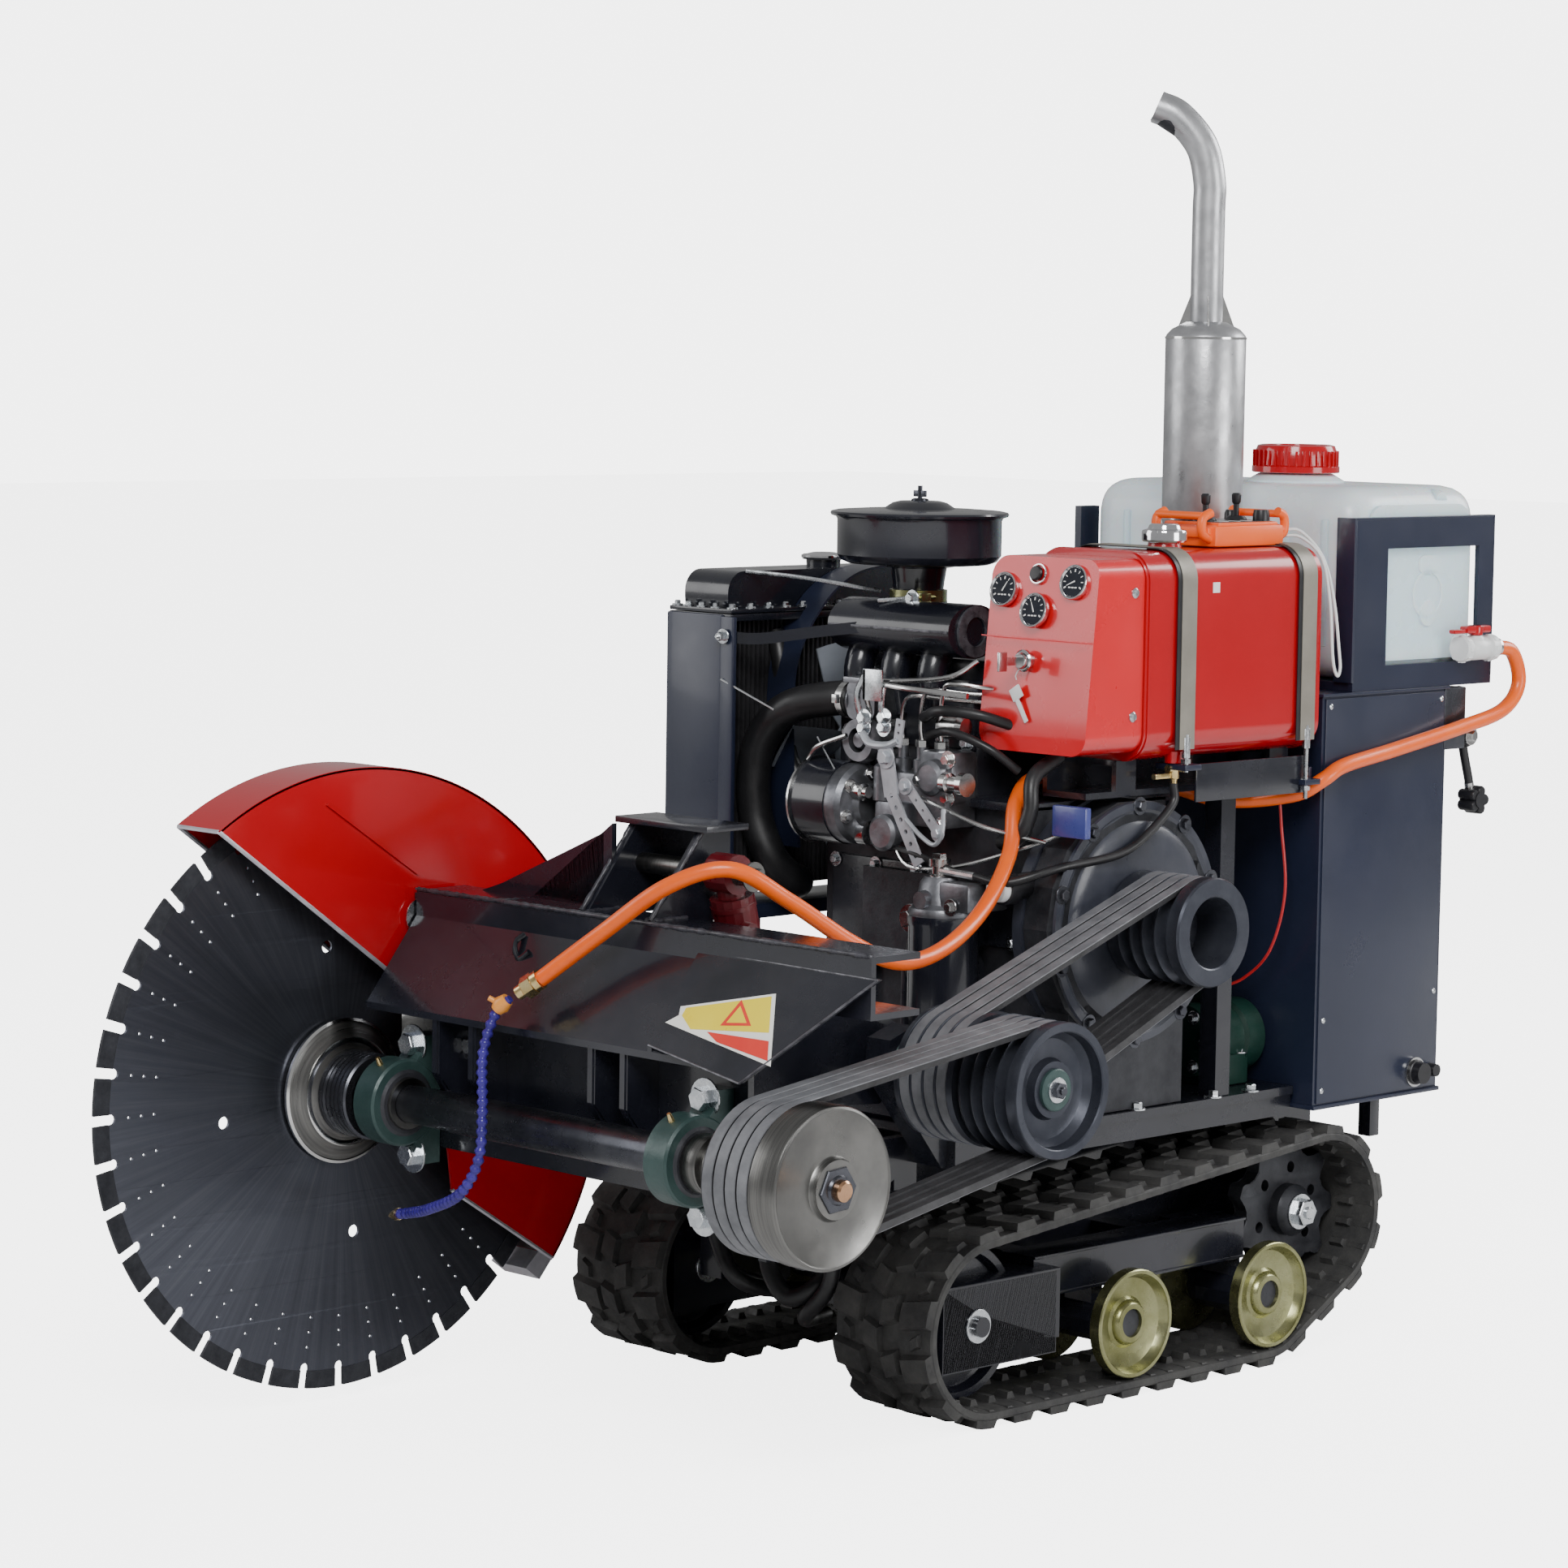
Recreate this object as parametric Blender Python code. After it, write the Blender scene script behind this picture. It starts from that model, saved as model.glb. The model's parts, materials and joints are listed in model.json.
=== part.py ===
"""Walk-behind concrete saw on rubber tracks: one mesh object per sub-part.

Lengths are metres. The points below are written from the blade: X from the blade plane towards
the pulleys, Y from the blade axle towards the rear, Z up. ORIGIN moves them so that the finished
saw stands on Z = 0 with its bounding box centred on the Z axis.
"""
import math

import bmesh
import bpy
from mathutils import Vector

# ---------------------------------------------------------------- driving dimensions
ORIGIN = Vector((0.4530, 0.6080, -0.010))     # world origin in the coordinates used below

BLADE_RADIUS = 0.400
BLADE_CORE_RADIUS = 0.372
BLADE_THICKNESS = 0.0036
BLADE_SEGMENTS = 40
BLADE_PIN_HOLES = 4
BLADE_PIN_RADIUS = 0.195
AXLE = (0.0, 0.410)                           # y, z of the blade axle
AXLE_RADIUS = 0.0250
AXLE_END_RADIUS = 0.0185
AXLE_TIP = 0.952
GUARD_RADIUS = 0.435
GUARD_WALL = 0.006
GUARD_HALF_WIDTH = 0.045

JACKSHAFT = (0.434, 0.478)                    # y, z; the blade arm turns about it
JACKSHAFT_RADIUS = 0.0225
CRANK = (0.837, 0.635)                        # y, z of the engine's power take-off
PULLEY_SEAT_RADIUS = 0.076                    # jackshaft pulleys, under the belts
CRANK_SEAT_RADIUS = 0.063
AXLE_SEAT_RADIUS = 0.088
BELT_HEIGHT = 0.010
BELT_GAP = 0.0005

TRACK_WIDTH = 0.175
TRACK_OUTER_FACE = 0.690
TRACK_CENTRE_X = 0.345                        # the two tracks mirror about this plane
TRACK_BELT = 0.013
TRACK_LUG = 0.0105
TRACK_LUGS = 30
IDLER = (0.546, 0.122, 0.132)                 # y, z, radius over the lugs
SPROCKET = (1.229, 0.188, 0.130)
ROLLERS = ((0.828, 0.090, 0.100), (1.118, 0.090, 0.100))
ROLLER_AXLE_RADIUS = 0.014
SPROCKET_AXLE_RADIUS = 0.016
AXLE_PLAY = 0.0014                            # keeps a faceted axle clear of its faceted bore
RUNNING_GAP = 0.0005

DECK_BOTTOM = 0.335
DECK_TOP = 0.372
HOSE_RADIUS = 0.0105
LIFT_PIN = (0.200, 0.735)                     # y, z of the cylinder's upper pin, on the arm
LIFT_FOOT = (0.330, 0.235)                    # y, z of its lower pin, on the frame
LIFT_X = 0.532
FINE = 18
COARSE = 10

# ---------------------------------------------------------------- scene
for old in list(bpy.data.objects):
    bpy.data.objects.remove(old)

saw = bpy.data.collections.new("walk_behind_concrete_saw")
bpy.context.scene.collection.children.link(saw)
cutters = bpy.data.collections.new("cutters")
bpy.context.scene.collection.children.link(cutters)


def material(name, colour, metallic, roughness, alpha=1.0):
    made = bpy.data.materials.new(name)
    made.use_nodes = True
    shader = made.node_tree.nodes["Principled BSDF"]
    shader.inputs["Base Color"].default_value = (*colour, 1.0)
    shader.inputs["Metallic"].default_value = metallic
    shader.inputs["Roughness"].default_value = roughness
    shader.inputs["Alpha"].default_value = alpha
    return made


FINISHES = {
    "gloss_black": ((0.012, 0.013, 0.018), 0.0, 0.25),
    "navy": ((0.018, 0.022, 0.040), 0.0, 0.38),
    "red": ((0.50, 0.010, 0.018), 0.0, 0.22),
    "dark_red": ((0.16, 0.012, 0.016), 0.0, 0.30),
    "rubber": ((0.030, 0.030, 0.029), 0.0, 0.80),
    "belt": ((0.035, 0.036, 0.038), 0.0, 0.65),
    "iron": ((0.050, 0.052, 0.055), 0.6, 0.50),
    "steel": ((0.42, 0.42, 0.40), 1.0, 0.30),
    "dark_steel": ((0.14, 0.14, 0.15), 0.9, 0.35),
    "zinc": ((0.46, 0.43, 0.22), 0.9, 0.32),
    "aluminium": ((0.45, 0.46, 0.48), 0.9, 0.40),
    "casting_green": ((0.22, 0.30, 0.29), 0.2, 0.45),
    "plastic_black": ((0.016, 0.016, 0.018), 0.0, 0.45),
    "orange": ((0.80, 0.16, 0.010), 0.0, 0.40),
    "purple": ((0.10, 0.06, 0.42), 0.0, 0.35),
    "tank_white": ((0.78, 0.84, 0.86), 0.0, 0.30),
    "chrome": ((0.80, 0.80, 0.81), 1.0, 0.10),
    "exhaust": ((0.48, 0.48, 0.50), 0.9, 0.35),
}


# ---------------------------------------------------------------- mesh builders
def mesh_of(build):
    """A mesh from a function that fills a bmesh, with its faces turned outward."""
    work = bmesh.new()
    build(work)
    bmesh.ops.recalc_face_normals(work, faces=work.faces)
    made = bpy.data.meshes.new("mesh")
    work.to_mesh(made)
    work.free()
    return made


def place(point):
    return Vector(point) - ORIGIN


def box(low, high):
    def build(work):
        bmesh.ops.create_cube(work, size=1.0)
        for corner in work.verts:
            share = corner.co + Vector((0.5, 0.5, 0.5))
            corner.co = place([a + (b - a) * s for a, b, s in zip(low, high, share)])
    return mesh_of(build)


def on_axis(axis, along, across):
    """A point from its distance along an axis and its two other coordinates, in X, Y, Z order."""
    others = list(across)
    others.insert("XYZ".index(axis), along)
    return others


def prism(axis, outline, start, end):
    """A flat outline of the two other coordinates, run from start to end along an axis."""
    def build(work):
        rings = []
        for along in (start, end):
            rings.append([work.verts.new(place(on_axis(axis, along, p))) for p in outline])
        count = len(outline)
        work.faces.new(rings[0])
        work.faces.new(rings[1])
        for i in range(count):
            j = (i + 1) % count
            work.faces.new((rings[0][i], rings[0][j], rings[1][j], rings[1][i]))
    return mesh_of(build)


def circle(centre, radius, segments, phase=0.0):
    return [
        (
            centre[0] + radius * math.cos(phase + 2 * math.pi * i / segments),
            centre[1] + radius * math.sin(phase + 2 * math.pi * i / segments),
        )
        for i in range(segments)
    ]


def cylinder(axis, centre, radius, start, end, segments=COARSE):
    return prism(axis, circle(centre, radius, segments), start, end)


def lathe(axis, centre, profile, segments=FINE):
    """Rings of (along, radius) stacked on an axis. A radius of 0 ends in a point."""
    def build(work):
        rings = []
        for along, radius in profile:
            if radius == 0.0:
                rings.append([work.verts.new(place(on_axis(axis, along, centre)))])
            else:
                ring = circle(centre, radius, segments)
                rings.append([work.verts.new(place(on_axis(axis, along, p))) for p in ring])
        for a, b in zip(rings, rings[1:]):
            for i in range(segments):
                j = (i + 1) % segments
                corners = [a[i % len(a)], a[j % len(a)], b[j % len(b)], b[i % len(b)]]
                work.faces.new(list(dict.fromkeys(corners)))
        for ring in (rings[0], rings[-1]):
            if len(ring) > 1:
                work.faces.new(ring)
    return mesh_of(build)


def ring_lathe(axis, centre, profile, segments=FINE):
    """A closed profile of (along, radius), all off the axis, turned into a ring."""
    def build(work):
        rings = []
        for along, radius in profile:
            ring = circle(centre, radius, segments)
            rings.append([work.verts.new(place(on_axis(axis, along, p))) for p in ring])
        rings.append(rings[0])
        for a, b in zip(rings, rings[1:]):
            for i in range(segments):
                j = (i + 1) % segments
                work.faces.new((a[i], a[j], b[j], b[i]))
    return mesh_of(build)


def tube(points, radius, segments=8):
    """A round bar swept along points, with its frame carried from one point to the next."""
    line = [place(p) for p in points]

    def build(work):
        headings = []
        for i in range(len(line)):
            before = line[max(i - 1, 0)]
            after = line[min(i + 1, len(line) - 1)]
            headings.append((after - before).normalized())
        side = headings[0].orthogonal().normalized()
        rings = []
        for point, heading in zip(line, headings):
            side = (side - heading * side.dot(heading)).normalized()
            up = heading.cross(side)
            rings.append([
                work.verts.new(point + radius * (math.cos(a) * side + math.sin(a) * up))
                for a in (2 * math.pi * k / segments for k in range(segments))
            ])
        for a, b in zip(rings, rings[1:]):
            for i in range(segments):
                j = (i + 1) % segments
                work.faces.new((a[i], a[j], b[j], b[i]))
        work.faces.new(rings[0])
        work.faces.new(rings[-1])
    return mesh_of(build)


def leaf(corners, thickness):
    """A flat sheet over convex corners in order, thickened along +Y."""
    def build(work):
        front = [work.verts.new(place(c)) for c in corners]
        back = [work.verts.new(place((c[0], c[1] + thickness, c[2]))) for c in corners]
        count = len(corners)
        work.faces.new(front)
        work.faces.new(back)
        for i in range(count):
            j = (i + 1) % count
            work.faces.new((front[i], front[j], back[j], back[i]))
    return mesh_of(build)


def smooth_path(points, steps=4):
    """Points along a Catmull-Rom curve through the given ones."""
    knots = [Vector(p) for p in points]
    knots = [2 * knots[0] - knots[1]] + knots + [2 * knots[-1] - knots[-2]]
    out = []
    for a, b, c, d in zip(knots, knots[1:], knots[2:], knots[3:]):
        for k in range(steps):
            t = k / steps
            out.append(
                0.5 * (2 * b + (c - a) * t + (2 * a - 5 * b + 4 * c - d) * t * t
                       + (3 * b - a - 3 * c + d) * t ** 3)
            )
    out.append(knots[-2])
    return out


def rounded(low, high, radius, steps=3):
    """A rectangle of two coordinates with rounded corners."""
    corners = (
        (high[0] - radius, high[1] - radius, 0.0),
        (low[0] + radius, high[1] - radius, 0.5 * math.pi),
        (low[0] + radius, low[1] + radius, math.pi),
        (high[0] - radius, low[1] + radius, 1.5 * math.pi),
    )
    outline = []
    for y, z, start in corners:
        for k in range(steps + 1):
            angle = start + 0.5 * math.pi * k / steps
            outline.append((y + radius * math.cos(angle), z + radius * math.sin(angle)))
    return outline


# ---------------------------------------------------------------- objects
def helper(name, mesh):
    made = bpy.data.objects.new(name, mesh)
    made.display_type = "WIRE"
    made.hide_render = True
    cutters.objects.link(made)
    return made


def part(name, finish, body, join=(), cut=()):
    """One node: a body with other shapes joined to it or cut from it."""
    if finish not in bpy.data.materials:
        material(finish, *FINISHES[finish])
    made = bpy.data.objects.new(name, body)
    body.materials.append(bpy.data.materials[finish])
    saw.objects.link(made)
    for operation, shapes in (("UNION", join), ("DIFFERENCE", cut)):
        for i, shape in enumerate(shapes):
            modifier = made.modifiers.new(f"{operation.lower()}_{i}", "BOOLEAN")
            modifier.operation = operation
            modifier.solver = "EXACT"
            modifier.object = helper(f"{name}_{operation.lower()}_{i}", shape)
    return made


def other_side(x):
    return 2 * TRACK_CENTRE_X - x


def spread(side, low, high):
    """An X span on the left (+X) side, or the same span on the right side."""
    if side == "left":
        return low, high
    return other_side(high), other_side(low)


# ---------------------------------------------------------------- tracks
def hull(points):
    """Convex outline of flat points, counter-clockwise."""
    points = sorted(set(points))

    def half(run):
        out = []
        for p in run:
            while len(out) > 1:
                a, b = out[-2], out[-1]
                if (b[0] - a[0]) * (p[1] - a[1]) - (b[1] - a[1]) * (p[0] - a[0]) > 1e-12:
                    break
                out.pop()
            out.append(p)
        return out[:-1]
    return half(points) + half(points[::-1])


def belt_outline(wheels, inset, segments=20):
    points = []
    for y, z, radius in wheels:
        phase = -0.5 * math.pi
        points += [
            (round(p[0], 6), round(p[1], 6))
            for p in circle((y, z), radius - inset, segments, phase)
        ]
    return hull(points)


def walk(outline, distance):
    """The point at a distance along a closed outline, and the heading there."""
    count = len(outline)
    while True:
        for i in range(count):
            a, b = Vector(outline[i]), Vector(outline[(i + 1) % count])
            length = (b - a).length
            if distance <= length:
                return a + (b - a) * (distance / length), (b - a) / length
            distance -= length


def perimeter(outline):
    ends = outline[1:] + outline[:1]
    return sum((Vector(b) - Vector(a)).length for a, b in zip(outline, ends))


def track_outline():
    """The belt's outer outline with its bars, each bar flat on top."""
    wheels = (IDLER, SPROCKET) + ROLLERS
    base = belt_outline(wheels, TRACK_LUG)
    pitch = perimeter(base) / TRACK_LUGS
    outline = []
    for i in range(TRACK_LUGS):
        for share, height in ((0.20, 0.0), (0.26, TRACK_LUG), (0.74, TRACK_LUG), (0.80, 0.0)):
            point, heading = walk(base, (i + share) * pitch)
            outward = Vector((heading.y, -heading.x))
            outline.append(tuple(point + outward * height))
    return outline


TRACK_OUTLINE = track_outline()
TRACK_INSIDE = belt_outline((IDLER, SPROCKET) + ROLLERS, TRACK_LUG + TRACK_BELT)
WHEEL_INSET = TRACK_LUG + TRACK_BELT + RUNNING_GAP

for side in ("left", "right"):
    low, high = spread(side, TRACK_OUTER_FACE - TRACK_WIDTH, TRACK_OUTER_FACE)
    part(
        f"{side}_track",
        "rubber",
        prism("X", TRACK_OUTLINE, low, high),
        cut=[prism("X", TRACK_INSIDE, low - 0.01, high + 0.01)],
    )

    beam = spread(side, 0.572, 0.633)
    fork_inner = spread(side, 0.548, 0.568)
    fork_outer = spread(side, 0.637, 0.658)
    fork_span = spread(side, 0.548, 0.658)
    hub = spread(side, 0.557, 0.648)
    motor = spread(side, 0.516, 0.574)
    mount = spread(side, 0.541, 0.570)
    tie = spread(side, 0.543, 0.600)
    joins = [
        box((fork_inner[0], 0.480, 0.065), (fork_inner[1], 0.700, 0.178)),
        box((fork_outer[0], 0.480, 0.065), (fork_outer[1], 0.700, 0.178)),
        box((fork_span[0], 0.662, 0.085), (fork_span[1], 0.706, 0.178)),
        cylinder("X", SPROCKET[:2], 0.058, *motor),
        box((mount[0], 1.040, 0.150), (mount[1], 1.200, 0.190)),
        box((tie[0], 1.040, 0.152), (tie[1], 1.085, 0.188)),
    ]
    cuts = [cylinder("X", IDLER[:2], ROLLER_AXLE_RADIUS + AXLE_PLAY, -0.1, 0.8, 12)]
    for y, z, _ in ROLLERS:
        joins.append(cylinder("X", (y, z), 0.034, *hub))
        joins.append(box((beam[0] + 0.006, y - 0.024, z), (beam[1] - 0.006, y - 0.002, 0.150)))
        cuts.append(cylinder("X", (y, z), ROLLER_AXLE_RADIUS + AXLE_PLAY, -0.1, 0.8, 12))
    cuts.append(cylinder("X", SPROCKET[:2], SPROCKET_AXLE_RADIUS + AXLE_PLAY, -0.1, 0.8, 12))
    part(
        f"{side}_track_frame",
        "gloss_black",
        box((beam[0], 0.680, 0.137), (beam[1], 1.116, 0.192)),
        join=joins,
        cut=cuts,
    )

    wheel = spread(side, 0.580, 0.625)
    axle = spread(side, 0.535, 0.668)
    part(
        f"{side}_idler",
        "dark_steel",
        cylinder("X", IDLER[:2], IDLER[2] - WHEEL_INSET - 0.001, *wheel, segments=FINE),
        join=[cylinder("X", IDLER[:2], ROLLER_AXLE_RADIUS, *axle, segments=12)],
    )

    teeth = []
    tip = SPROCKET[2] - WHEEL_INSET - 0.001
    for i in range(9):
        for turn, radius in ((-0.33, 0.086), (-0.16, tip), (0.16, tip), (0.33, 0.086)):
            angle = 2 * math.pi * (i + turn) / 9
            teeth.append((
                SPROCKET[0] + radius * math.cos(angle),
                SPROCKET[1] + radius * math.sin(angle),
            ))
    disc = spread(side, 0.590, 0.616)
    stub = spread(side, 0.530, 0.662)
    boss = spread(side, 0.577, 0.640)
    part(
        f"{side}_sprocket",
        "iron",
        prism("X", teeth, *disc),
        join=[
            cylinder("X", SPROCKET[:2], SPROCKET_AXLE_RADIUS, *stub, segments=12),
            cylinder("X", SPROCKET[:2], 0.036, *boss),
        ],
    )

    for number, (y, z, radius) in enumerate(ROLLERS, 1):
        rim = radius - WHEEL_INSET - 0.001
        profile = [
            (0.517, 0.050), (0.517, rim), (0.536, rim), (0.540, 0.040), (0.551, 0.026),
            (0.5565, 0.014), (0.6485, 0.014), (0.654, 0.026), (0.665, 0.040), (0.669, rim),
            (0.688, rim), (0.688, rim - 0.010), (0.672, 0.044), (0.681, 0.030), (0.681, 0.0),
        ]
        if side == "right":
            profile = [(other_side(x), r) for x, r in profile]
        part(f"{side}_roller_{number}", "zinc", lathe("X", (y, z), profile, segments=12))

# ---------------------------------------------------------------- main frame
JACK_BORE = JACKSHAFT_RADIUS + RUNNING_GAP
frame_joins = [
    box((0.600, 0.500, DECK_BOTTOM), (0.655, 1.184, DECK_TOP)),
    box((0.035, 0.500, DECK_BOTTOM), (0.090, 1.184, DECK_TOP)),
    box((0.040, 0.500, DECK_BOTTOM), (0.650, 0.550, DECK_TOP)),
    box((0.040, 0.820, DECK_BOTTOM), (0.650, 0.880, DECK_TOP)),
    box((0.040, 1.130, DECK_BOTTOM), (0.650, 1.184, DECK_TOP)),
    box((0.030, 0.560, DECK_TOP - 0.008), (0.660, 1.184, DECK_TOP + 0.004)),
    box((0.205, 0.470, 0.130), (0.247, 1.440, DECK_BOTTOM + 0.006)),
    box((0.443, 0.470, 0.130), (0.485, 1.440, DECK_BOTTOM + 0.006)),
    box((0.210, 1.390, 0.200), (0.480, 1.436, DECK_BOTTOM)),
    box((0.119, 0.708, 0.142), (0.5715, 0.748, 0.186)),
    box((0.119, 0.960, 0.142), (0.5715, 1.000, 0.186)),
]
for x in (0.262, 0.600):
    bearing_plate = [
        (0.560, DECK_BOTTOM + 0.002), (0.560, 0.400), (0.478, 0.515), (0.434, 0.530),
        (0.390, 0.515), (0.384, 0.470), (0.490, DECK_BOTTOM + 0.002),
    ]
    frame_joins.append(prism("X", bearing_plate, x, x + 0.040))
for x in (LIFT_X - 0.042, LIFT_X + 0.027):
    ear = [
        (0.500, 0.370), (0.500, 0.330), (0.440, 0.300), (0.352, 0.215), (0.305, 0.215),
        (0.300, 0.250), (0.330, 0.290), (0.420, 0.370),
    ]
    frame_joins.append(prism("X", ear, x, x + 0.015))
frame_joins.append(box((LIFT_X - 0.060, 0.470, 0.300), (LIFT_X + 0.042, 0.512, 0.345)))
frame_joins.append(cylinder("X", LIFT_FOOT, 0.010, LIFT_X - 0.046, LIFT_X + 0.046))
part(
    "main_frame",
    "navy",
    box((0.220, 0.475, 0.215), (0.470, 0.515, 0.320)),
    join=frame_joins,
    cut=[cylinder("X", JACKSHAFT, JACK_BORE, -0.1, 0.8, segments=FINE)],
)

# ---------------------------------------------------------------- engine
part(
    "engine_block",
    "iron",
    box((0.205, 0.705, 0.440), (0.592, 0.975, 0.792)),
    join=[
        box((0.235, 0.730, 0.3775), (0.560, 0.945, 0.450)),
        box((0.300, 0.680, 0.560), (0.480, 0.710, 0.690)),
        box((0.240, 0.970, 0.560), (0.560, 0.990, 0.770)),
    ],
)
part(
    "cylinder_head",
    "aluminium",
    box((0.215, 0.715, 0.7925), (0.478, 0.965, 0.945)),
    join=[
        box((0.235, 0.765, 0.940), (0.460, 0.920, 0.975)),
        box((0.250, 0.665, 0.945), (0.450, 0.770, 0.995)),
        box((0.290, 0.680, 0.850), (0.320, 0.720, 0.950)),
        box((0.390, 0.680, 0.850), (0.420, 0.720, 0.950)),
        cylinder("Z", (0.305, 0.775), 0.030, 0.960, 1.079),
        box((0.2905, 0.650, 0.892), (0.345, 0.725, 0.950)),
    ],
)
part(
    "air_filter",
    "plastic_black",
    lathe("Z", (0.305, 0.775), [
        (1.0795, 0.034), (1.105, 0.038), (1.109, 0.118), (1.121, 0.124), (1.165, 0.124),
        (1.175, 0.112), (1.181, 0.060), (1.189, 0.050), (1.193, 0.010), (1.211, 0.008),
        (1.213, 0.0),
    ]),
)
part(
    "flywheel_housing",
    "iron",
    ring_lathe("X", CRANK, [
        (0.5925, 0.040), (0.5925, 0.150), (0.610, 0.166), (0.652, 0.166), (0.664, 0.150),
        (0.664, 0.040),
    ]),
    join=[box((0.600, 0.720, 0.3775), (0.650, 0.954, 0.520))],
)
part(
    "injection_pump",
    "aluminium",
    box((0.358, 0.625, 0.735), (0.490, 0.7045, 0.800)),
    join=[
        box((0.366, 0.640, 0.790), (0.490, 0.7045, 0.845)),
        cylinder("Y", (0.398, 0.748), 0.026, 0.610, 0.630),
        cylinder("Z", (0.385, 0.668), 0.010, 0.840, 0.885),
        cylinder("Z", (0.421, 0.668), 0.010, 0.840, 0.885),
        cylinder("Z", (0.457, 0.668), 0.010, 0.840, 0.885),
    ],
)
part(
    "oil_filter",
    "plastic_black",
    lathe("Z", (0.502, 0.630), [
        (0.500, 0.0), (0.500, 0.038), (0.508, 0.048), (0.632, 0.048), (0.640, 0.044),
        (0.652, 0.044), (0.652, 0.0),
    ]),
    join=[box((0.486, 0.665, 0.600), (0.522, 0.7045, 0.640))],
)
part(
    "alternator",
    "aluminium",
    lathe("X", (0.645, 0.780), [
        (0.238, 0.0), (0.238, 0.030), (0.250, 0.034), (0.252, 0.050), (0.260, 0.055),
        (0.332, 0.055), (0.342, 0.046), (0.342, 0.0),
    ]),
    join=[box((0.280, 0.680, 0.760), (0.315, 0.7045, 0.800))],
)
part(
    "muffler",
    "exhaust",
    lathe("Z", (0.477, 1.172), [
        (1.150, 0.0), (1.150, 0.046), (1.162, 0.057), (1.424, 0.057), (1.440, 0.040),
        (1.440, 0.0),
    ]),
    join=[
        tube(smooth_path([
            (0.477, 1.172, 1.430), (0.477, 1.172, 1.620), (0.474, 1.169, 1.680),
            (0.452, 1.150, 1.726), (0.420, 1.122, 1.744),
        ]), 0.023, segments=10),
        tube(smooth_path([
            (0.472, 1.172, 1.160), (0.468, 1.166, 1.040), (0.440, 1.110, 0.950),
            (0.390, 1.030, 0.880), (0.370, 0.995, 0.870), (0.370, 0.9690, 0.870),
        ], 2), 0.022, segments=8),
    ],
    cut=[tube([(0.447, 1.1457, 1.729), (0.400, 1.104, 1.757)], 0.0205, segments=10)],
)

# ---------------------------------------------------------------- cooling
part(
    "radiator",
    "navy",
    box((0.014, 0.605, 0.620), (0.086, 1.010, 1.030)),
    join=[
        box((0.006, 0.600, 1.025), (0.100, 1.020, 1.084)),
        box((0.006, 0.600, 0.600), (0.086, 1.020, 0.640)),
        box((-0.002, 0.586, 0.600), (0.132, 0.606, 1.030)),
        box((-0.002, 1.009, 0.600), (0.132, 1.024, 1.030)),
        cylinder("Z", (0.052, 0.840), 0.026, 1.080, 1.100),
        cylinder("X", (0.720, 0.650), 0.022, 0.050, 0.090),
        box((0.050, 0.640, 0.3765), (0.078, 0.700, 0.610)),
        box((0.050, 0.920, 0.3765), (0.078, 0.980, 0.610)),
    ],
)
part(
    "radiator_hose",
    "rubber",
    tube(smooth_path([
        (0.2830, 0.672, 0.919), (0.262, 0.672, 0.919), (0.190, 0.653, 0.905), (0.145, 0.648, 0.876),
        (0.119, 0.645, 0.825), (0.119, 0.646, 0.752), (0.140, 0.656, 0.690), (0.148, 0.690, 0.655),
        (0.130, 0.718, 0.650), (0.105, 0.720, 0.650), (0.0910, 0.720, 0.650),
    ], 2), 0.023, segments=10),
)
fan_blades = []
for i in range(6):
    angle = 2 * math.pi * i / 6
    along = (math.cos(angle), math.sin(angle))
    across = (-along[1], along[0])
    outline = []
    for reach, width in ((0.020, -0.016), (0.150, -0.040), (0.158, 0.020), (0.020, 0.016)):
        outline.append((
            0.835 + reach * along[0] + width * across[0],
            0.835 + reach * along[1] + width * across[1],
        ))
    fan_blades.append(prism("X", outline, 0.116, 0.122))
part(
    "cooling_fan",
    "plastic_black",
    cylinder("X", (0.835, 0.835), 0.040, 0.100, 0.150),
    join=fan_blades + [cylinder("X", (0.835, 0.835), 0.018, 0.145, 0.2045)],
)

# ---------------------------------------------------------------- drive line
CRANK_BELTS = (0.696, 0.780)
part(
    "crank_pulley",
    "iron",
    lathe("X", CRANK, [
        (0.600, 0.0), (0.600, 0.030), (0.672, 0.030), (0.672, 0.074), (0.6945, 0.074),
        (0.6945, CRANK_SEAT_RADIUS), (0.7825, CRANK_SEAT_RADIUS), (0.7825, 0.074),
        (0.802, 0.074), (0.802, 0.054), (0.752, 0.046), (0.752, 0.0),
    ]),
)
part(
    "jackshaft",
    "steel",
    cylinder("X", JACKSHAFT, JACKSHAFT_RADIUS, 0.190, 0.886, segments=FINE),
)
part(
    "jackshaft_pulley",
    "iron",
    ring_lathe("X", JACKSHAFT, [
        (0.686, JACK_BORE), (0.686, 0.088), (0.6945, 0.088), (0.6945, PULLEY_SEAT_RADIUS),
        (0.7825, PULLEY_SEAT_RADIUS), (0.7825, 0.088), (0.800, 0.088),
        (0.800, PULLEY_SEAT_RADIUS), (0.8905, PULLEY_SEAT_RADIUS), (0.8905, 0.088),
        (0.902, 0.088), (0.902, 0.066), (0.862, 0.060), (0.862, JACK_BORE),
    ]),
)


def drive_belts(name, wheels, low, high):
    inside = belt_outline([(y, z, r + BELT_GAP + 0.0008) for y, z, r in wheels], 0.0)
    outside = belt_outline([(y, z, r + BELT_GAP + BELT_HEIGHT) for y, z, r in wheels], 0.0)
    part(
        name,
        "belt",
        prism("X", outside, low, high),
        cut=[prism("X", inside, low - 0.01, high + 0.01)],
    )


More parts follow.
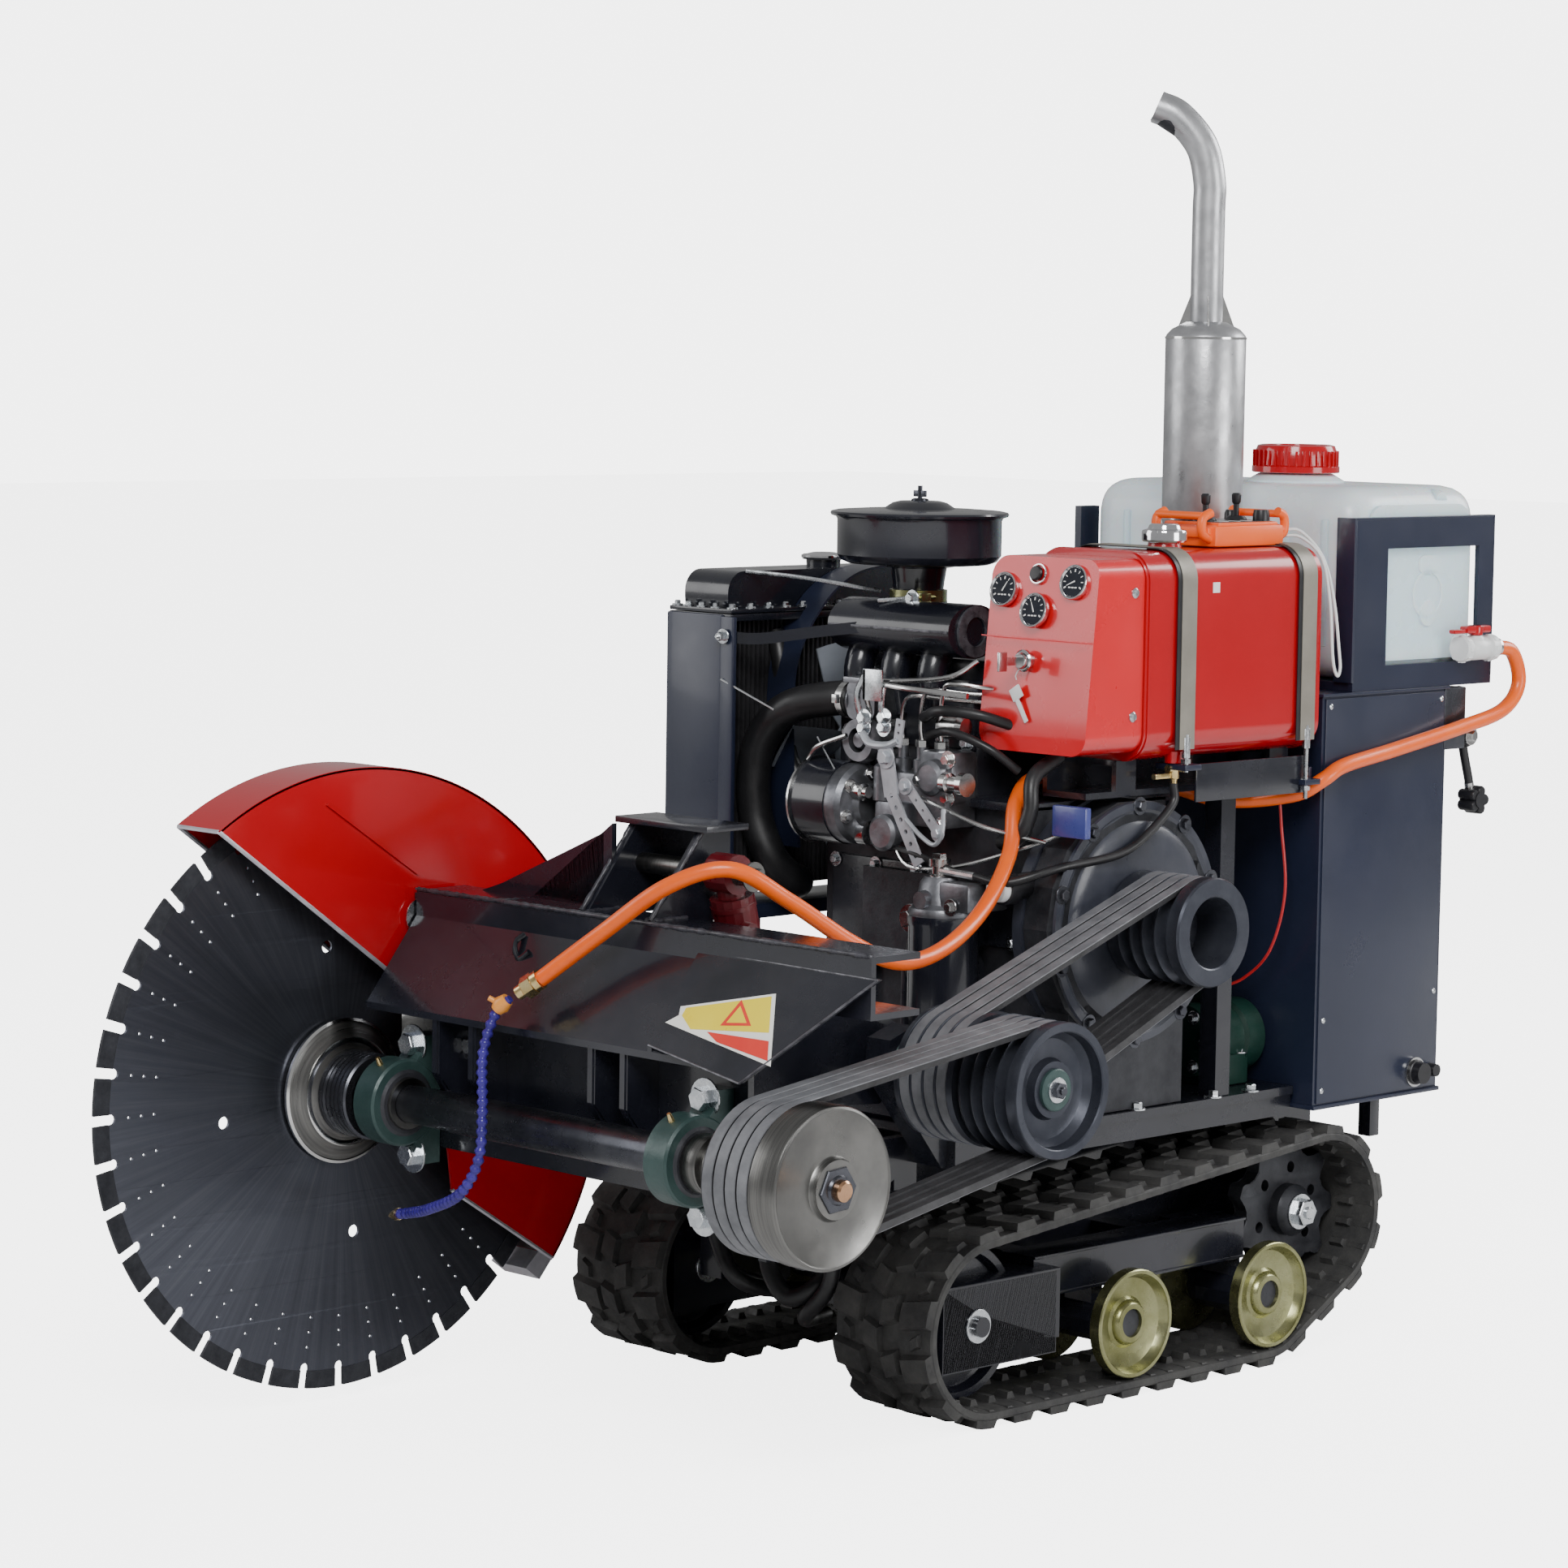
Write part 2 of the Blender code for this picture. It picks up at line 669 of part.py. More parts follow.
drive_belts(
    "engine_belts",
    ((*CRANK, CRANK_SEAT_RADIUS), (*JACKSHAFT, PULLEY_SEAT_RADIUS)),
    0.6955, 0.7815,
)
drive_belts(
    "axle_belts",
    ((*AXLE, AXLE_SEAT_RADIUS), (*JACKSHAFT, PULLEY_SEAT_RADIUS)),
    0.8045, 0.8845,
)

# ---------------------------------------------------------------- blade axle
part(
    "axle_shaft",
    "dark_steel",
    lathe("X", AXLE, [
        (-0.046, 0.0), (-0.046, AXLE_END_RADIUS), (0.0035, AXLE_END_RADIUS), (0.0035, 0.095),
        (0.0160, 0.095), (0.0160, 0.056), (0.045, 0.056), (0.045, 0.038), (0.086, 0.038),
        (0.086, AXLE_RADIUS), (0.780, AXLE_RADIUS), (0.780, AXLE_END_RADIUS),
        (0.948, AXLE_END_RADIUS), (AXLE_TIP, 0.014), (AXLE_TIP, 0.0),
    ]),
)
AXLE_BORE = AXLE_END_RADIUS + RUNNING_GAP
part(
    "axle_pulley",
    "steel",
    ring_lathe("X", AXLE, [
        (0.794, AXLE_BORE), (0.794, 0.099), (0.803, 0.099), (0.803, AXLE_SEAT_RADIUS),
        (0.886, AXLE_SEAT_RADIUS), (0.886, 0.100), (0.928, 0.100), (0.931, 0.097),
        (0.931, 0.036), (0.937, 0.034), (0.937, AXLE_BORE),
    ]),
)
blade_outline = []
for i in range(BLADE_SEGMENTS):
    for share, radius in (
        (-0.36, BLADE_RADIUS), (0.36, BLADE_RADIUS), (0.38, BLADE_CORE_RADIUS),
        (0.62, BLADE_CORE_RADIUS),
    ):
        angle = 2 * math.pi * (i + share) / BLADE_SEGMENTS
        blade_outline.append((
            AXLE[0] + radius * math.cos(angle), AXLE[1] + radius * math.sin(angle),
        ))
blade_cuts = [cylinder("X", AXLE, AXLE_BORE, -0.05, 0.05, segments=FINE)]
for i in range(BLADE_PIN_HOLES):
    angle = math.radians(7) + 2 * math.pi * i / BLADE_PIN_HOLES
    centre = (
        AXLE[0] + BLADE_PIN_RADIUS * math.cos(angle),
        AXLE[1] + BLADE_PIN_RADIUS * math.sin(angle),
    )
    blade_cuts.append(cylinder("X", centre, 0.008, -0.05, 0.05, segments=12))
part(
    "blade",
    "dark_steel",
    prism("X", blade_outline, -BLADE_THICKNESS / 2, BLADE_THICKNESS / 2),
    cut=blade_cuts,
)
part(
    "blade_flange",
    "steel",
    ring_lathe("X", AXLE, [
        (-0.0025, AXLE_BORE), (-0.0025, 0.095), (-0.014, 0.095), (-0.016, 0.040),
        (-0.034, 0.030), (-0.034, AXLE_BORE),
    ]),
)

# ---------------------------------------------------------------- blade arm
ARM_LEFT, ARM_RIGHT = 0.0560, 0.7200
skin = 0.008
slope_plate = [
    (0.000, 0.535), (0.085, 0.644), (0.094, 0.644), (0.058, 0.594), (0.058, 0.580),
    (0.016, 0.526), (0.000, 0.526),
]
channel = [
    (0.084, 0.600), (0.084, 0.677), (0.168, 0.677), (0.168, 0.677 - skin),
    (0.084 + skin, 0.677 - skin), (0.084 + skin, 0.600 + skin), (0.168, 0.600 + skin),
    (0.168, 0.600),
]
side_arm = [
    (0.064, 0.345), (0.064, 0.560), (0.090, 0.608), (0.160, 0.668), (0.250, 0.640),
    (0.400, 0.532), (0.434, 0.540), (0.470, 0.520), (0.488, 0.478), (0.470, 0.436),
    (0.434, 0.420), (0.380, 0.424), (0.200, 0.380), (0.120, 0.345),
]
tower_side = [(0.100, 0.670), (0.192, 0.790), (0.240, 0.790), (0.240, 0.670)]
rib = [(0.006, 0.530), (0.066, 0.530), (0.066, 0.420), (0.034, 0.420), (0.006, 0.455)]
arm_joins = [
    prism("X", slope_plate, ARM_LEFT, ARM_RIGHT),
    prism("X", channel, ARM_LEFT, 0.905),
    prism("X", side_arm, 0.205, 0.220),
    prism("X", side_arm, 0.5640, 0.5790),
    prism("X", tower_side, 0.364, 0.373),
    prism("X", tower_side, 0.485, 0.494),
    box((0.352, 0.186, 0.786), (0.506, 0.244, 0.794)),
    box((0.366, 0.232, 0.665), (0.492, 0.240, 0.790)),
    prism("Y", [(0.205, 0.672), (0.368, 0.788), (0.368, 0.672)], 0.150, 0.158),
    cylinder("X", LIFT_PIN, 0.0125, 0.340, LIFT_X + 0.036),
    box((0.0475, 0.088, 0.640), (0.062, 0.120, 0.672)),
    box((0.0475, 0.072, 0.350), (0.062, 0.120, 0.385)),
    box((0.056, 0.064, 0.345), (0.080, 0.110, 0.390)),
]
for x in (0.190, 0.262, 0.492, 0.552):
    arm_joins.append(prism("X", rib, x, x + 0.008))


COVER_RISE = 1.282                            # the belt-side cover slopes like the arm's floor
cover = [(0.604, 0.000), (0.604, 0.086), (0.915, 0.084), (0.785, -0.018)]
arm_joins.append(leaf([(x, y, 0.543 + COVER_RISE * y) for x, y in cover], 0.009))
arm_joins.append(prism("X", [
    (0.000, 0.530), (0.000, 0.543), (0.086, 0.653), (0.100, 0.653), (0.066, 0.530),
], 0.602, 0.610))
part(
    "arm_frame",
    "gloss_black",
    box((ARM_LEFT, 0.0600, 0.345), (ARM_RIGHT, 0.0700, 0.533)),
    join=arm_joins,
    cut=[cylinder("X", JACKSHAFT, JACK_BORE, 0.1, 0.62, segments=FINE)],
)


def pillow_block(name, low, high):
    y, z = AXLE
    foot = rounded((0.030, z - 0.085), (0.0595, z + 0.085), 0.006, steps=1)
    part(
        name,
        "casting_green",
        cylinder("X", AXLE, 0.058, low, high, segments=FINE),
        join=[
            prism("X", foot, low + 0.002, high - 0.002),
            box((low + 0.004, 0.0, z - 0.055), (high - 0.004, 0.040, z + 0.055)),
        ],
        cut=[cylinder("X", AXLE, AXLE_RADIUS + RUNNING_GAP, low - 0.1, high + 0.1, FINE)],
    )


pillow_block("right_axle_bearing", 0.096, 0.140)
pillow_block("left_axle_bearing", 0.655, 0.699)

# ---------------------------------------------------------------- blade guard
def guard_outline(inset):
    """The guard's side shape about the axle, from its front edge over the top to its lower end."""
    radius = GUARD_RADIUS - inset
    outline = [(AXLE[0] + 0.124, AXLE[1] + 0.104), (AXLE[0] + 0.159, AXLE[1] - 0.148)]
    first, last, steps = math.radians(-37.9), math.radians(122.8), 30
    for i in range(steps + 1):
        angle = first + (last - first) * i / steps
        outline.append((AXLE[0] + radius * math.cos(angle), AXLE[1] + radius * math.sin(angle)))
    return outline


guard_room = guard_outline(GUARD_WALL)
guard_room[0] = (AXLE[0] + 0.060, AXLE[1] + 0.090)
guard_room[1] = (AXLE[0] + 0.120, AXLE[1] - 0.190)
guard_room.insert(2, (AXLE[0] + 0.320, AXLE[1] - 0.330))
guard_room.append((AXLE[0] - 0.330, AXLE[1] + 0.330))
part(
    "blade_guard",
    "red",
    prism("X", guard_outline(0.0), -GUARD_HALF_WIDTH, GUARD_HALF_WIDTH),
    cut=[prism("X", guard_room, -GUARD_HALF_WIDTH + 0.004, GUARD_HALF_WIDTH - 0.004)],
)

# ---------------------------------------------------------------- lift cylinder
LIFT_DOWN = (Vector(LIFT_FOOT) - Vector(LIFT_PIN)).normalized()
LIFT_LENGTH = (Vector(LIFT_FOOT) - Vector(LIFT_PIN)).length


def lift_point(distance):
    y, z = Vector(LIFT_PIN) + LIFT_DOWN * distance
    return (LIFT_X, y, z)


part(
    "lift_barrel",
    "dark_red",
    tube([lift_point(0.030), lift_point(0.300)], 0.029, segments=16),
    join=[cylinder("X", LIFT_PIN, 0.026, LIFT_X - 0.020, LIFT_X + 0.020, segments=16),
          tube([lift_point(0.010), lift_point(0.045)], 0.018, segments=16)],
    cut=[
        cylinder("X", LIFT_PIN, 0.0135, LIFT_X - 0.1, LIFT_X + 0.1, segments=16),
        tube([lift_point(0.100), lift_point(0.400)], 0.0145, segments=16),
    ],
)
part(
    "lift_rod",
    "chrome",
    tube([lift_point(0.200), lift_point(LIFT_LENGTH - 0.014)], 0.0135, segments=16),
    join=[cylinder("X", LIFT_FOOT, 0.022, LIFT_X - 0.018, LIFT_X + 0.018, segments=16)],
    cut=[cylinder("X", LIFT_FOOT, 0.0150, LIFT_X - 0.1, LIFT_X + 0.1, segments=16)],
)

# ---------------------------------------------------------------- fuel tank and dash
part(
    "fuel_tank",
    "red",
    prism("Y", rounded((0.500, 0.856), (0.698, 1.136), 0.034), 0.8045, 1.172),
    join=[cylinder("Z", (0.640, 0.905), 0.022, 1.130, 1.146)],
)
dash_profile = [
    (0.722, 0.868), (0.706, 0.880), (0.692, 0.930), (0.692, 1.020), (0.712, 1.100),
    (0.736, 1.128), (0.8040, 1.128), (0.8040, 0.868),
]
part(
    "instrument_panel",
    "red",
    prism("X", dash_profile, 0.503, 0.695),
    cut=[
        cylinder("Y", (0.588, 1.105), 0.0115, 0.600, 0.750, segments=16),
        cylinder("Y", (0.583, 0.990), 0.0115, 0.600, 0.712, segments=16),
    ],
)
part(
    "start_button",
    "chrome",
    cylinder("Y", (0.588, 1.105), 0.0105, 0.702, 0.744, segments=16),
)
part(
    "ignition_key",
    "chrome",
    cylinder("Y", (0.583, 0.990), 0.0105, 0.680, 0.7105, segments=12),
    join=[
        box((0.5815, 0.652, 0.984), (0.5845, 0.684, 0.996)),
        box((0.5815, 0.640, 0.976), (0.5845, 0.656, 1.004)),
    ],
)
part(
    "fuel_tank_bracket",
    "navy",
    box((0.577, 0.740, 0.806), (0.655, 1.1885, 0.8145)),
    join=[
        box((0.577, 0.740, 0.806), (0.585, 1.1885, 0.8555)),
        box((0.577, 0.800, 0.848), (0.655, 0.840, 0.8555)),
        box((0.647, 0.800, 0.806), (0.655, 0.840, 0.8555)),
        box((0.577, 1.120, 0.848), (0.655, 1.160, 0.8555)),
        box((0.647, 1.120, 0.806), (0.655, 1.160, 0.8555)),
        box((0.625, 1.020, 0.3765), (0.655, 1.050, 0.812)),
    ],
)
part(
    "petcock_lever",
    "chrome",
    cylinder("Z", (0.678, 0.890), 0.008, 0.828, 0.8555, segments=12),
    join=[box((0.674, 0.850, 0.829), (0.682, 0.892, 0.837))],
)
part(
    "fuel_cap",
    "chrome",
    lathe("Z", (0.640, 0.905), [
        (1.1465, 0.0), (1.1465, 0.031), (1.166, 0.031), (1.171, 0.024), (1.171, 0.0),
    ], segments=16),
)

# ---------------------------------------------------------------- remote control
part(
    "remote_control",
    "orange",
    box((0.550, 0.985, 1.1365), (0.660, 1.140, 1.168)),
    join=[
        box((0.556, 0.975, 1.150), (0.572, 1.150, 1.186)),
        box((0.638, 0.975, 1.150), (0.654, 1.150, 1.186)),
        box((0.556, 0.975, 1.150), (0.654, 0.988, 1.168)),
        box((0.556, 1.137, 1.150), (0.654, 1.150, 1.168)),
    ],
)
for name, y in (("joystick_left", 1.030), ("joystick_right", 1.095)):
    part(
        name,
        "plastic_black",
        lathe("Z", (0.605, y), [
            (1.1705, 0.0), (1.1705, 0.004), (1.192, 0.005), (1.196, 0.009), (1.206, 0.010),
            (1.209, 0.0),
        ], segments=12),
    )

# ---------------------------------------------------------------- rear
part(
    "rear_cabinet",
    "navy",
    box((0.020, 1.1900, 0.3450), (0.690, 1.470, 0.9300)),
    join=[
        box((0.060, 1.460, 0.780), (0.640, 1.486, 0.900)),
        box((0.640, 1.465, 0.840), (0.690, 1.512, 0.925)),
    ],
)
part(
    "water_tank",
    "tank_white",
    prism("X", rounded((1.262, 0.9430), (1.560, 1.216), 0.045), 0.180, 0.680),
    join=[cylinder("Z", (0.455, 1.405), 0.052, 1.200, 1.228, segments=16)],
)
part(
    "water_tank_cap",
    "red",
    lathe("Z", (0.455, 1.405), [
        (1.2290, 0.0), (1.2290, 0.064), (1.264, 0.064), (1.270, 0.054), (1.270, 0.0),
    ], segments=20),
)
part(
    "water_tank_frame",
    "navy",
    box((0.160, 1.256, 0.9305), (0.692, 1.566, 0.9425)),
    join=[
        box((0.6845, 1.252, 0.9305), (0.692, 1.570, 1.172)),
        box((0.160, 1.256, 0.9305), (0.172, 1.296, 1.172)),
        box((0.160, 1.526, 0.9305), (0.172, 1.566, 1.172)),
    ],
    cut=[box((0.600, 1.325, 0.965), (0.700, 1.535, 1.130))],
)
part(
    "water_valve",
    "tank_white",
    cylinder("X", (1.505, 0.984), 0.015, 0.6810, 0.716, segments=12),
    join=[
        cylinder("Y", (0.712, 0.984), 0.013, 1.470, 1.548, segments=12),
        cylinder("Z", (0.712, 1.505), 0.010, 0.984, 1.003, segments=12),
    ],
)
part(
    "water_valve_handle",
    "red",
    cylinder("Z", (0.712, 1.505), 0.010, 1.0035, 1.014, segments=12),
    join=[box((0.703, 1.445, 1.005), (0.721, 1.505, 1.013))],
)
part(
    "rear_lever",
    "plastic_black",
    cylinder("X", (1.530, 0.855), 0.017, 0.645, 0.690, segments=16),
    join=[
        prism("X", [(1.520, 0.855), (1.540, 0.860), (1.562, 0.765), (1.546, 0.760)], 0.668, 0.678),
        cylinder("X", (1.555, 0.760), 0.021, 0.662, 0.694, segments=12),
    ],
)
part(
    "hydraulic_pump",
    "casting_green",
    cylinder("Y", (0.560, 0.440), 0.052, 1.060, 1.1885, segments=20),
    join=[box((0.515, 1.080, 0.3765), (0.605, 1.150, 0.420))],
)

# ---------------------------------------------------------------- water line
REAR_HOSE = [
    (0.712, 1.5495, 0.984), (0.714, 1.590, 0.976), (0.716, 1.606, 0.930), (0.716, 1.570, 0.893),
    (0.712, 1.480, 0.872), (0.706, 1.330, 0.846), (0.707, 1.220, 0.830), (0.702, 1.180, 0.812),
    (0.672, 1.150, 0.790), (0.600, 1.080, 0.782), (0.545, 0.985, 0.814), (0.536, 0.860, 0.820),
    (0.545, 0.760, 0.826), (0.580, 0.684, 0.800), (0.606, 0.645, 0.735),
    (0.640, 0.560, 0.672), (0.676, 0.450, 0.634), (0.690, 0.400, 0.630),
]
FRONT_HOSE = [
    (0.708, 0.330, 0.629), (0.692, 0.270, 0.655), (0.656, 0.190, 0.712), (0.622, 0.120, 0.754),
    (0.560, 0.070, 0.731), (0.470, 0.040, 0.664), (0.400, -0.001, 0.601),
]
part("water_hose_rear", "orange", tube(smooth_path(REAR_HOSE, 2), HOSE_RADIUS, segments=6))
part(
    "water_hose_front",
    "orange",
    tube(smooth_path(FRONT_HOSE, 3), HOSE_RADIUS, segments=6),
)
NOZZLE = [
    (0.3950, -0.0045, 0.5970), (0.384, -0.008, 0.589), (0.342, -0.024, 0.558),
    (0.338, -0.040, 0.502), (0.352, -0.052, 0.433), (0.352, -0.058, 0.371),
    (0.316, -0.058, 0.322), (0.224, -0.030, 0.286), (0.150, 0.000, 0.266),
    (0.110, 0.006, 0.257),
]
part(
    "spray_nozzle",
    "purple",
    tube(smooth_path(NOZZLE, 2), 0.0085, segments=6),
    join=[tube([(0.3940, -0.005, 0.5965), (0.370, -0.014, 0.579)], 0.0125, segments=6)],
)
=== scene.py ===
import json
import math
import random

import bmesh
import bpy
from mathutils import Matrix, Vector


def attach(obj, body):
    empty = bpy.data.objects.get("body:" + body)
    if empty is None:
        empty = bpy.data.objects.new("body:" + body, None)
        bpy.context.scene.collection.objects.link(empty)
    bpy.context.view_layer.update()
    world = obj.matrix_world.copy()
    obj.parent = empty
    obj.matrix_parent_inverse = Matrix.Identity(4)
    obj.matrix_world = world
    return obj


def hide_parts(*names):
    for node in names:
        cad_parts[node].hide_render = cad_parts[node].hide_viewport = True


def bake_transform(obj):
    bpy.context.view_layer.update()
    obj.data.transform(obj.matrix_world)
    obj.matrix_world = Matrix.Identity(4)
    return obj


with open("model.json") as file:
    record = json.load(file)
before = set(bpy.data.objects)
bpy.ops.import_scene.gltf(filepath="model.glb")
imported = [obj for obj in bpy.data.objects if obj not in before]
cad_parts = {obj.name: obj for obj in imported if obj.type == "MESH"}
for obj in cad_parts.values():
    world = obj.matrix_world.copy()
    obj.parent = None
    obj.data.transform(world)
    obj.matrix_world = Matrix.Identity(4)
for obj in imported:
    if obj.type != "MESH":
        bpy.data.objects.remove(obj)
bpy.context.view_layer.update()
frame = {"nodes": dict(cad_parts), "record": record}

# ---------------------------------------------------------------- shared dimensions
# Points are written from the blade, as in the CAD: X from the blade plane towards the pulleys,
# Y from the blade axle towards the rear, Z up. ORIGIN moves them into the row frame.
ORIGIN = Vector((0.453, 0.608, -0.01))
AXLE = (0.0, 0.41)
JACKSHAFT = (0.434, 0.478)
CRANK = (0.837, 0.635)
IDLER = (0.546, 0.122, 0.132)
SPROCKET = (1.229, 0.188, 0.13)
ROLLERS = ((0.828, 0.09, 0.1), (1.118, 0.09, 0.1))
TRACK_CENTRE_X = 0.345
LIFT_PIN = (0.2, 0.735)
LIFT_FOOT = (0.33, 0.235)
LIFT_X = 0.532

random.seed(7)


# ---------------------------------------------------------------- materials
def new_material(name):
    made = bpy.data.materials.new(name)
    made.use_nodes = True
    return made, made.node_tree.nodes, made.node_tree.links, made.node_tree.nodes["Principled BSDF"]


def noise(nodes, links, scale, detail=4.0, roughness=0.6, stretch=None):
    """Noise in the row frame, stretched along an axis where stretch gives a scale per axis."""
    where = nodes.new("ShaderNodeTexCoord")
    texture = nodes.new("ShaderNodeTexNoise")
    texture.inputs["Scale"].default_value = scale
    texture.inputs["Detail"].default_value = detail
    texture.inputs["Roughness"].default_value = roughness
    if stretch:
        mapping = nodes.new("ShaderNodeMapping")
        mapping.inputs["Scale"].default_value = stretch
        links.new(where.outputs["Object"], mapping.inputs["Vector"])
        links.new(mapping.outputs["Vector"], texture.inputs["Vector"])
    else:
        links.new(where.outputs["Object"], texture.inputs["Vector"])
    return texture


def ramp(nodes, links, source, stops):
    """A colour ramp over a texture's factor. stops are (position, colour or grey)."""
    made = nodes.new("ShaderNodeValToRGB")
    elements = made.color_ramp.elements
    while len(elements) < len(stops):
        elements.new(0.5)
    for element, (position, colour) in zip(elements, stops):
        element.position = position
        if isinstance(colour, (int, float)):
            colour = (colour, colour, colour)
        element.color = (*colour, 1.0)
    links.new(source, made.inputs["Fac"])
    return made


def bump(nodes, links, shader, source, strength, distance=0.001):
    made = nodes.new("ShaderNodeBump")
    made.inputs["Strength"].default_value = strength
    made.inputs["Distance"].default_value = distance
    links.new(source, made.inputs["Height"])
    links.new(made.outputs["Normal"], shader.inputs["Normal"])


def finish(name, low, high, rough, metallic=0.0, scale=6.0, grain=0.0, grain_scale=220.0,
           coat=0.0, stretch=None, subsurface=0.0, specular=0.5, spots=None):
    """A procedural finish: colour drifts from low to high, roughness over a range, fine grain."""
    made, nodes, links, shader = new_material(name)
    broad = noise(nodes, links, scale, stretch=stretch)
    stops = [(0.3, low), (0.72, high)]
    if spots:
        stops.append((0.8, spots))
    colours = ramp(nodes, links, broad.outputs["Fac"], stops)
    links.new(colours.outputs["Color"], shader.inputs["Base Color"])
    patches = noise(nodes, links, scale * 2.3, detail=6.0, stretch=stretch)
    shine = ramp(nodes, links, patches.outputs["Fac"], [(0.32, rough[0]), (0.7, rough[1])])
    links.new(shine.outputs["Color"], shader.inputs["Roughness"])
    shader.inputs["Metallic"].default_value = metallic
    shader.inputs["Specular IOR Level"].default_value = specular
    shader.inputs["Coat Weight"].default_value = coat
    shader.inputs["Coat Roughness"].default_value = 0.08
    if subsurface:
        shader.inputs["Subsurface Weight"].default_value = subsurface
        shader.inputs["Subsurface Scale"].default_value = 0.02
    if grain:
        fine = noise(nodes, links, grain_scale, detail=3.0, stretch=stretch)
        bump(nodes, links, shader, fine.outputs["Fac"], grain)
    return made


BLACK_PAINT = finish("gloss_black_paint", (0.006, 0.007, 0.011), (0.016, 0.017, 0.026), (0.16, 0.34),
                     scale=5.0, grain=0.1, grain_scale=60.0, coat=0.4)
WELD = finish("weld_bead", (0.01, 0.01, 0.014), (0.06, 0.06, 0.075), (0.22, 0.5), scale=90.0, grain=0.5,
              grain_scale=160.0)
NAVY = finish("navy_paint", (0.01, 0.014, 0.032), (0.016, 0.021, 0.046), (0.26, 0.42), scale=3.0,
              grain=0.06, grain_scale=300.0, coat=0.15)
RED = finish("red_paint", (0.4, 0.0, 0.004), (0.48, 0.0, 0.007), (0.14, 0.24), scale=2.5, grain=0.03,
             grain_scale=40.0, coat=0.5, specular=0.4)
DASH_RED = finish("panel_red", (0.6, 0.003, 0.008), (0.68, 0.006, 0.013), (0.22, 0.34), scale=3.0,
                  grain=0.05, grain_scale=160.0, coat=0.5)
DARK_RED = finish("cylinder_red", (0.085, 0.004, 0.008), (0.15, 0.008, 0.014), (0.22, 0.4), scale=8.0,
                  grain=0.08, grain_scale=90.0, coat=0.3)
RUBBER = finish("track_rubber", (0.022, 0.022, 0.023), (0.056, 0.055, 0.052), (0.55, 0.85), scale=22.0,
                grain=0.45, grain_scale=180.0, spots=(0.23, 0.225, 0.21))
HOSE_RUBBER = finish("hose_rubber", (0.008, 0.008, 0.009), (0.018, 0.018, 0.02), (0.3, 0.52), scale=14.0,
                     grain=0.12, grain_scale=120.0)
BELT = finish("belt_sides", (0.02, 0.02, 0.022), (0.042, 0.042, 0.046), (0.5, 0.75), scale=30.0,
              grain=0.25, grain_scale=260.0)
BELT_BACK = finish("belt_backs", (0.1, 0.104, 0.115), (0.19, 0.195, 0.21), (0.45, 0.7), scale=26.0,
                   grain=0.25, grain_scale=300.0)
IRON = finish("dark_casting", (0.018, 0.019, 0.024), (0.05, 0.052, 0.06), (0.3, 0.62), metallic=0.35,
              scale=18.0, grain=0.35, grain_scale=130.0)
PULLEY_IRON = finish("pulley_iron", (0.05, 0.052, 0.06), (0.11, 0.112, 0.12), (0.28, 0.48), metallic=0.7,
                     scale=14.0, grain=0.12, grain_scale=160.0)
TURNED = finish("turned_steel", (0.12, 0.12, 0.117), (0.22, 0.217, 0.208), (0.26, 0.4), metallic=1.0,
                scale=9.0, grain=0.06, grain_scale=300.0, stretch=(60.0, 1.0, 1.0))
STEEL = finish("bright_steel", (0.5, 0.5, 0.5), (0.68, 0.68, 0.67), (0.16, 0.3), metallic=1.0,
               scale=20.0, grain=0.05, grain_scale=300.0)
BLUED = finish("blued_steel", (0.05, 0.053, 0.066), (0.12, 0.124, 0.14), (0.22, 0.36), metallic=0.9,
               scale=12.0, grain=0.06, grain_scale=200.0)
ZINC_BLUE = finish("zinc_bolts", (0.5, 0.53, 0.56), (0.74, 0.76, 0.78), (0.18, 0.34), metallic=1.0,
                   scale=60.0, grain=0.06, grain_scale=400.0)
ZINC_YELLOW = finish("yellow_zinc", (0.2, 0.2, 0.07), (0.42, 0.42, 0.24), (0.2, 0.34), metallic=0.92,
                     scale=13.0, grain=0.06, grain_scale=240.0, spots=(0.38, 0.3, 0.1))
ALUMINIUM = finish("cast_aluminium", (0.13, 0.135, 0.15), (0.32, 0.325, 0.35), (0.28, 0.5),
                   metallic=0.85, scale=20.0, grain=0.3, grain_scale=170.0)
CASTING_GREEN = finish("bearing_casting", (0.016, 0.042, 0.04), (0.046, 0.085, 0.08), (0.3, 0.48),
                       metallic=0.15, scale=12.0, grain=0.3, grain_scale=150.0)
PUMP_GREEN = finish("pump_green", (0.006, 0.03, 0.022), (0.012, 0.05, 0.036), (0.28, 0.46), scale=12.0,
                    grain=0.15, grain_scale=150.0)
BLACK_PLASTIC = finish("black_plastic", (0.008, 0.008, 0.01), (0.016, 0.016, 0.019), (0.3, 0.46),
                       scale=8.0, grain=0.1, grain_scale=260.0)
ORANGE_HOSE = finish("orange_hose", (0.84, 0.1, 0.0), (0.92, 0.135, 0.001), (0.3, 0.42), scale=16.0,
                     grain=0.06, grain_scale=160.0, coat=0.15)
ORANGE_CASE = finish("orange_case", (0.9, 0.11, 0.004), (0.96, 0.14, 0.006), (0.34, 0.48), scale=10.0,
                     grain=0.1, grain_scale=300.0)
PURPLE = finish("nozzle_purple", (0.022, 0.01, 0.17), (0.05, 0.028, 0.3), (0.22, 0.36), scale=30.0,
                grain=0.05, grain_scale=200.0)
BRASS = finish("brass", (0.6, 0.42, 0.16), (0.8, 0.66, 0.36), (0.18, 0.32), metallic=1.0, scale=40.0,
               grain=0.05, grain_scale=300.0)
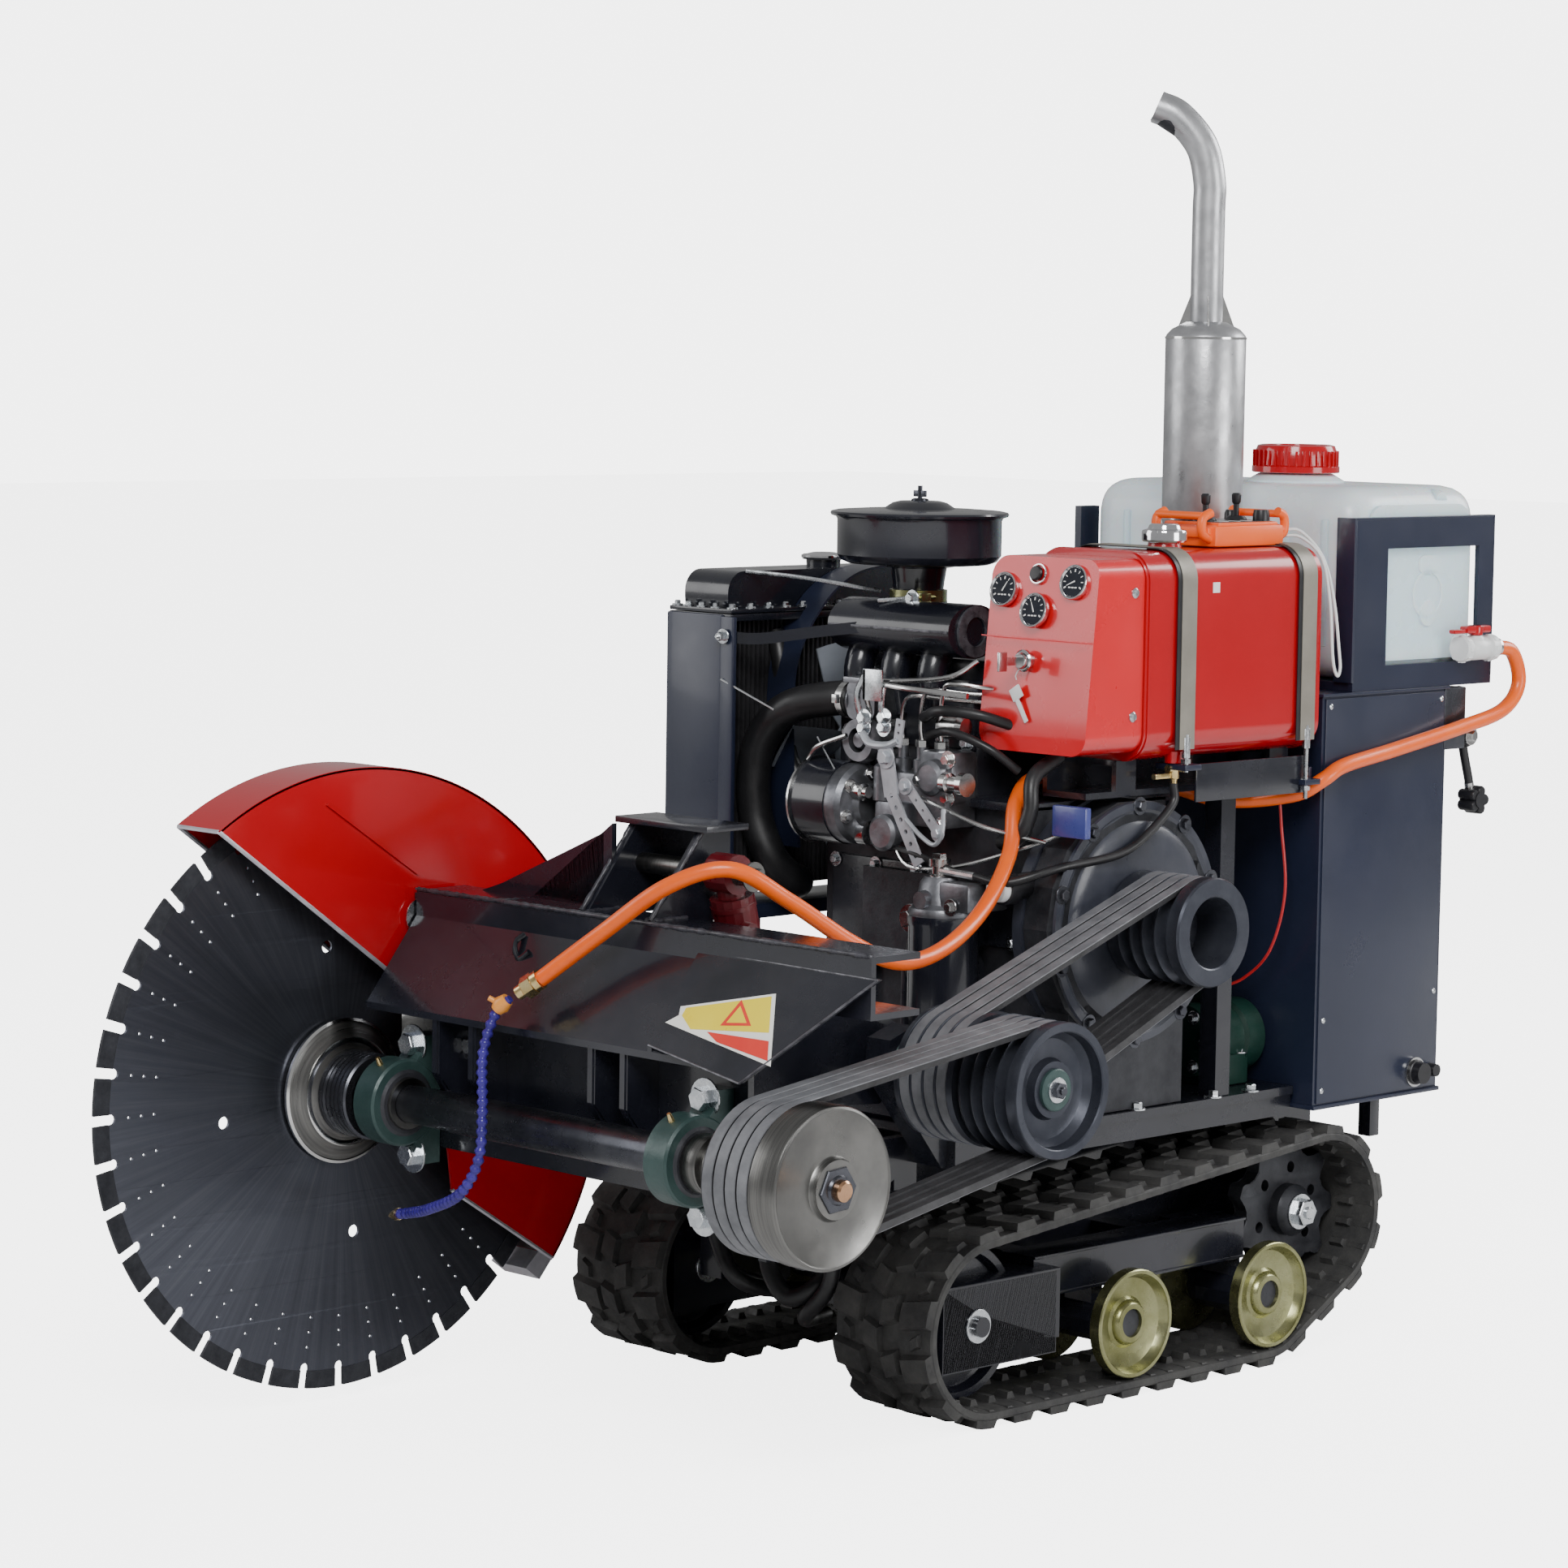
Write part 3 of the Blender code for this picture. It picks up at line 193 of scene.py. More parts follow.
TANK_WHITE = finish("tank_white", (0.74, 0.83, 0.88), (0.86, 0.92, 0.95), (0.22, 0.34), scale=4.0,
                    grain=0.05, grain_scale=60.0, subsurface=0.35)
WHITE_PLASTIC = finish("white_plastic", (0.72, 0.74, 0.74), (0.84, 0.85, 0.85), (0.28, 0.42), scale=20.0,
                       grain=0.05, grain_scale=200.0)
CHROME = finish("chrome", (0.7, 0.7, 0.72), (0.86, 0.86, 0.87), (0.06, 0.14), metallic=1.0, scale=20.0)
SILENCER = finish("silencer_silver", (0.36, 0.365, 0.38), (0.56, 0.565, 0.58), (0.26, 0.46),
                  metallic=0.75, scale=16.0, grain=0.18, grain_scale=150.0)
GALVANISED = finish("bare_cut_edge", (0.46, 0.45, 0.5), (0.66, 0.65, 0.7), (0.28, 0.44), metallic=0.6,
                    scale=30.0, grain=0.1, grain_scale=200.0)
DIAL = finish("dial_face", (0.006, 0.008, 0.014), (0.012, 0.015, 0.024), (0.42, 0.55), scale=30.0,
              specular=0.15)
PAINT_WHITE = finish("dial_marks", (0.78, 0.78, 0.76), (0.86, 0.86, 0.84), (0.4, 0.5), scale=30.0)
FIN = finish("radiator_fins", (0.02, 0.02, 0.022), (0.05, 0.05, 0.054), (0.4, 0.6), metallic=0.3,
             scale=24.0, grain=0.1, grain_scale=200.0)
WIRE_RED = finish("red_wire", (0.42, 0.01, 0.014), (0.52, 0.016, 0.02), (0.34, 0.46), scale=20.0)


# ---------------------------------------------------------------- mesh building
def place(point):
    return Vector(point) - ORIGIN


def on_axis(axis, along, across):
    others = list(across)
    others.insert("XYZ".index(axis), along)
    return others


def circle(centre, radius, segments, phase=0.0):
    return [
        (
            centre[0] + radius * math.cos(phase + 2 * math.pi * i / segments),
            centre[1] + radius * math.sin(phase + 2 * math.pi * i / segments),
        )
        for i in range(segments)
    ]


def rounded(low, high, radius, steps=5):
    corners = (
        (high[0] - radius, high[1] - radius, 0.0),
        (low[0] + radius, high[1] - radius, 0.5 * math.pi),
        (low[0] + radius, low[1] + radius, math.pi),
        (high[0] - radius, low[1] + radius, 1.5 * math.pi),
    )
    outline = []
    for y, z, start in corners:
        for k in range(steps + 1):
            angle = start + 0.5 * math.pi * k / steps
            outline.append((y + radius * math.cos(angle), z + radius * math.sin(angle)))
    return outline


def smooth_path(points, steps=6):
    """Points along a Catmull-Rom curve through the given ones."""
    knots = [Vector(p) for p in points]
    knots = [2 * knots[0] - knots[1]] + knots + [2 * knots[-1] - knots[-2]]
    out = []
    for a, b, c, d in zip(knots, knots[1:], knots[2:], knots[3:]):
        for k in range(steps):
            t = k / steps
            out.append(
                0.5 * (2 * b + (c - a) * t + (2 * a - 5 * b + 4 * c - d) * t * t
                       + (3 * b - a - 3 * c + d) * t ** 3)
            )
    out.append(knots[-2])
    return out


def skin(shape, rings, caps=True):
    """Faces from each ring of corners to the next. A ring of one corner makes a point."""
    count = max(len(ring) for ring in rings)
    for a, b in zip(rings, rings[1:]):
        for i in range(count):
            j = (i + 1) % count
            corners = (a[i % len(a)], a[j % len(a)], b[j % len(b)], b[i % len(b)])
            corners = tuple(dict.fromkeys(corners))
            if len(corners) > 2:
                shape.faces.new(corners)
    if caps:
        for ring in (rings[0], rings[-1]):
            if len(ring) > 1:
                shape.faces.new(ring)


def slab(shape, front, back):
    """Closes two matching outlines of corners into a plate."""
    shape.faces.new(front)
    shape.faces.new(back)
    for i in range(len(front)):
        j = (i + 1) % len(front)
        shape.faces.new((front[i], front[j], back[j], back[i]))


def corner_ring(shape, centre, side, up, radius, segments, spin=0.0):
    """A circle of corners about a centre, in the plane of side and up."""
    return [
        shape.verts.new(centre + radius * (math.cos(a) * side + math.sin(a) * up))
        for a in (2 * math.pi * (k + spin) / segments for k in range(segments))
    ]


def stacked(shape, base, normal, profile, segments):
    """Rings of (along, radius) stacked from a base along a normal. A radius of 0 is a point."""
    side = normal.orthogonal().normalized()
    up = normal.cross(side)
    rings = []
    for along, radius in profile:
        centre = base + normal * along
        if radius:
            rings.append(corner_ring(shape, centre, side, up, radius, segments))
        else:
            rings.append([shape.verts.new(centre)])
    skin(shape, rings)


class Piece:
    """A mesh gathered from shapes, which becomes one object on a CAD body."""

    def __init__(self, name, material, body, replaces=()):
        self.name = name
        self.material = material
        self.body = body
        self.stands_for = replaces
        self.work = bmesh.new()

    def add(self, shape, bevel=0.0, segments=2):
        if bevel:
            edges = [e for e in shape.edges if e.is_manifold and e.calc_face_angle(0.0) > 0.45]
            bmesh.ops.bevel(shape, geom=edges, offset=bevel, segments=segments, affect="EDGES",
                            profile=0.6, clamp_overlap=True)
        bmesh.ops.recalc_face_normals(shape, faces=shape.faces)
        made = bpy.data.meshes.new("shape")
        shape.to_mesh(made)
        shape.free()
        self.work.from_mesh(made)
        bpy.data.meshes.remove(made)
        return self

    def box(self, low, high, bevel=0.0015, turn=None):
        shape = bmesh.new()
        bmesh.ops.create_cube(shape, size=1.0)
        middle = (Vector(low) + Vector(high)) / 2
        for corner in shape.verts:
            share = corner.co + Vector((0.5, 0.5, 0.5))
            at = Vector([a + (b - a) * s for a, b, s in zip(low, high, share)])
            if turn:
                at = middle + turn @ (at - middle)
            corner.co = place(at)
        return self.add(shape, bevel)

    def prism(self, axis, outline, start, end, bevel=0.0015):
        shape = bmesh.new()
        rings = []
        for along in (start, end):
            rings.append([shape.verts.new(place(on_axis(axis, along, p))) for p in outline])
        slab(shape, *rings)
        return self.add(shape, bevel)

    def lathe(self, axis, centre, profile, segments=48, phase=0.0):
        """Rings of (along, radius) stacked on an axis. A radius of 0 ends in a point."""
        shape = bmesh.new()
        rings = []
        for along, radius in profile:
            if radius == 0.0:
                rings.append([shape.verts.new(place(on_axis(axis, along, centre)))])
            else:
                ring = circle(centre, radius, segments, phase)
                rings.append([shape.verts.new(place(on_axis(axis, along, p))) for p in ring])
        skin(shape, rings)
        return self.add(shape)

    def ring(self, axis, centre, profile, segments=48):
        """A closed profile of (along, radius), all off the axis, turned into a ring."""
        shape = bmesh.new()
        rings = []
        for along, radius in profile:
            ring = circle(centre, radius, segments)
            rings.append([shape.verts.new(place(on_axis(axis, along, p))) for p in ring])
        skin(shape, rings + rings[:1], caps=False)
        return self.add(shape)

    def tube(self, points, radius, segments=12, caps=True):
        """A round bar along points. radius may be a function of the point's number."""
        line = [place(p) for p in points]
        size = radius if callable(radius) else (lambda i: radius)
        shape = bmesh.new()
        headings = []
        for i in range(len(line)):
            before = line[max(i - 1, 0)]
            after = line[min(i + 1, len(line) - 1)]
            headings.append((after - before).normalized())
        side = headings[0].orthogonal().normalized()
        rings = []
        for i, (point, heading) in enumerate(zip(line, headings)):
            side = (side - heading * side.dot(heading)).normalized()
            up = heading.cross(side)
            rings.append(corner_ring(shape, point, side, up, size(i), segments))
        skin(shape, rings, caps)
        return self.add(shape)

    def strip(self, points, width_axis, width, thickness):
        """A flat band along points, width wide along an axis, thickness towards its left."""
        line = [place(p) for p in points]
        across = Vector([1.0 if a == width_axis else 0.0 for a in "XYZ"]) * width / 2
        shape = bmesh.new()
        rings = []
        for i, point in enumerate(line):
            before = line[max(i - 1, 0)]
            after = line[min(i + 1, len(line) - 1)]
            lift = across.cross(after - before).normalized() * thickness
            rings.append([shape.verts.new(point + a) for a in
                          (-across, across, across + lift, -across + lift)])
        skin(shape, rings)
        return self.add(shape)

    def sheet(self, corners, thickness, push, bevel=0.001):
        """A flat or folded sheet over corners in order, thickened along push."""
        shift = Vector(push) * thickness
        shape = bmesh.new()
        front = [shape.verts.new(place(c)) for c in corners]
        back = [shape.verts.new(place(Vector(c) + shift)) for c in corners]
        slab(shape, front, back)
        return self.add(shape, bevel)

    def bolt(self, at, normal, across=0.018, height=0.009, washer=True, stud=0.0):
        """A hex head on a washer, standing on a point along a normal."""
        normal = Vector(normal).normalized()
        base = place(at)
        level = 0.0
        spin = random.random()
        for kind in (("washer",) if washer else ()) + ("head",):
            radius = across * (0.98 if kind == "washer" else 0.577)
            tall = 0.0022 if kind == "washer" else height
            count = 20 if kind == "washer" else 6
            self.disc(base + normal * level, normal, radius, tall, count, spin)
            level += tall
        if stud:
            self.disc(base + normal * level, normal, across * 0.26, stud, 12, 0.0)
        return self

    def disc(self, base, normal, radius, tall, count, spin):
        """A chamfered disc of count sides standing on a base point of the row frame."""
        side = normal.orthogonal().normalized()
        up = normal.cross(side)
        shape = bmesh.new()
        chamfer = min(0.0012, tall * 0.25)
        levels = ((0.0, radius), (tall - chamfer, radius), (tall, radius - chamfer))
        skin(shape, [
            corner_ring(shape, base + normal * lift, side, up, wide, count, spin)
            for lift, wide in levels
        ])
        self.add(shape)

    def done(self, sharp=32.0):
        made = bpy.data.meshes.new(self.name)
        self.work.to_mesh(made)
        self.work.free()
        made.polygons.foreach_set("use_smooth", [True] * len(made.polygons))
        made.set_sharp_from_angle(angle=math.radians(sharp))
        made.materials.append(self.material)
        obj = bpy.data.objects.new(self.name, made)
        bpy.context.scene.collection.objects.link(obj)
        if self.body:
            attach(obj, self.body)
        if self.stands_for:
            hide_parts(*self.stands_for)
        return obj


def weld(piece, points, radius=0.0045, step=0.006):
    """A rippled bead along a line of points."""
    knots = [Vector(p) for p in points]
    line = []
    for a, b in zip(knots, knots[1:]):
        count = max(2, int((b - a).length / step))
        for k in range(count):
            line.append(a.lerp(b, k / count))
    line.append(knots[-1])
    sizes = [radius * (0.75 + 0.5 * random.random()) for _ in line]
    piece.tube(line, lambda i: sizes[i], segments=7)


def plate(piece, axis, outline, holes, start, end, bevel=0.0):
    """A flat plate with holes, from a filled curve: outline and holes are lists of 2D points."""
    curve = bpy.data.curves.new("plate", "CURVE")
    curve.dimensions = "2D"
    curve.fill_mode = "BOTH"
    curve.extrude = abs(end - start) / 2
    for ring in [outline] + list(holes):
        spline = curve.splines.new("POLY")
        spline.points.add(len(ring) - 1)
        for point, (u, v) in zip(spline.points, ring):
            point.co = (u, v, 0.0, 1.0)
        spline.use_cyclic_u = True
    holder = bpy.data.objects.new("plate", curve)
    flat = bpy.data.meshes.new_from_object(holder)
    shape = bmesh.new()
    shape.from_mesh(flat)
    bpy.data.objects.remove(holder)
    bpy.data.curves.remove(curve)
    bpy.data.meshes.remove(flat)
    bmesh.ops.remove_doubles(shape, verts=shape.verts, dist=1e-6)
    middle = (start + end) / 2
    for corner in shape.verts:
        corner.co = place(on_axis(axis, middle + corner.co.z, (corner.co.x, corner.co.y)))
    return piece.add(shape, bevel)


def polar(radius, degrees, centre=AXLE):
    angle = math.radians(degrees)
    return (centre[0] + radius * math.cos(angle), centre[1] + radius * math.sin(angle))


# ---------------------------------------------------------------- blade
BLADE_RADIUS = 0.4
BLADE_SEGMENTS = 40
SEGMENT_INNER = 0.376
SLOT_BOTTOM = 0.366
SLOT_HALF_WIDTH = 0.007
BLADE_PIN_RADIUS = 0.195
BLADE_PIN_ANGLES = (7, 97, 187, 277)


def brushed_blade():
    """Dark steel ground in circles, with streaks running out from the middle."""
    made, nodes, links, shader = new_material("blade_steel")
    where = nodes.new("ShaderNodeTexCoord")
    axle = place((0.0, *AXLE))
    centred = nodes.new("ShaderNodeVectorMath")
    centred.operation = "SUBTRACT"
    centred.inputs[1].default_value = axle
    links.new(where.outputs["Object"], centred.inputs[0])
    parts = nodes.new("ShaderNodeSeparateXYZ")
    links.new(centred.outputs["Vector"], parts.inputs["Vector"])
    angle = nodes.new("ShaderNodeMath")
    angle.operation = "ARCTAN2"
    links.new(parts.outputs["Z"], angle.inputs[0])
    links.new(parts.outputs["Y"], angle.inputs[1])
    length = nodes.new("ShaderNodeVectorMath")
    length.operation = "LENGTH"
    links.new(centred.outputs["Vector"], length.inputs[0])
    rolled = nodes.new("ShaderNodeCombineXYZ")
    links.new(angle.outputs["Value"], rolled.inputs["X"])
    links.new(length.outputs["Value"], rolled.inputs["Y"])
    layers = []
    for name, stretch in (("streaks", (34.0, 2.5, 1.0)), ("rings", (1.2, 190.0, 1.0))):
        mapping = nodes.new("ShaderNodeMapping")
        mapping.inputs["Scale"].default_value = stretch
        links.new(rolled.outputs["Vector"], mapping.inputs["Vector"])
        texture = nodes.new("ShaderNodeTexNoise")
        texture.label = name
        texture.inputs["Scale"].default_value = 1.0
        texture.inputs["Detail"].default_value = 6.0
        texture.inputs["Roughness"].default_value = 0.7
        links.new(mapping.outputs["Vector"], texture.inputs["Vector"])
        layers.append(texture)
    colours = ramp(nodes, links, layers[0].outputs["Fac"], [(0.25, (0.07, 0.074, 0.092)),
                                                            (0.52, (0.088, 0.093, 0.114)),
                                                            (0.78, (0.118, 0.124, 0.148))])
    links.new(colours.outputs["Color"], shader.inputs["Base Color"])
    shine = ramp(nodes, links, layers[0].outputs["Fac"], [(0.25, 0.3), (0.75, 0.36)])
    links.new(shine.outputs["Color"], shader.inputs["Roughness"])
    shader.inputs["Metallic"].default_value = 0.9
    shader.inputs["Anisotropic"].default_value = 0.65
    around = nodes.new("ShaderNodeVectorMath")
    around.operation = "CROSS_PRODUCT"
    around.inputs[1].default_value = (1.0, 0.0, 0.0)
    links.new(centred.outputs["Vector"], around.inputs[0])
    links.new(around.outputs["Vector"], shader.inputs["Tangent"])
    bump(nodes, links, shader, layers[1].outputs["Fac"], 0.1)
    return made


BLADE_STEEL = brushed_blade()
SEGMENT = finish("blade_segments", (0.012, 0.013, 0.018), (0.034, 0.036, 0.044), (0.42, 0.66),
                 metallic=0.4, scale=50.0, grain=0.35, grain_scale=260.0)

core = []
segment_step = 360.0 / BLADE_SEGMENTS
for i in range(BLADE_SEGMENTS):
    middle = i * segment_step
    half_gap = math.degrees(SLOT_HALF_WIDTH / BLADE_RADIUS)
    for k in range(5):
        share = k / 4
        core.append(polar(BLADE_RADIUS - 0.0004,
                          middle + half_gap + share * (segment_step - 2 * half_gap)))
    slot = middle + segment_step
    side = math.degrees(SLOT_HALF_WIDTH / SLOT_BOTTOM)
    slot_middle = SLOT_BOTTOM + SLOT_HALF_WIDTH
    for k in range(7):
        turn = math.pi * k / 6
        reach = slot_middle - SLOT_HALF_WIDTH * math.sin(turn)
        core.append(polar(reach, slot - side * math.cos(turn)))
dots = [
    circle(polar(radius, i * segment_step), 0.0024, 8)
    for i in range(BLADE_SEGMENTS)
    for radius in (0.305, 0.325, 0.345)
]
pin_holes = [circle(polar(BLADE_PIN_RADIUS, angle), 0.0085, 24) for angle in BLADE_PIN_ANGLES]
blade = Piece("blade_core", BLADE_STEEL, "axle", ("blade",))
plate(blade, "X", core, dots + pin_holes + [circle(AXLE, 0.026, 32)], -0.0018, 0.0018, 0.0003)
blade.done()

segments = Piece("blade_diamond_segments", SEGMENT, "axle")
for i in range(BLADE_SEGMENTS):
    start = i * segment_step + math.degrees(SLOT_HALF_WIDTH / BLADE_RADIUS)
    end = (i + 1) * segment_step - math.degrees(SLOT_HALF_WIDTH / BLADE_RADIUS)
    shape = [polar(BLADE_RADIUS, start + (end - start) * k / 6) for k in range(7)]
    shape += [polar(SEGMENT_INNER, end - (end - start) * k / 6) for k in range(7)]
    segments.prism("X", shape, -0.0024, 0.0024, 0.0005)
segments.done()

# ---------------------------------------------------------------- blade clamp and axle
flange = Piece("blade_clamp", TURNED, "axle")
flange.lathe("X", AXLE, [
    (0.002, 0.09), (0.003, 0.0955), (0.0085, 0.0955), (0.0105, 0.093), (0.012, 0.0905),
    (0.015, 0.086), (0.0215, 0.066), (0.026, 0.058), (0.027, 0.053),
], 96)
flange.done()
POLISHED_RIM = finish("polished_rim", (0.62, 0.62, 0.62), (0.78, 0.78, 0.76), (0.1, 0.2), metallic=1.0,
                      scale=14.0)
rim = Piece("blade_clamp_rim", POLISHED_RIM, "axle")
rim.ring("X", AXLE, [(0.006, 0.0945), (0.006, 0.0972), (0.01, 0.0972), (0.0118, 0.0935)], 96)
rim.ring("X", AXLE, [(0.018, 0.07), (0.0225, 0.073), (0.0235, 0.069), (0.0225, 0.0655)], 96)
rim.done()
hub = Piece("blade_hub", BLUED, "axle")
hub_profile = [(0.024, 0.052), (0.024, 0.057)]
for i in range(6):
    at = 0.027 + 0.0082 * i
    hub_profile += [(at, 0.0572), (at + 0.0055, 0.0572), (at + 0.0062, 0.0552), (at + 0.0075, 0.0552)]
hub_profile += [(0.0775, 0.057), (0.08, 0.0545), (0.08, 0.044), (0.056, 0.042), (0.056, 0.02)]
hub.lathe("X", AXLE, hub_profile, 80)
hub.done()

shaft = Piece("axle_bar", BLUED, "axle", ("axle_shaft",))
shaft.lathe("X", AXLE, [
    (0.03, 0.0), (0.03, 0.0225), (0.088, 0.0225), (0.09, 0.025), (0.238, 0.025), (0.24, 0.0262),
    (0.779, 0.0262), (0.781, 0.0245), (0.79, 0.024), (0.792, 0.0185), (0.94, 0.0185),
    (0.943, 0.0165), (0.943, 0.0),
], 48)
shaft.done()
BRONZE = finish("bronze_tip", (0.42, 0.22, 0.12), (0.6, 0.38, 0.24), (0.16, 0.3), metallic=1.0,
                scale=30.0)
tip = Piece("axle_end", BRONZE, "axle")
tip.lathe("X", AXLE, [(0.94, 0.0), (0.94, 0.014), (0.95, 0.013), (0.9525, 0.01), (0.9525, 0.0)], 32)
tip.done()
nut = Piece("axle_nut", BLUED, "axle")
nut.bolt((0.9315, *AXLE), (1, 0, 0), across=0.052, height=0.0085, washer=False)
nut.done()
back_clamp = Piece("blade_clamp_outer", TURNED, "axle", ("blade_flange",))
back_clamp.lathe("X", AXLE, [
    (-0.002, 0.09), (-0.003, 0.0955), (-0.011, 0.0955), (-0.015, 0.088), (-0.017, 0.045),
    (-0.021, 0.04), (-0.03, 0.038), (-0.0345, 0.03), (-0.046, 0.0185), (-0.046, 0.0),
], 64)
for i in range(6):
    at = polar(0.066, 60 * i)
    back_clamp.bolt((-0.0155, *at), (-1, 0, 0), across=0.014, height=0.006)
back_clamp.done()


# ---------------------------------------------------------------- axle pulley
pulley = Piece("axle_pulley_rim", TURNED, "axle", ("axle_pulley",))
pulley.lathe("X", AXLE, [
    (0.886, 0.06), (0.886, 0.0985), (0.8875, 0.1), (0.9265, 0.1), (0.929, 0.0985),
    (0.9305, 0.0955), (0.929, 0.093), (0.9285, 0.04), (0.9315, 0.0375), (0.937, 0.036),
    (0.937, 0.018),
], 128)
pulley.done()
grooves = Piece("axle_pulley_grooves", PULLEY_IRON, "axle")
BELT_COUNT = 4
AXLE_BELTS = (0.8045, 0.8845)


def groove_profile(low, high, count, seat, depth, lead_in):
    """A multi-groove rim: lead_in wide lands at the ends, V grooves down to seat - depth."""
    pitch = (high - low) / count
    profile = [(low - lead_in, 0.03), (low - lead_in, seat - 0.0015)]
    for i in range(count):
        at = low + pitch * i
        profile += [(at + 0.0008, seat), (at + pitch * 0.28, seat - depth),
                    (at + pitch * 0.72, seat - depth), (at + pitch - 0.0008, seat)]
    profile += [(high + lead_in, seat - 0.0015), (high + lead_in, 0.03)]
    return profile


grooves.lathe("X", AXLE, groove_profile(*AXLE_BELTS, BELT_COUNT, 0.0945, 0.012, 0.0045), 96)
grooves.done()
inner_washer = Piece("axle_pulley_hub", TURNED, "axle")
inner_washer.lathe("X", AXLE, [
    (0.7, 0.0265), (0.7, 0.036), (0.704, 0.0375), (0.724, 0.0375), (0.728, 0.036),
    (0.728, 0.03), (0.79, 0.03), (0.79, 0.056), (0.7945, 0.06), (0.8, 0.06),
], 48)
inner_washer.done()

# ---------------------------------------------------------------- blade guard
GUARD_RADIUS = 0.435
GUARD_HALF_WIDTH = 0.045
GUARD_FRONT = (AXLE[0] + 0.124, AXLE[1] + 0.104)
GUARD_LOWER = (AXLE[0] + 0.159, AXLE[1] - 0.148)
GUARD_START, GUARD_SWEEP = -37.9, 160.7


def guard_line(radius, steps, start=GUARD_START, sweep=GUARD_SWEEP):
    return [polar(radius, start + sweep * i / steps) for i in range(steps + 1)]


guard_arc = guard_line(GUARD_RADIUS - 0.0022, 90)
guard = Piece("guard_sides", RED, "arm", ("blade_guard",))
for low, high in ((-0.045, -0.0415), (0.0415, 0.045)):
    guard.prism("X", [GUARD_FRONT, GUARD_LOWER] + guard_arc, low, high, 0.0008)
guard.done()
band = Piece("guard_band", RED, "arm")
rim_points = [(0.0, *p) for p in guard_line(GUARD_RADIUS - 0.0012, 120)]
band.strip(rim_points, "X", 2 * GUARD_HALF_WIDTH, 0.0036)
band.done()
ribs = Piece("guard_ribs", RED, "arm")
ribs.strip([(0.0462, *polar(0.392, 99)), (0.0462, *polar(0.3, 72))], "X", 0.004, 0.0035)
ribs.done()
edge = Piece("guard_cut_edge", GALVANISED, "arm")
front_top = polar(GUARD_RADIUS - 0.003, GUARD_START + GUARD_SWEEP)
lower_end = polar(GUARD_RADIUS - 0.003, GUARD_START)
for x in (-0.0432, 0.0432):
    line = [(x, *front_top), (x, *GUARD_FRONT), (x, *GUARD_LOWER), (x, *lower_end)]
    for a, b in zip(line, line[1:]):
        if b[1:] == GUARD_LOWER:
            continue
        edge.tube([a, b], 0.0031, 6)
edge.tube([(-0.043, *front_top), (0.043, *front_top)], 0.003, 6)
edge.tube([(-0.043, *lower_end), (0.043, *lower_end)], 0.003, 6)
tab = [polar(0.405, -38.6), polar(0.4335, -37.2), polar(0.433, -42.5), polar(0.402, -43.0)]
edge.prism("X", tab, -0.03, 0.043, 0.001)
edge.done()
LINING = finish("guard_lining", (0.16, 0.15, 0.16), (0.34, 0.33, 0.35), (0.4, 0.6), metallic=0.5,
                scale=20.0, grain=0.25, grain_scale=120.0)
lining = Piece("guard_lining", LINING, "arm")
inner_points = [(0.0, *p) for p in guard_line(GUARD_RADIUS - 0.0052, 90, -37.2, 159.6)]
lining.strip(inner_points, "X", 2 * GUARD_HALF_WIDTH - 0.009, -0.0012)
lining.done()

# ---------------------------------------------------------------- spray hose and nozzle
def resample(points, spacing):
    """Points an even distance apart along a line of points."""
    knots = [Vector(p) for p in points]
    out = [knots[0].copy()]
    spare = spacing
    for a, b in zip(knots, knots[1:]):
        length = (b - a).length
        at = spare
        while at <= length:
            out.append(a.lerp(b, at / length))
            at += spacing
        spare = at - length
    return out


NOZZLE = [
    (0.384, -0.008, 0.589), (0.362, -0.016, 0.575), (0.342, -0.024, 0.552), (0.338, -0.04, 0.502),
    (0.352, -0.052, 0.433), (0.352, -0.058, 0.371), (0.316, -0.058, 0.322), (0.224, -0.03, 0.286),
    (0.15, 0.0, 0.266), (0.118, 0.005, 0.259),
]
LINK = 0.0125
steps_per_link = 6
nozzle_line = resample(smooth_path(NOZZLE[1:], 12), LINK / steps_per_link)
LINK_RADII = (0.005, 0.0048, 0.0064, 0.0074, 0.0074, 0.0062)
nozzle = Piece("spray_hose_links", PURPLE, "arm", ("spray_nozzle",))
nozzle.tube(nozzle_line, lambda i: LINK_RADII[i % steps_per_link], 14)
nozzle.done(50.0)
fitting = Piece("spray_hose_fitting", BRASS, "arm")
hose_end, fitting_end = Vector((0.402, 0.0, 0.603)), Vector((0.372, -0.0135, 0.5815))
ahead = (fitting_end - hose_end).normalized()
fitting.disc(place(hose_end), ahead, 0.0135, 0.01, 24, 0.0)
fitting.disc(place(hose_end + ahead * 0.01), ahead, 0.015, 0.016, 6, 0.2)
fitting.disc(place(hose_end + ahead * 0.026), ahead, 0.0095, 0.012, 24, 0.0)
tip_line = [(0.12, 0.0045, 0.2595), (0.112, 0.006, 0.2572), (0.098, 0.0075, 0.254)]
fitting.tube(tip_line, lambda i: (0.0082, 0.0078, 0.003)[i], 16)
fitting.done()
ORANGE_PLASTIC = finish("orange_plastic", (0.8, 0.28, 0.04), (0.88, 0.36, 0.07), (0.26, 0.36),
                        scale=30.0)
small_valve = Piece("spray_hose_valve", ORANGE_PLASTIC, "arm")
small_valve.tube([(0.358, -0.0165, 0.5735), (0.35, -0.02, 0.566), (0.344, -0.0225, 0.559)],
                 lambda i: (0.0085, 0.012, 0.0085)[i], 16)
small_valve.tube([(0.35, -0.02, 0.566), (0.336, -0.029, 0.574)], 0.0038, 8)
small_valve.done(60.0)

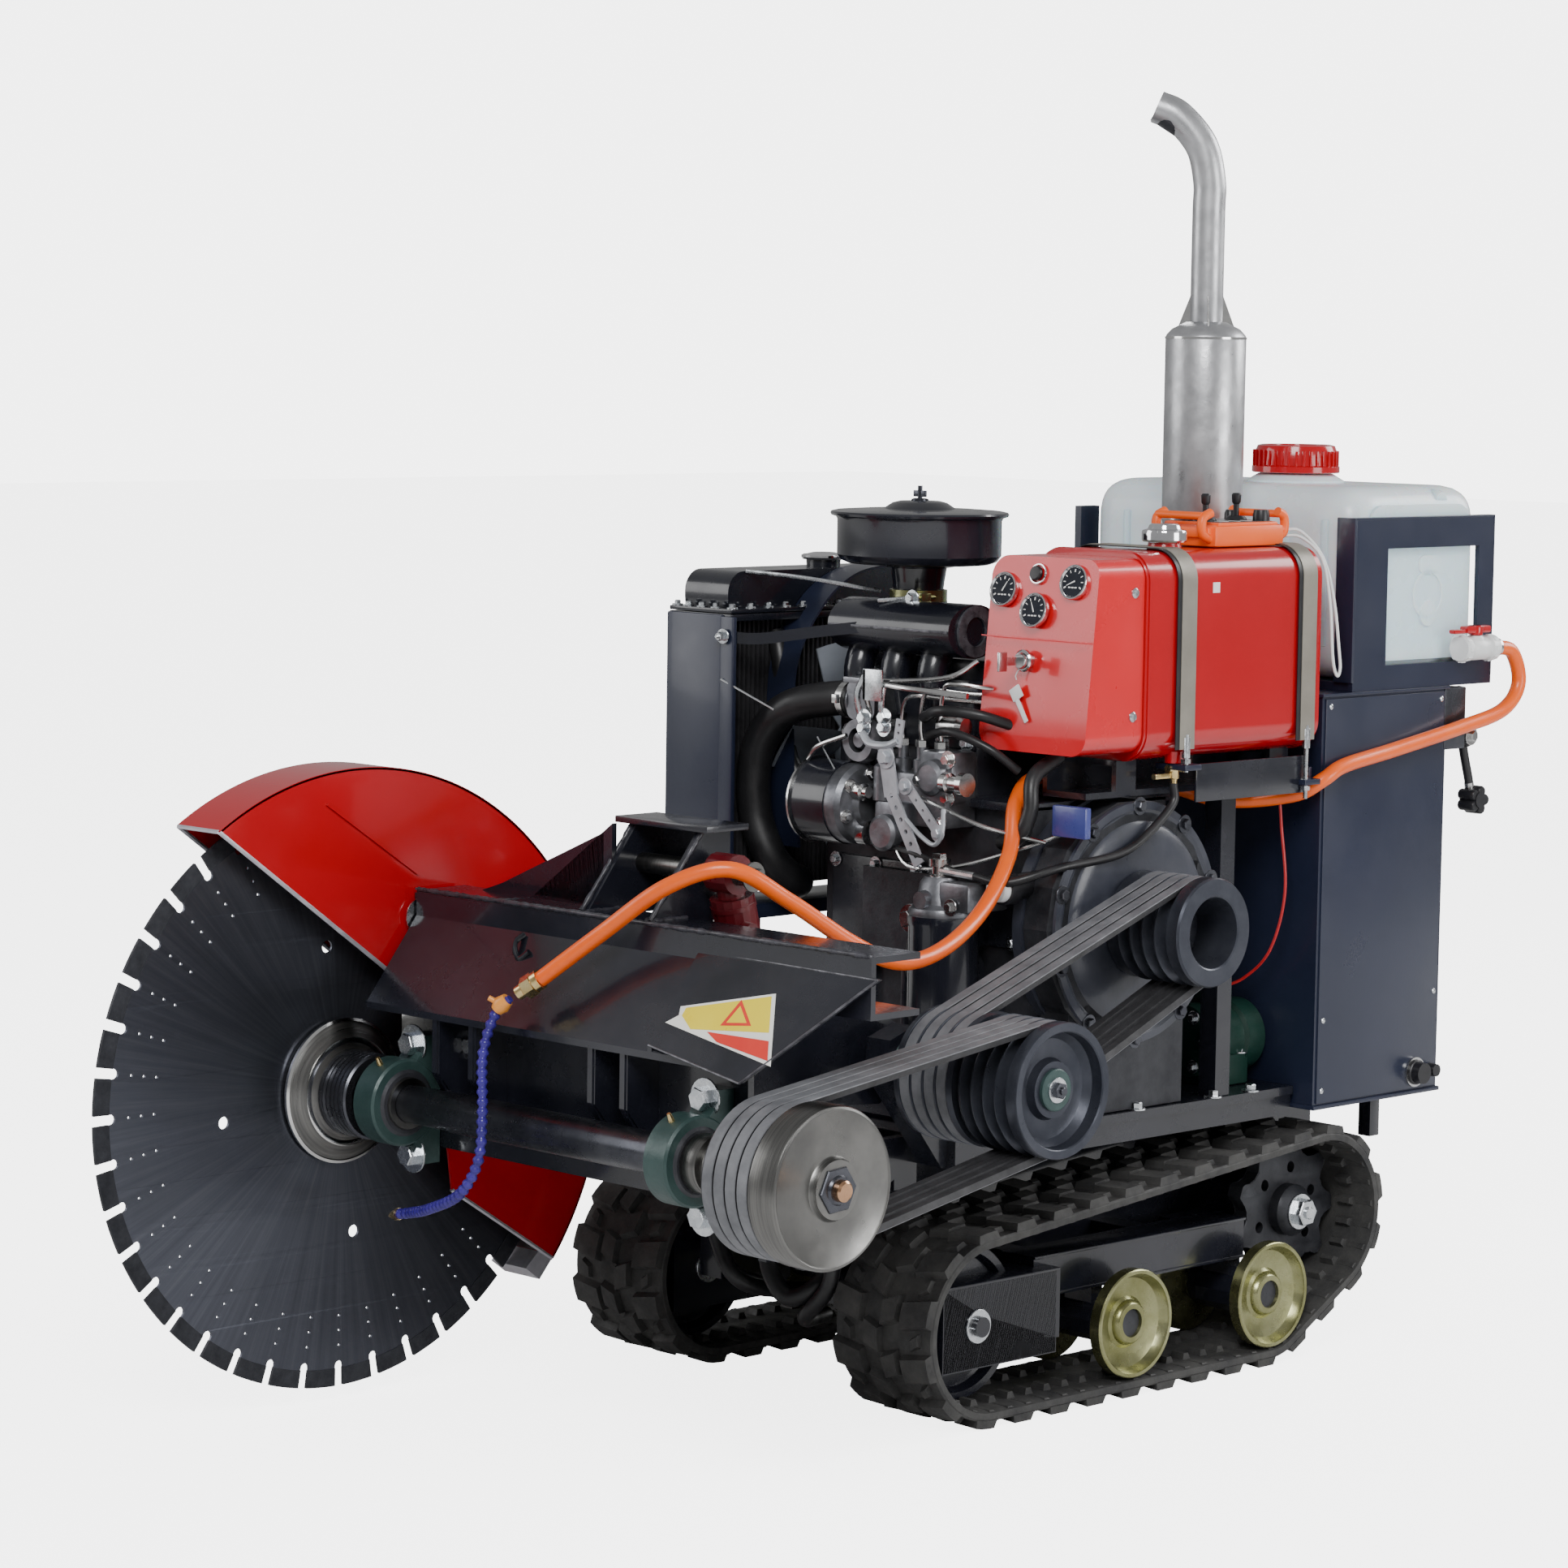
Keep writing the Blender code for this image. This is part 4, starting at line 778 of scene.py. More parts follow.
# ---------------------------------------------------------------- water line from tank to arm
HOSE_RADIUS = 0.0105
WATER_LINE = [
    (0.712, 1.5495, 0.984), (0.714, 1.59, 0.976), (0.716, 1.606, 0.93), (0.716, 1.57, 0.893),
    (0.712, 1.48, 0.872), (0.706, 1.33, 0.846), (0.707, 1.22, 0.83), (0.702, 1.18, 0.812),
    (0.672, 1.15, 0.79), (0.6, 1.08, 0.782), (0.545, 0.985, 0.814), (0.536, 0.86, 0.82),
    (0.545, 0.76, 0.826), (0.58, 0.684, 0.8), (0.606, 0.645, 0.735),
    (0.64, 0.56, 0.672), (0.676, 0.45, 0.634), (0.706, 0.34, 0.628),
    (0.692, 0.27, 0.655), (0.656, 0.19, 0.712), (0.622, 0.12, 0.754),
    (0.56, 0.07, 0.731), (0.47, 0.04, 0.664), (0.4, -0.001, 0.601),
]
water_path = resample(smooth_path(WATER_LINE, 12), 0.006)
hose = Piece("water_hose", ORANGE_HOSE, None, ("water_hose_rear", "water_hose_front"))
hose.tube(water_path, HOSE_RADIUS, 20)
water_hose = hose.done(60.0)
water_line_row = [place(p) for p in water_path]
water_length = sum((b - a).length for a, b in zip(water_line_row, water_line_row[1:]))
tuple(water_line_row[0])
[tuple(p) for p in water_line_row]
tuple(place((0.6, 0.64, 0.72)))
tuple(place((0.706, 0.33, 0.63)))
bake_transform(water_hose)

# ---------------------------------------------------------------- blade arm: welds, ledge, bolts and pin
arm_welds = Piece("arm_weld_beads", WELD, "arm")
for line in (
    [(0.06, 0.0845, 0.678), (0.9, 0.0845, 0.678)],
    [(0.06, 0.069, 0.534), (0.596, 0.069, 0.534)],
    [(0.212, 0.086, 0.677), (0.212, 0.164, 0.672)],
    [(0.364, 0.104, 0.6775), (0.364, 0.166, 0.6775)],
    [(0.373, 0.104, 0.6775), (0.373, 0.166, 0.6775)],
    [(0.485, 0.104, 0.6775), (0.485, 0.166, 0.6775)],
    [(0.494, 0.104, 0.6775), (0.494, 0.166, 0.6775)],
    [(0.204, 0.064, 0.536), (0.204, 0.085, 0.6)],
    [(0.364, 0.102, 0.678), (0.364, 0.19, 0.786)],
    [(0.494, 0.102, 0.678), (0.494, 0.19, 0.786)],
):
    weld(arm_welds, line, 0.0035)
arm_welds.done(60.0)

# A lighter metal finish for thin strips along the edges of black parts: painted highlight.
EDGE_HIGHLIGHT = finish("painted_edge_highlight", (0.03, 0.03, 0.036), (0.16, 0.16, 0.18), (0.24, 0.5), metallic=0.4,
                   scale=60.0, grain=0.3, grain_scale=150.0)
# Thin light strips along the ledge's top edge and the upper weld line: painted highlight.
arm_edges = Piece("arm_plate_edges", EDGE_HIGHLIGHT, "arm")
arm_edges.box((0.05, 0.058, 0.5335), (0.715, 0.0745, 0.5375), 0.001)
arm_edges.box((0.054, 0.0826, 0.6765), (0.904, 0.0865, 0.6795), 0.0008)
arm_edges.done()

arm_plates = Piece("arm_front_ledge", BLACK_PAINT, "arm")
arm_plates.box((0.05, 0.002, 0.53), (0.6, 0.06, 0.5348), 0.0012)
for x in (0.19, 0.262, 0.492, 0.552):
    ledge_rib = [(0.004, 0.53), (0.059, 0.53), (0.059, 0.416), (0.03, 0.416), (0.004, 0.456)]
    arm_plates.prism("X", ledge_rib, x - 0.0045, x + 0.0045, 0.0012)
for x in (0.226, 0.522):
    arm_plates.box((x - 0.03, 0.04, 0.418), (x + 0.03, 0.059, 0.426), 0.0012)
gusset = [(0.152, 0.15, 0.69), (0.352, 0.15, 0.775), (0.352, 0.15, 0.676), (0.06, 0.15, 0.66)]
arm_plates.sheet(gusset, 0.006, (0, 1, 0))
arm_plates.box((0.342, 0.178, 0.786), (0.516, 0.252, 0.7945), 0.0012)
arm_plates.tube(smooth_path([(0.278, 0.08, 0.64), (0.278, 0.064, 0.63), (0.29, 0.06, 0.612),
                             (0.306, 0.064, 0.622)], 6), 0.0038, 10)
arm_plates.done()

arm_bolts = Piece("arm_bolts", ZINC_BLUE, "arm")
for x in (0.076, 0.16):
    arm_bolts.bolt((x, 0.028, 0.535), (0, 0, 1), 0.02, 0.01)
for x in (0.206, 0.54):
    arm_bolts.bolt((x, 0.0585, 0.488), (0, -1, 0), 0.02, 0.012)
for x in (0.226, 0.522):
    arm_bolts.bolt((x + 0.012, 0.039, 0.406), (0, -0.2, -1), 0.018, 0.01)
arm_bolts.bolt((0.053, 0.095, 0.64), (-1, 0, 0), 0.026, 0.014)
arm_bolts.done()
LIGHT_PLATE = finish("bare_light_plate", (0.3, 0.31, 0.34), (0.48, 0.49, 0.52), (0.3, 0.5), metallic=0.5,
                     scale=20.0, grain=0.2, grain_scale=120.0)
shims = Piece("arm_shim_plates", LIGHT_PLATE, "arm")
shims.box((0.276, 0.018, 0.388), (0.33, 0.058, 0.394), 0.001)
shims.box((0.352, 0.018, 0.4), (0.392, 0.056, 0.406), 0.001)
shims.done()

pin = Piece("lift_pin", TURNED, "arm")
pin.lathe("X", LIFT_PIN, [
    (0.336, 0.0), (0.336, 0.012), (0.338, 0.0132), (0.56, 0.0132), (0.562, 0.012), (0.562, 0.0),
], 32)
pin.done()
pin_nut = Piece("lift_pin_nut", TURNED, "arm")
pin_nut.bolt((0.579, *LIFT_PIN), (1, 0, 0), 0.02, 0.01, stud=0.004)
pin_nut.done()


# ---------------------------------------------------------------- lift cylinder
def lift_point(distance):
    down = (Vector(LIFT_FOOT) - Vector(LIFT_PIN)).normalized()
    y, z = Vector(LIFT_PIN) + down * distance
    return (LIFT_X, y, z)


barrel = Piece("lift_cylinder", DARK_RED, "lift_barrel")
for start, end, radius in ((0.03, 0.04, 0.0265), (0.04, 0.046, 0.0298), (0.262, 0.302, 0.0335)):
    barrel.tube([lift_point(start), lift_point(end)], radius, 40)
port = Vector(lift_point(0.07))
barrel.tube([port + Vector((0.026, -0.01, 0)), port + Vector((0.046, -0.016, 0))], 0.0085, 16)
barrel.done()

# ---------------------------------------------------------------- axle bearings
def bearing(name, node, low, high):
    made = Piece(name, CASTING_GREEN, "arm", (node,))
    z = AXLE[1]
    middle = (low + high) / 2
    made.ring("X", AXLE, [
        (low + 0.001, 0.03), (low + 0.001, 0.0545), (low + 0.004, 0.0575), (high - 0.004, 0.0575),
        (high - 0.001, 0.0545), (high - 0.001, 0.03),
    ], 72)
    foot = [
        (0.059, z + 0.085), (0.059, z - 0.085), (0.032, z - 0.085), (0.029, z - 0.082),
        (0.029, z - 0.066), (0.018, z - 0.052), (0.018, z + 0.052), (0.029, z + 0.066),
        (0.029, z + 0.082), (0.032, z + 0.085),
    ]
    made.prism("X", foot, low + 0.003, high - 0.003, 0.0035)
    web = [
        (0.03, z + 0.05), (0.006, z + 0.0555), (-0.02, z + 0.052), (0.0, z + 0.02),
        (0.0, z - 0.02), (-0.02, z - 0.052), (0.006, z - 0.0555), (0.03, z - 0.05),
    ]
    made.prism("X", web, low + 0.01, high - 0.01, 0.003)
    made.done()
    dark = Piece(name + "_seal", IRON, "arm")
    dark.ring("X", AXLE, [
        (low - 0.002, 0.0265), (low - 0.002, 0.04), (low + 0.002, 0.0455), (high - 0.002, 0.0455),
        (high + 0.002, 0.04), (high + 0.002, 0.0265),
    ], 64)
    dark.done()
    race = Piece(name + "_race", TURNED, "axle")
    race.ring("X", AXLE, [
        (low - 0.007, 0.0255), (low - 0.007, 0.0335), (low - 0.0005, 0.035), (high + 0.0005, 0.035),
        (high + 0.007, 0.0335), (high + 0.007, 0.0255),
    ], 56)
    race.done()
    bolts = Piece(name + "_bolts", ZINC_BLUE, "arm")
    for lift in (-0.0735, 0.0735):
        bolts.bolt((middle, 0.0295, z + lift), (0, -1, 0), 0.026, 0.014)
    bolts.done()
    nipple = Piece(name + "_grease_nipple", BRASS, "arm")
    base = Vector((middle, *polar(0.057, 118)))
    out = Vector((0.0, math.cos(math.radians(118)), math.sin(math.radians(118))))
    nipple.tube([base, base + out * 0.006, base + out * 0.012], lambda i: (0.0042, 0.0036, 0.0026)[i],
                10)
    nipple.done()


bearing("right_bearing_housing", "right_axle_bearing", 0.096, 0.14)
bearing("left_bearing_housing", "left_axle_bearing", 0.655, 0.699)


# ---------------------------------------------------------------- side cover: warning label and edges with a painted highlight
COVER_RISE = 1.282
COVER_BASE = 0.543
COVER_NORMAL = Vector((0.0, -COVER_RISE, 1.0)).normalized()
LABEL_YELLOW = finish("label_yellow", (0.86, 0.66, 0.02), (0.92, 0.74, 0.04), (0.26, 0.38), scale=12.0,
                      grain=0.05, grain_scale=120.0)
LABEL_WHITE = finish("label_white", (0.84, 0.84, 0.8), (0.9, 0.9, 0.86), (0.28, 0.4), scale=12.0)
LABEL_RED = finish("label_red", (0.72, 0.03, 0.02), (0.8, 0.05, 0.03), (0.28, 0.4), scale=12.0)


def on_cover(x, y, lift):
    """A point over the cover's sloping face, a height above it."""
    return Vector((x, y, COVER_BASE + COVER_RISE * y)) + COVER_NORMAL * lift


def cover_patch(piece, corners, lift):
    piece.sheet([on_cover(x, y, lift) for x, y in corners], 0.0004, COVER_NORMAL, 0.0)


label_base = Piece("warning_label_base", LABEL_WHITE, "arm")
cover_patch(label_base, [(0.623, 0.0365), (0.767, 0.06), (0.821, 0.0), (0.612, 0.021), (0.628, 0.029)],
            0.0004)
label_base.done()
label = Piece("warning_label_ground", LABEL_YELLOW, "arm")
cover_patch(label, [(0.634, 0.036), (0.763, 0.057), (0.79, 0.027), (0.66, 0.019), (0.634, 0.029)],
            0.0009)
label.done()
label_mark = Piece("warning_label_marks", LABEL_RED, "arm")
cover_patch(label_mark, [(0.69, 0.019), (0.797, 0.02), (0.812, 0.004), (0.715, 0.012)], 0.0013)
triangle = [(0.718, 0.05), (0.756, 0.03), (0.706, 0.026)]
middle = [sum(p[i] for p in triangle) / 3 for i in (0, 1)]
inner = [(m[0] + (p[0] - m[0]) * 0.68, m[1] + (p[1] - m[1]) * 0.68)
         for p, m in ((p, middle) for p in triangle)]
for i in range(3):
    j = (i + 1) % 3
    cover_patch(label_mark, [triangle[i], triangle[j], inner[j], inner[i]], 0.0013)
label_mark.done()
# Light tubes along the cover's edges: painted highlight.
cover_edges = Piece("side_cover_edges", EDGE_HIGHLIGHT, "arm")
for a, b in (((0.604, 0.086), (0.915, 0.084)), ((0.915, 0.084), (0.785, -0.018)),
             ((0.604, 0.0), (0.785, -0.018))):
    cover_edges.tube([on_cover(*a, 0.0), on_cover(*b, 0.0)], 0.0016, 8)
cover_edges.done()

# ---------------------------------------------------------------- tracks
TRACK_LOW, TRACK_HIGH = 0.515, 0.69
TRACK_LUG = 0.0105
TRACK_BELT = 0.013
TRACK_LUGS = 30
WHEEL_INSET = 0.0245


def hull(points):
    points = sorted(set(points))

    def half(ordered):
        kept = []
        for p in ordered:
            while len(kept) > 1 and (
                (kept[-1][0] - kept[-2][0]) * (p[1] - kept[-2][1])
                - (kept[-1][1] - kept[-2][1]) * (p[0] - kept[-2][0])
            ) <= 1e-12:
                kept.pop()
            kept.append(p)
        return kept[:-1]

    return half(points) + half(points[::-1])


def belt_outline(wheels, inset, segments=90):
    points = []
    for y, z, radius in wheels:
        points += circle((y, z), radius - inset, segments, -0.5 * math.pi)
    return hull(points)


class Loop:
    """A closed outline that can be walked by distance, giving a point and its outward side."""

    def __init__(self, outline):
        self.points = [Vector(p) for p in outline]
        self.ends = self.points[1:] + self.points[:1]
        self.length = sum((b - a).length for a, b in zip(self.points, self.ends))

    def at(self, distance, out=0.0):
        distance %= self.length
        for a, b in zip(self.points, self.ends):
            length = (b - a).length
            if distance <= length:
                heading = (b - a) / length
                return a + heading * distance + Vector((heading.y, -heading.x)) * out
            distance -= length
        return self.points[0]


TRACK_LOOP = Loop(belt_outline((IDLER, SPROCKET) + ROLLERS, TRACK_LUG))
LUG_PITCH = TRACK_LOOP.length / TRACK_LUGS


def flip(x, side):
    return x if side == "left" else 2 * TRACK_CENTRE_X - x


def lug(piece, side, where, low, high, half_bottom, half_top, bottom, top, skew=0.0, count=3):
    """A moulded block on the track between two X values, following the track's curve."""
    shape = bmesh.new()
    rings = []
    for level, half in ((bottom, half_bottom), (top, half_top)):
        for k in range(count + 1):
            share = k / count * 2 - 1
            ring = []
            for x, shift in ((low, -skew), (high, skew)):
                margin = 0.0 if level == bottom else 0.0018
                x_in = x + (margin if x == low else -margin)
                y, z = TRACK_LOOP.at(where + shift + share * half, level)
                ring.append(shape.verts.new(place((flip(x_in, side), y, z))))
            rings.append(ring)
    lower, upper = rings[:count + 1], rings[count + 1:]
    for a, b, c, d in zip(lower, lower[1:], upper, upper[1:]):
        shape.faces.new((a[0], b[0], d[0], c[0]))
        shape.faces.new((a[1], b[1], d[1], c[1]))
        shape.faces.new((a[0], b[0], b[1], a[1]))
        shape.faces.new((c[0], d[0], d[1], c[1]))
    for k in (0, count):
        shape.faces.new((lower[k][0], lower[k][1], upper[k][1], upper[k][0]))
    piece.add(shape)


def build_track(side):
    belt = Piece(f"{side}_track_belt", RUBBER, "chassis", (f"{side}_track",))
    shape = bmesh.new()
    levels = (
        (TRACK_LOW + 0.0005, -TRACK_BELT + 0.002), (TRACK_LOW, -TRACK_BELT + 0.006),
        (TRACK_LOW, -0.003), (TRACK_LOW + 0.002, 0.0), (TRACK_HIGH - 0.002, 0.0),
        (TRACK_HIGH, -0.003), (TRACK_HIGH, -TRACK_BELT + 0.006),
        (TRACK_HIGH - 0.0005, -TRACK_BELT + 0.002),
        (TRACK_HIGH - 0.014, -TRACK_BELT), (TRACK_LOW + 0.014, -TRACK_BELT),
    )
    steps = TRACK_LUGS * 10
    rings = []
    for i in range(steps):
        ring = []
        for x, out in levels:
            y, z = TRACK_LOOP.at(TRACK_LOOP.length * i / steps, out)
            ring.append(shape.verts.new(place((flip(x, side), y, z))))
        rings.append(ring)
    skin(shape, rings + rings[:1], caps=False)
    belt.add(shape)
    belt.done()

    tread = Piece(f"{side}_track_tread", RUBBER, "chassis")
    width = TRACK_HIGH - TRACK_LOW
    for i in range(TRACK_LUGS):
        middle = (i + 0.5) * LUG_PITCH
        top = TRACK_LUG - 0.0002
        outer = ((0.004, 0.3, 0.0), (0.7, 0.996, 0.0))
        inner = ((0.335, 0.5, 0.5), (0.5, 0.665, 0.0))
        for low, high, shift in outer:
            skew = 0.004 if low < 0.5 else -0.004
            lug(tread, side, middle + shift * LUG_PITCH, TRACK_LOW + low * width,
                TRACK_LOW + high * width, 0.02, 0.0158, -0.001, top, skew)
            lug(tread, side, middle + 0.5 * LUG_PITCH, TRACK_LOW + (low + 0.1) * width,
                TRACK_LOW + (high - 0.1) * width, 0.01, 0.0065, -0.001, top * 0.66, skew)
        for low, high, shift in inner:
            skew = 0.0045 if low < 0.4 else -0.0045
            lug(tread, side, middle + shift * LUG_PITCH, TRACK_LOW + low * width,
                TRACK_LOW + high * width, 0.019, 0.0145, -0.001, top, skew)
    tread.done(40.0)

    guides = Piece(f"{side}_track_inner_ribs", RUBBER, "chassis")
    for i in range(TRACK_LUGS * 2):
        middle = (i + 0.25) * LUG_PITCH / 2
        for low, high in ((0.552, 0.577), (0.628, 0.653)):
            lug(guides, side, middle, low, high, 0.008, 0.0045, -TRACK_BELT + 0.001,
                -TRACK_BELT - 0.0085, 0.0, 1)
        lug(guides, side, middle, 0.52, 0.55, 0.0055, 0.004, -TRACK_BELT + 0.001, -TRACK_BELT - 0.0006,
            0.0, 1)
        lug(guides, side, middle, 0.655, 0.686, 0.0055, 0.004, -TRACK_BELT + 0.001, -TRACK_BELT - 0.0006,
            0.0, 1)
    guides.done(40.0)


def build_running_gear(side):
    def along(x):
        return flip(x, side)

    def profile(pairs):
        return [(along(x), r) for x, r in pairs]

    outward = (1, 0, 0) if side == "left" else (-1, 0, 0)
    for number, (y, z, radius) in enumerate(ROLLERS, 1):
        rim = radius - WHEEL_INSET - 0.001
        body = f"{side}_roller_{number}"
        roller = Piece(f"{side}_roller_{number}_discs", ZINC_YELLOW, body, (body,))
        roller.lathe("X", (y, z), profile([
            (0.5175, 0.0), (0.5175, 0.045), (0.5165, rim - 0.006), (0.517, rim - 0.001),
            (0.5185, rim), (0.5345, rim), (0.536, rim - 0.0015), (0.538, rim - 0.009),
            (0.544, 0.04), (0.549, 0.028), (0.56, 0.024), (0.56, 0.014), (0.645, 0.014),
            (0.645, 0.024), (0.656, 0.028), (0.661, 0.04), (0.667, rim - 0.009),
            (0.669, rim - 0.0015), (0.6705, rim), (0.6865, rim), (0.688, rim - 0.0015),
            (0.6875, rim - 0.006), (0.684, rim - 0.0072), (0.6745, rim - 0.013),
            (0.67, 0.046), (0.669, 0.036), (0.672, 0.0315), (0.679, 0.029),
            (0.681, 0.0265), (0.681, 0.0195), (0.674, 0.019), (0.674, 0.0),
        ]), 72)
        roller.done()
        cap = Piece(f"{side}_roller_{number}_bore", IRON, body)
        cap.ring("X", (y, z), profile([(0.6735, 0.0005), (0.6735, 0.0192), (0.676, 0.0192),
                                       (0.6752, 0.0005)]), 32)
        cap.done()
        nipple = Piece(f"{side}_roller_{number}_grease", BRASS, "chassis")
        nipple.bolt((along(0.604), y + 0.01, z + 0.0335), (0, 0.3, 1), 0.01, 0.006, washer=False,
                    stud=0.005)
        nipple.done()

    idler = Piece(f"{side}_idler_wheel", BLACK_PAINT, f"{side}_idler", (f"{side}_idler",))
    rim = IDLER[2] - WHEEL_INSET - 0.001
    idler.lathe("X", IDLER[:2], profile([
        (0.535, 0.0), (0.535, 0.0135), (0.579, 0.0135), (0.579, 0.034), (0.588, 0.036),
        (0.592, rim - 0.018), (0.58, rim - 0.012), (0.58, rim - 0.002), (0.583, rim),
        (0.622, rim), (0.625, rim - 0.002), (0.625, rim - 0.012), (0.613, rim - 0.018),
        (0.617, 0.036), (0.626, 0.034), (0.626, 0.0135), (0.668, 0.0135), (0.668, 0.0),
    ]), 64)
    idler.done()

    sprocket = Piece(f"{side}_sprocket_wheel", IRON, f"{side}_sprocket", (f"{side}_sprocket",))
    teeth = []
    tip_radius = SPROCKET[2] - WHEEL_INSET - 0.001
    for i in range(9):
        for turn, reach in ((-0.4, 0.084), (-0.26, 0.09), (-0.17, tip_radius - 0.004),
                            (-0.1, tip_radius),
                            (0.1, tip_radius), (0.17, tip_radius - 0.004), (0.26, 0.09), (0.4, 0.084)):
            teeth.append(polar(reach, 360.0 * (i + turn) / 9, SPROCKET[:2]))
    low, high = sorted((along(0.592), along(0.614)))
    holes = [circle(polar(0.06, 60 * k + 20, SPROCKET[:2]), 0.009, 16) for k in range(6)]
    plate(sprocket, "X", teeth, holes, low, high, 0.0015)
    sprocket.lathe("X", SPROCKET[:2], profile([
        (0.578, 0.0), (0.578, 0.034), (0.581, 0.037), (0.63, 0.037), (0.634, 0.034), (0.64, 0.026),
        (0.64, 0.0),
    ]), 40)
    sprocket.done()

    metal = Piece(f"{side}_track_fasteners", ZINC_BLUE, "chassis")
    metal.disc(place((along(0.6582), *IDLER[:2])), Vector(outward), 0.023, 0.0028, 28, 0.0)
    metal.bolt((along(0.6608), *IDLER[:2]), outward, 0.024, 0.0065, washer=False)
    metal.bolt((along(0.548), *IDLER[:2]), Vector(outward) * -1, 0.024, 0.008)
    metal.done()
    hub_nut = Piece(f"{side}_sprocket_nut", ZINC_BLUE, f"{side}_sprocket")
    hub_nut.disc(place((along(0.6402), *SPROCKET[:2])), Vector(outward), 0.026, 0.003, 28, 0.0)
    hub_nut.bolt((along(0.643), *SPROCKET[:2]), outward, 0.034, 0.014, washer=False, stud=0.004)
    hub_nut.done()

    cover = Piece(f"{side}_idler_box", BLACK_PAINT, "chassis")
    low, high = sorted((along(0.6375), along(0.658)))
    cover.box((low, 0.4795, 0.0645), (high, 0.7005, 0.1785), 0.002)
    low, high = sorted((along(0.5475), along(0.6585)))
    cover.box((low, 0.478, 0.176), (high, 0.706, 0.18), 0.0012)
    low, high = sorted((along(0.589), along(0.636)))
    cover.box((low, 0.68, 0.136), (high, 1.117, 0.14), 0.001)
    cover.box((low, 0.68, 0.189), (high, 1.117, 0.193), 0.001)
    cover.done()


for track_side in ("left", "right"):
    build_track(track_side)
    build_running_gear(track_side)

# ---------------------------------------------------------------- drive belts and pulleys
ENGINE_BELTS = (0.6955, 0.7815)
PULLEY_SEAT = 0.0765
CRANK_SEAT = 0.0635
AXLE_SEAT = 0.0885


def drive_belts(name, node, body, wheels, low, high):
    """V belts side by side: a dark wedge each, with a paler fabric back."""
    pitch = (high - low) / BELT_COUNT
    sides = Piece(name + "_sides", BELT, body, (node,))
    backs = Piece(name + "_backs", BELT_BACK, body)
    loop = Loop(belt_outline(wheels, 0.0, 72))
    steps = 150
    for i in range(BELT_COUNT):
        middle = low + pitch * (i + 0.5)
        for piece, section in (
            (sides, ((-0.0058, 0.0006), (0.0058, 0.0006), (0.0086, 0.0086), (-0.0086, 0.0086))),
            (backs, ((-0.0085, 0.0084), (0.0085, 0.0084), (0.0078, 0.0098), (-0.0078, 0.0098))),
        ):
            shape = bmesh.new()
            rings = []
            for k in range(steps):
                ring = []
                for across, out in section:
                    y, z = loop.at(loop.length * k / steps, out)
                    ring.append(shape.verts.new(place((middle + across, y, z))))
                rings.append(ring)
            skin(shape, rings + rings[:1], caps=False)
            piece.add(shape)
    sides.done(30.0)
    backs.done(30.0)


drive_belts("engine_belts_v", "engine_belts", "chassis", ((*JACKSHAFT, PULLEY_SEAT),
                                                          (*CRANK, CRANK_SEAT)), *ENGINE_BELTS)
drive_belts("axle_belts_v", "axle_belts", "arm", ((*JACKSHAFT, PULLEY_SEAT), (*AXLE, AXLE_SEAT)),
            *AXLE_BELTS)

DARK_PULLEY = finish("painted_pulley", (0.03, 0.034, 0.048), (0.065, 0.07, 0.088), (0.26, 0.44),
                     metallic=0.55, scale=14.0, grain=0.15, grain_scale=120.0)
jack = Piece("jackshaft_pulley_grooves", DARK_PULLEY, "jackshaft", ("jackshaft_pulley",))
jack.lathe("X", JACKSHAFT, groove_profile(*ENGINE_BELTS, BELT_COUNT, 0.087, 0.014, 0.008), 96)
jack_profile = groove_profile(*AXLE_BELTS, BELT_COUNT, 0.087, 0.014, 0.0035)
jack_profile = jack_profile[:-2] + [
    (0.8885, 0.0868), (0.899, 0.0872), (0.9015, 0.086), (0.9015, 0.076), (0.9, 0.0745),
    (0.885, 0.0725), (0.876, 0.064), (0.874, 0.056), (0.875, 0.04), (0.88, 0.037),
    (0.886, 0.036), (0.886, 0.0),
]
jack.lathe("X", JACKSHAFT, jack_profile, 96)
jack.done()
jack_centre = Piece("jackshaft_washer", CASTING_GREEN, "jackshaft")
jack_centre.ring("X", JACKSHAFT, [(0.886, 0.011), (0.886, 0.027), (0.8905, 0.027), (0.8915, 0.0255),
                                  (0.8915, 0.011)], 40)
jack_centre.done()
jack_bolt = Piece("jackshaft_bolt", ZINC_BLUE, "jackshaft")
jack_bolt.disc(place((0.8915, *JACKSHAFT)), Vector((1, 0, 0)), 0.0165, 0.0022, 28, 0.0)
jack_bolt.done()
jack_screw = Piece("jackshaft_screw", BLUED, "jackshaft")
jack_screw.bolt((0.8937, *JACKSHAFT), (1, 0, 0), 0.019, 0.007, washer=False, stud=0.003)
jack_screw.done()
jack_bar = Piece("jackshaft_bar", BLUED, "jackshaft", ("jackshaft",))
jack_bar.lathe("X", JACKSHAFT, [
    (0.19, 0.0), (0.19, 0.0205), (0.192, 0.0225), (0.64, 0.0225), (0.642, 0.034),
    (0.684, 0.034), (0.686, 0.0225), (0.886, 0.02), (0.886, 0.0),
], 48)
jack_bar.done()

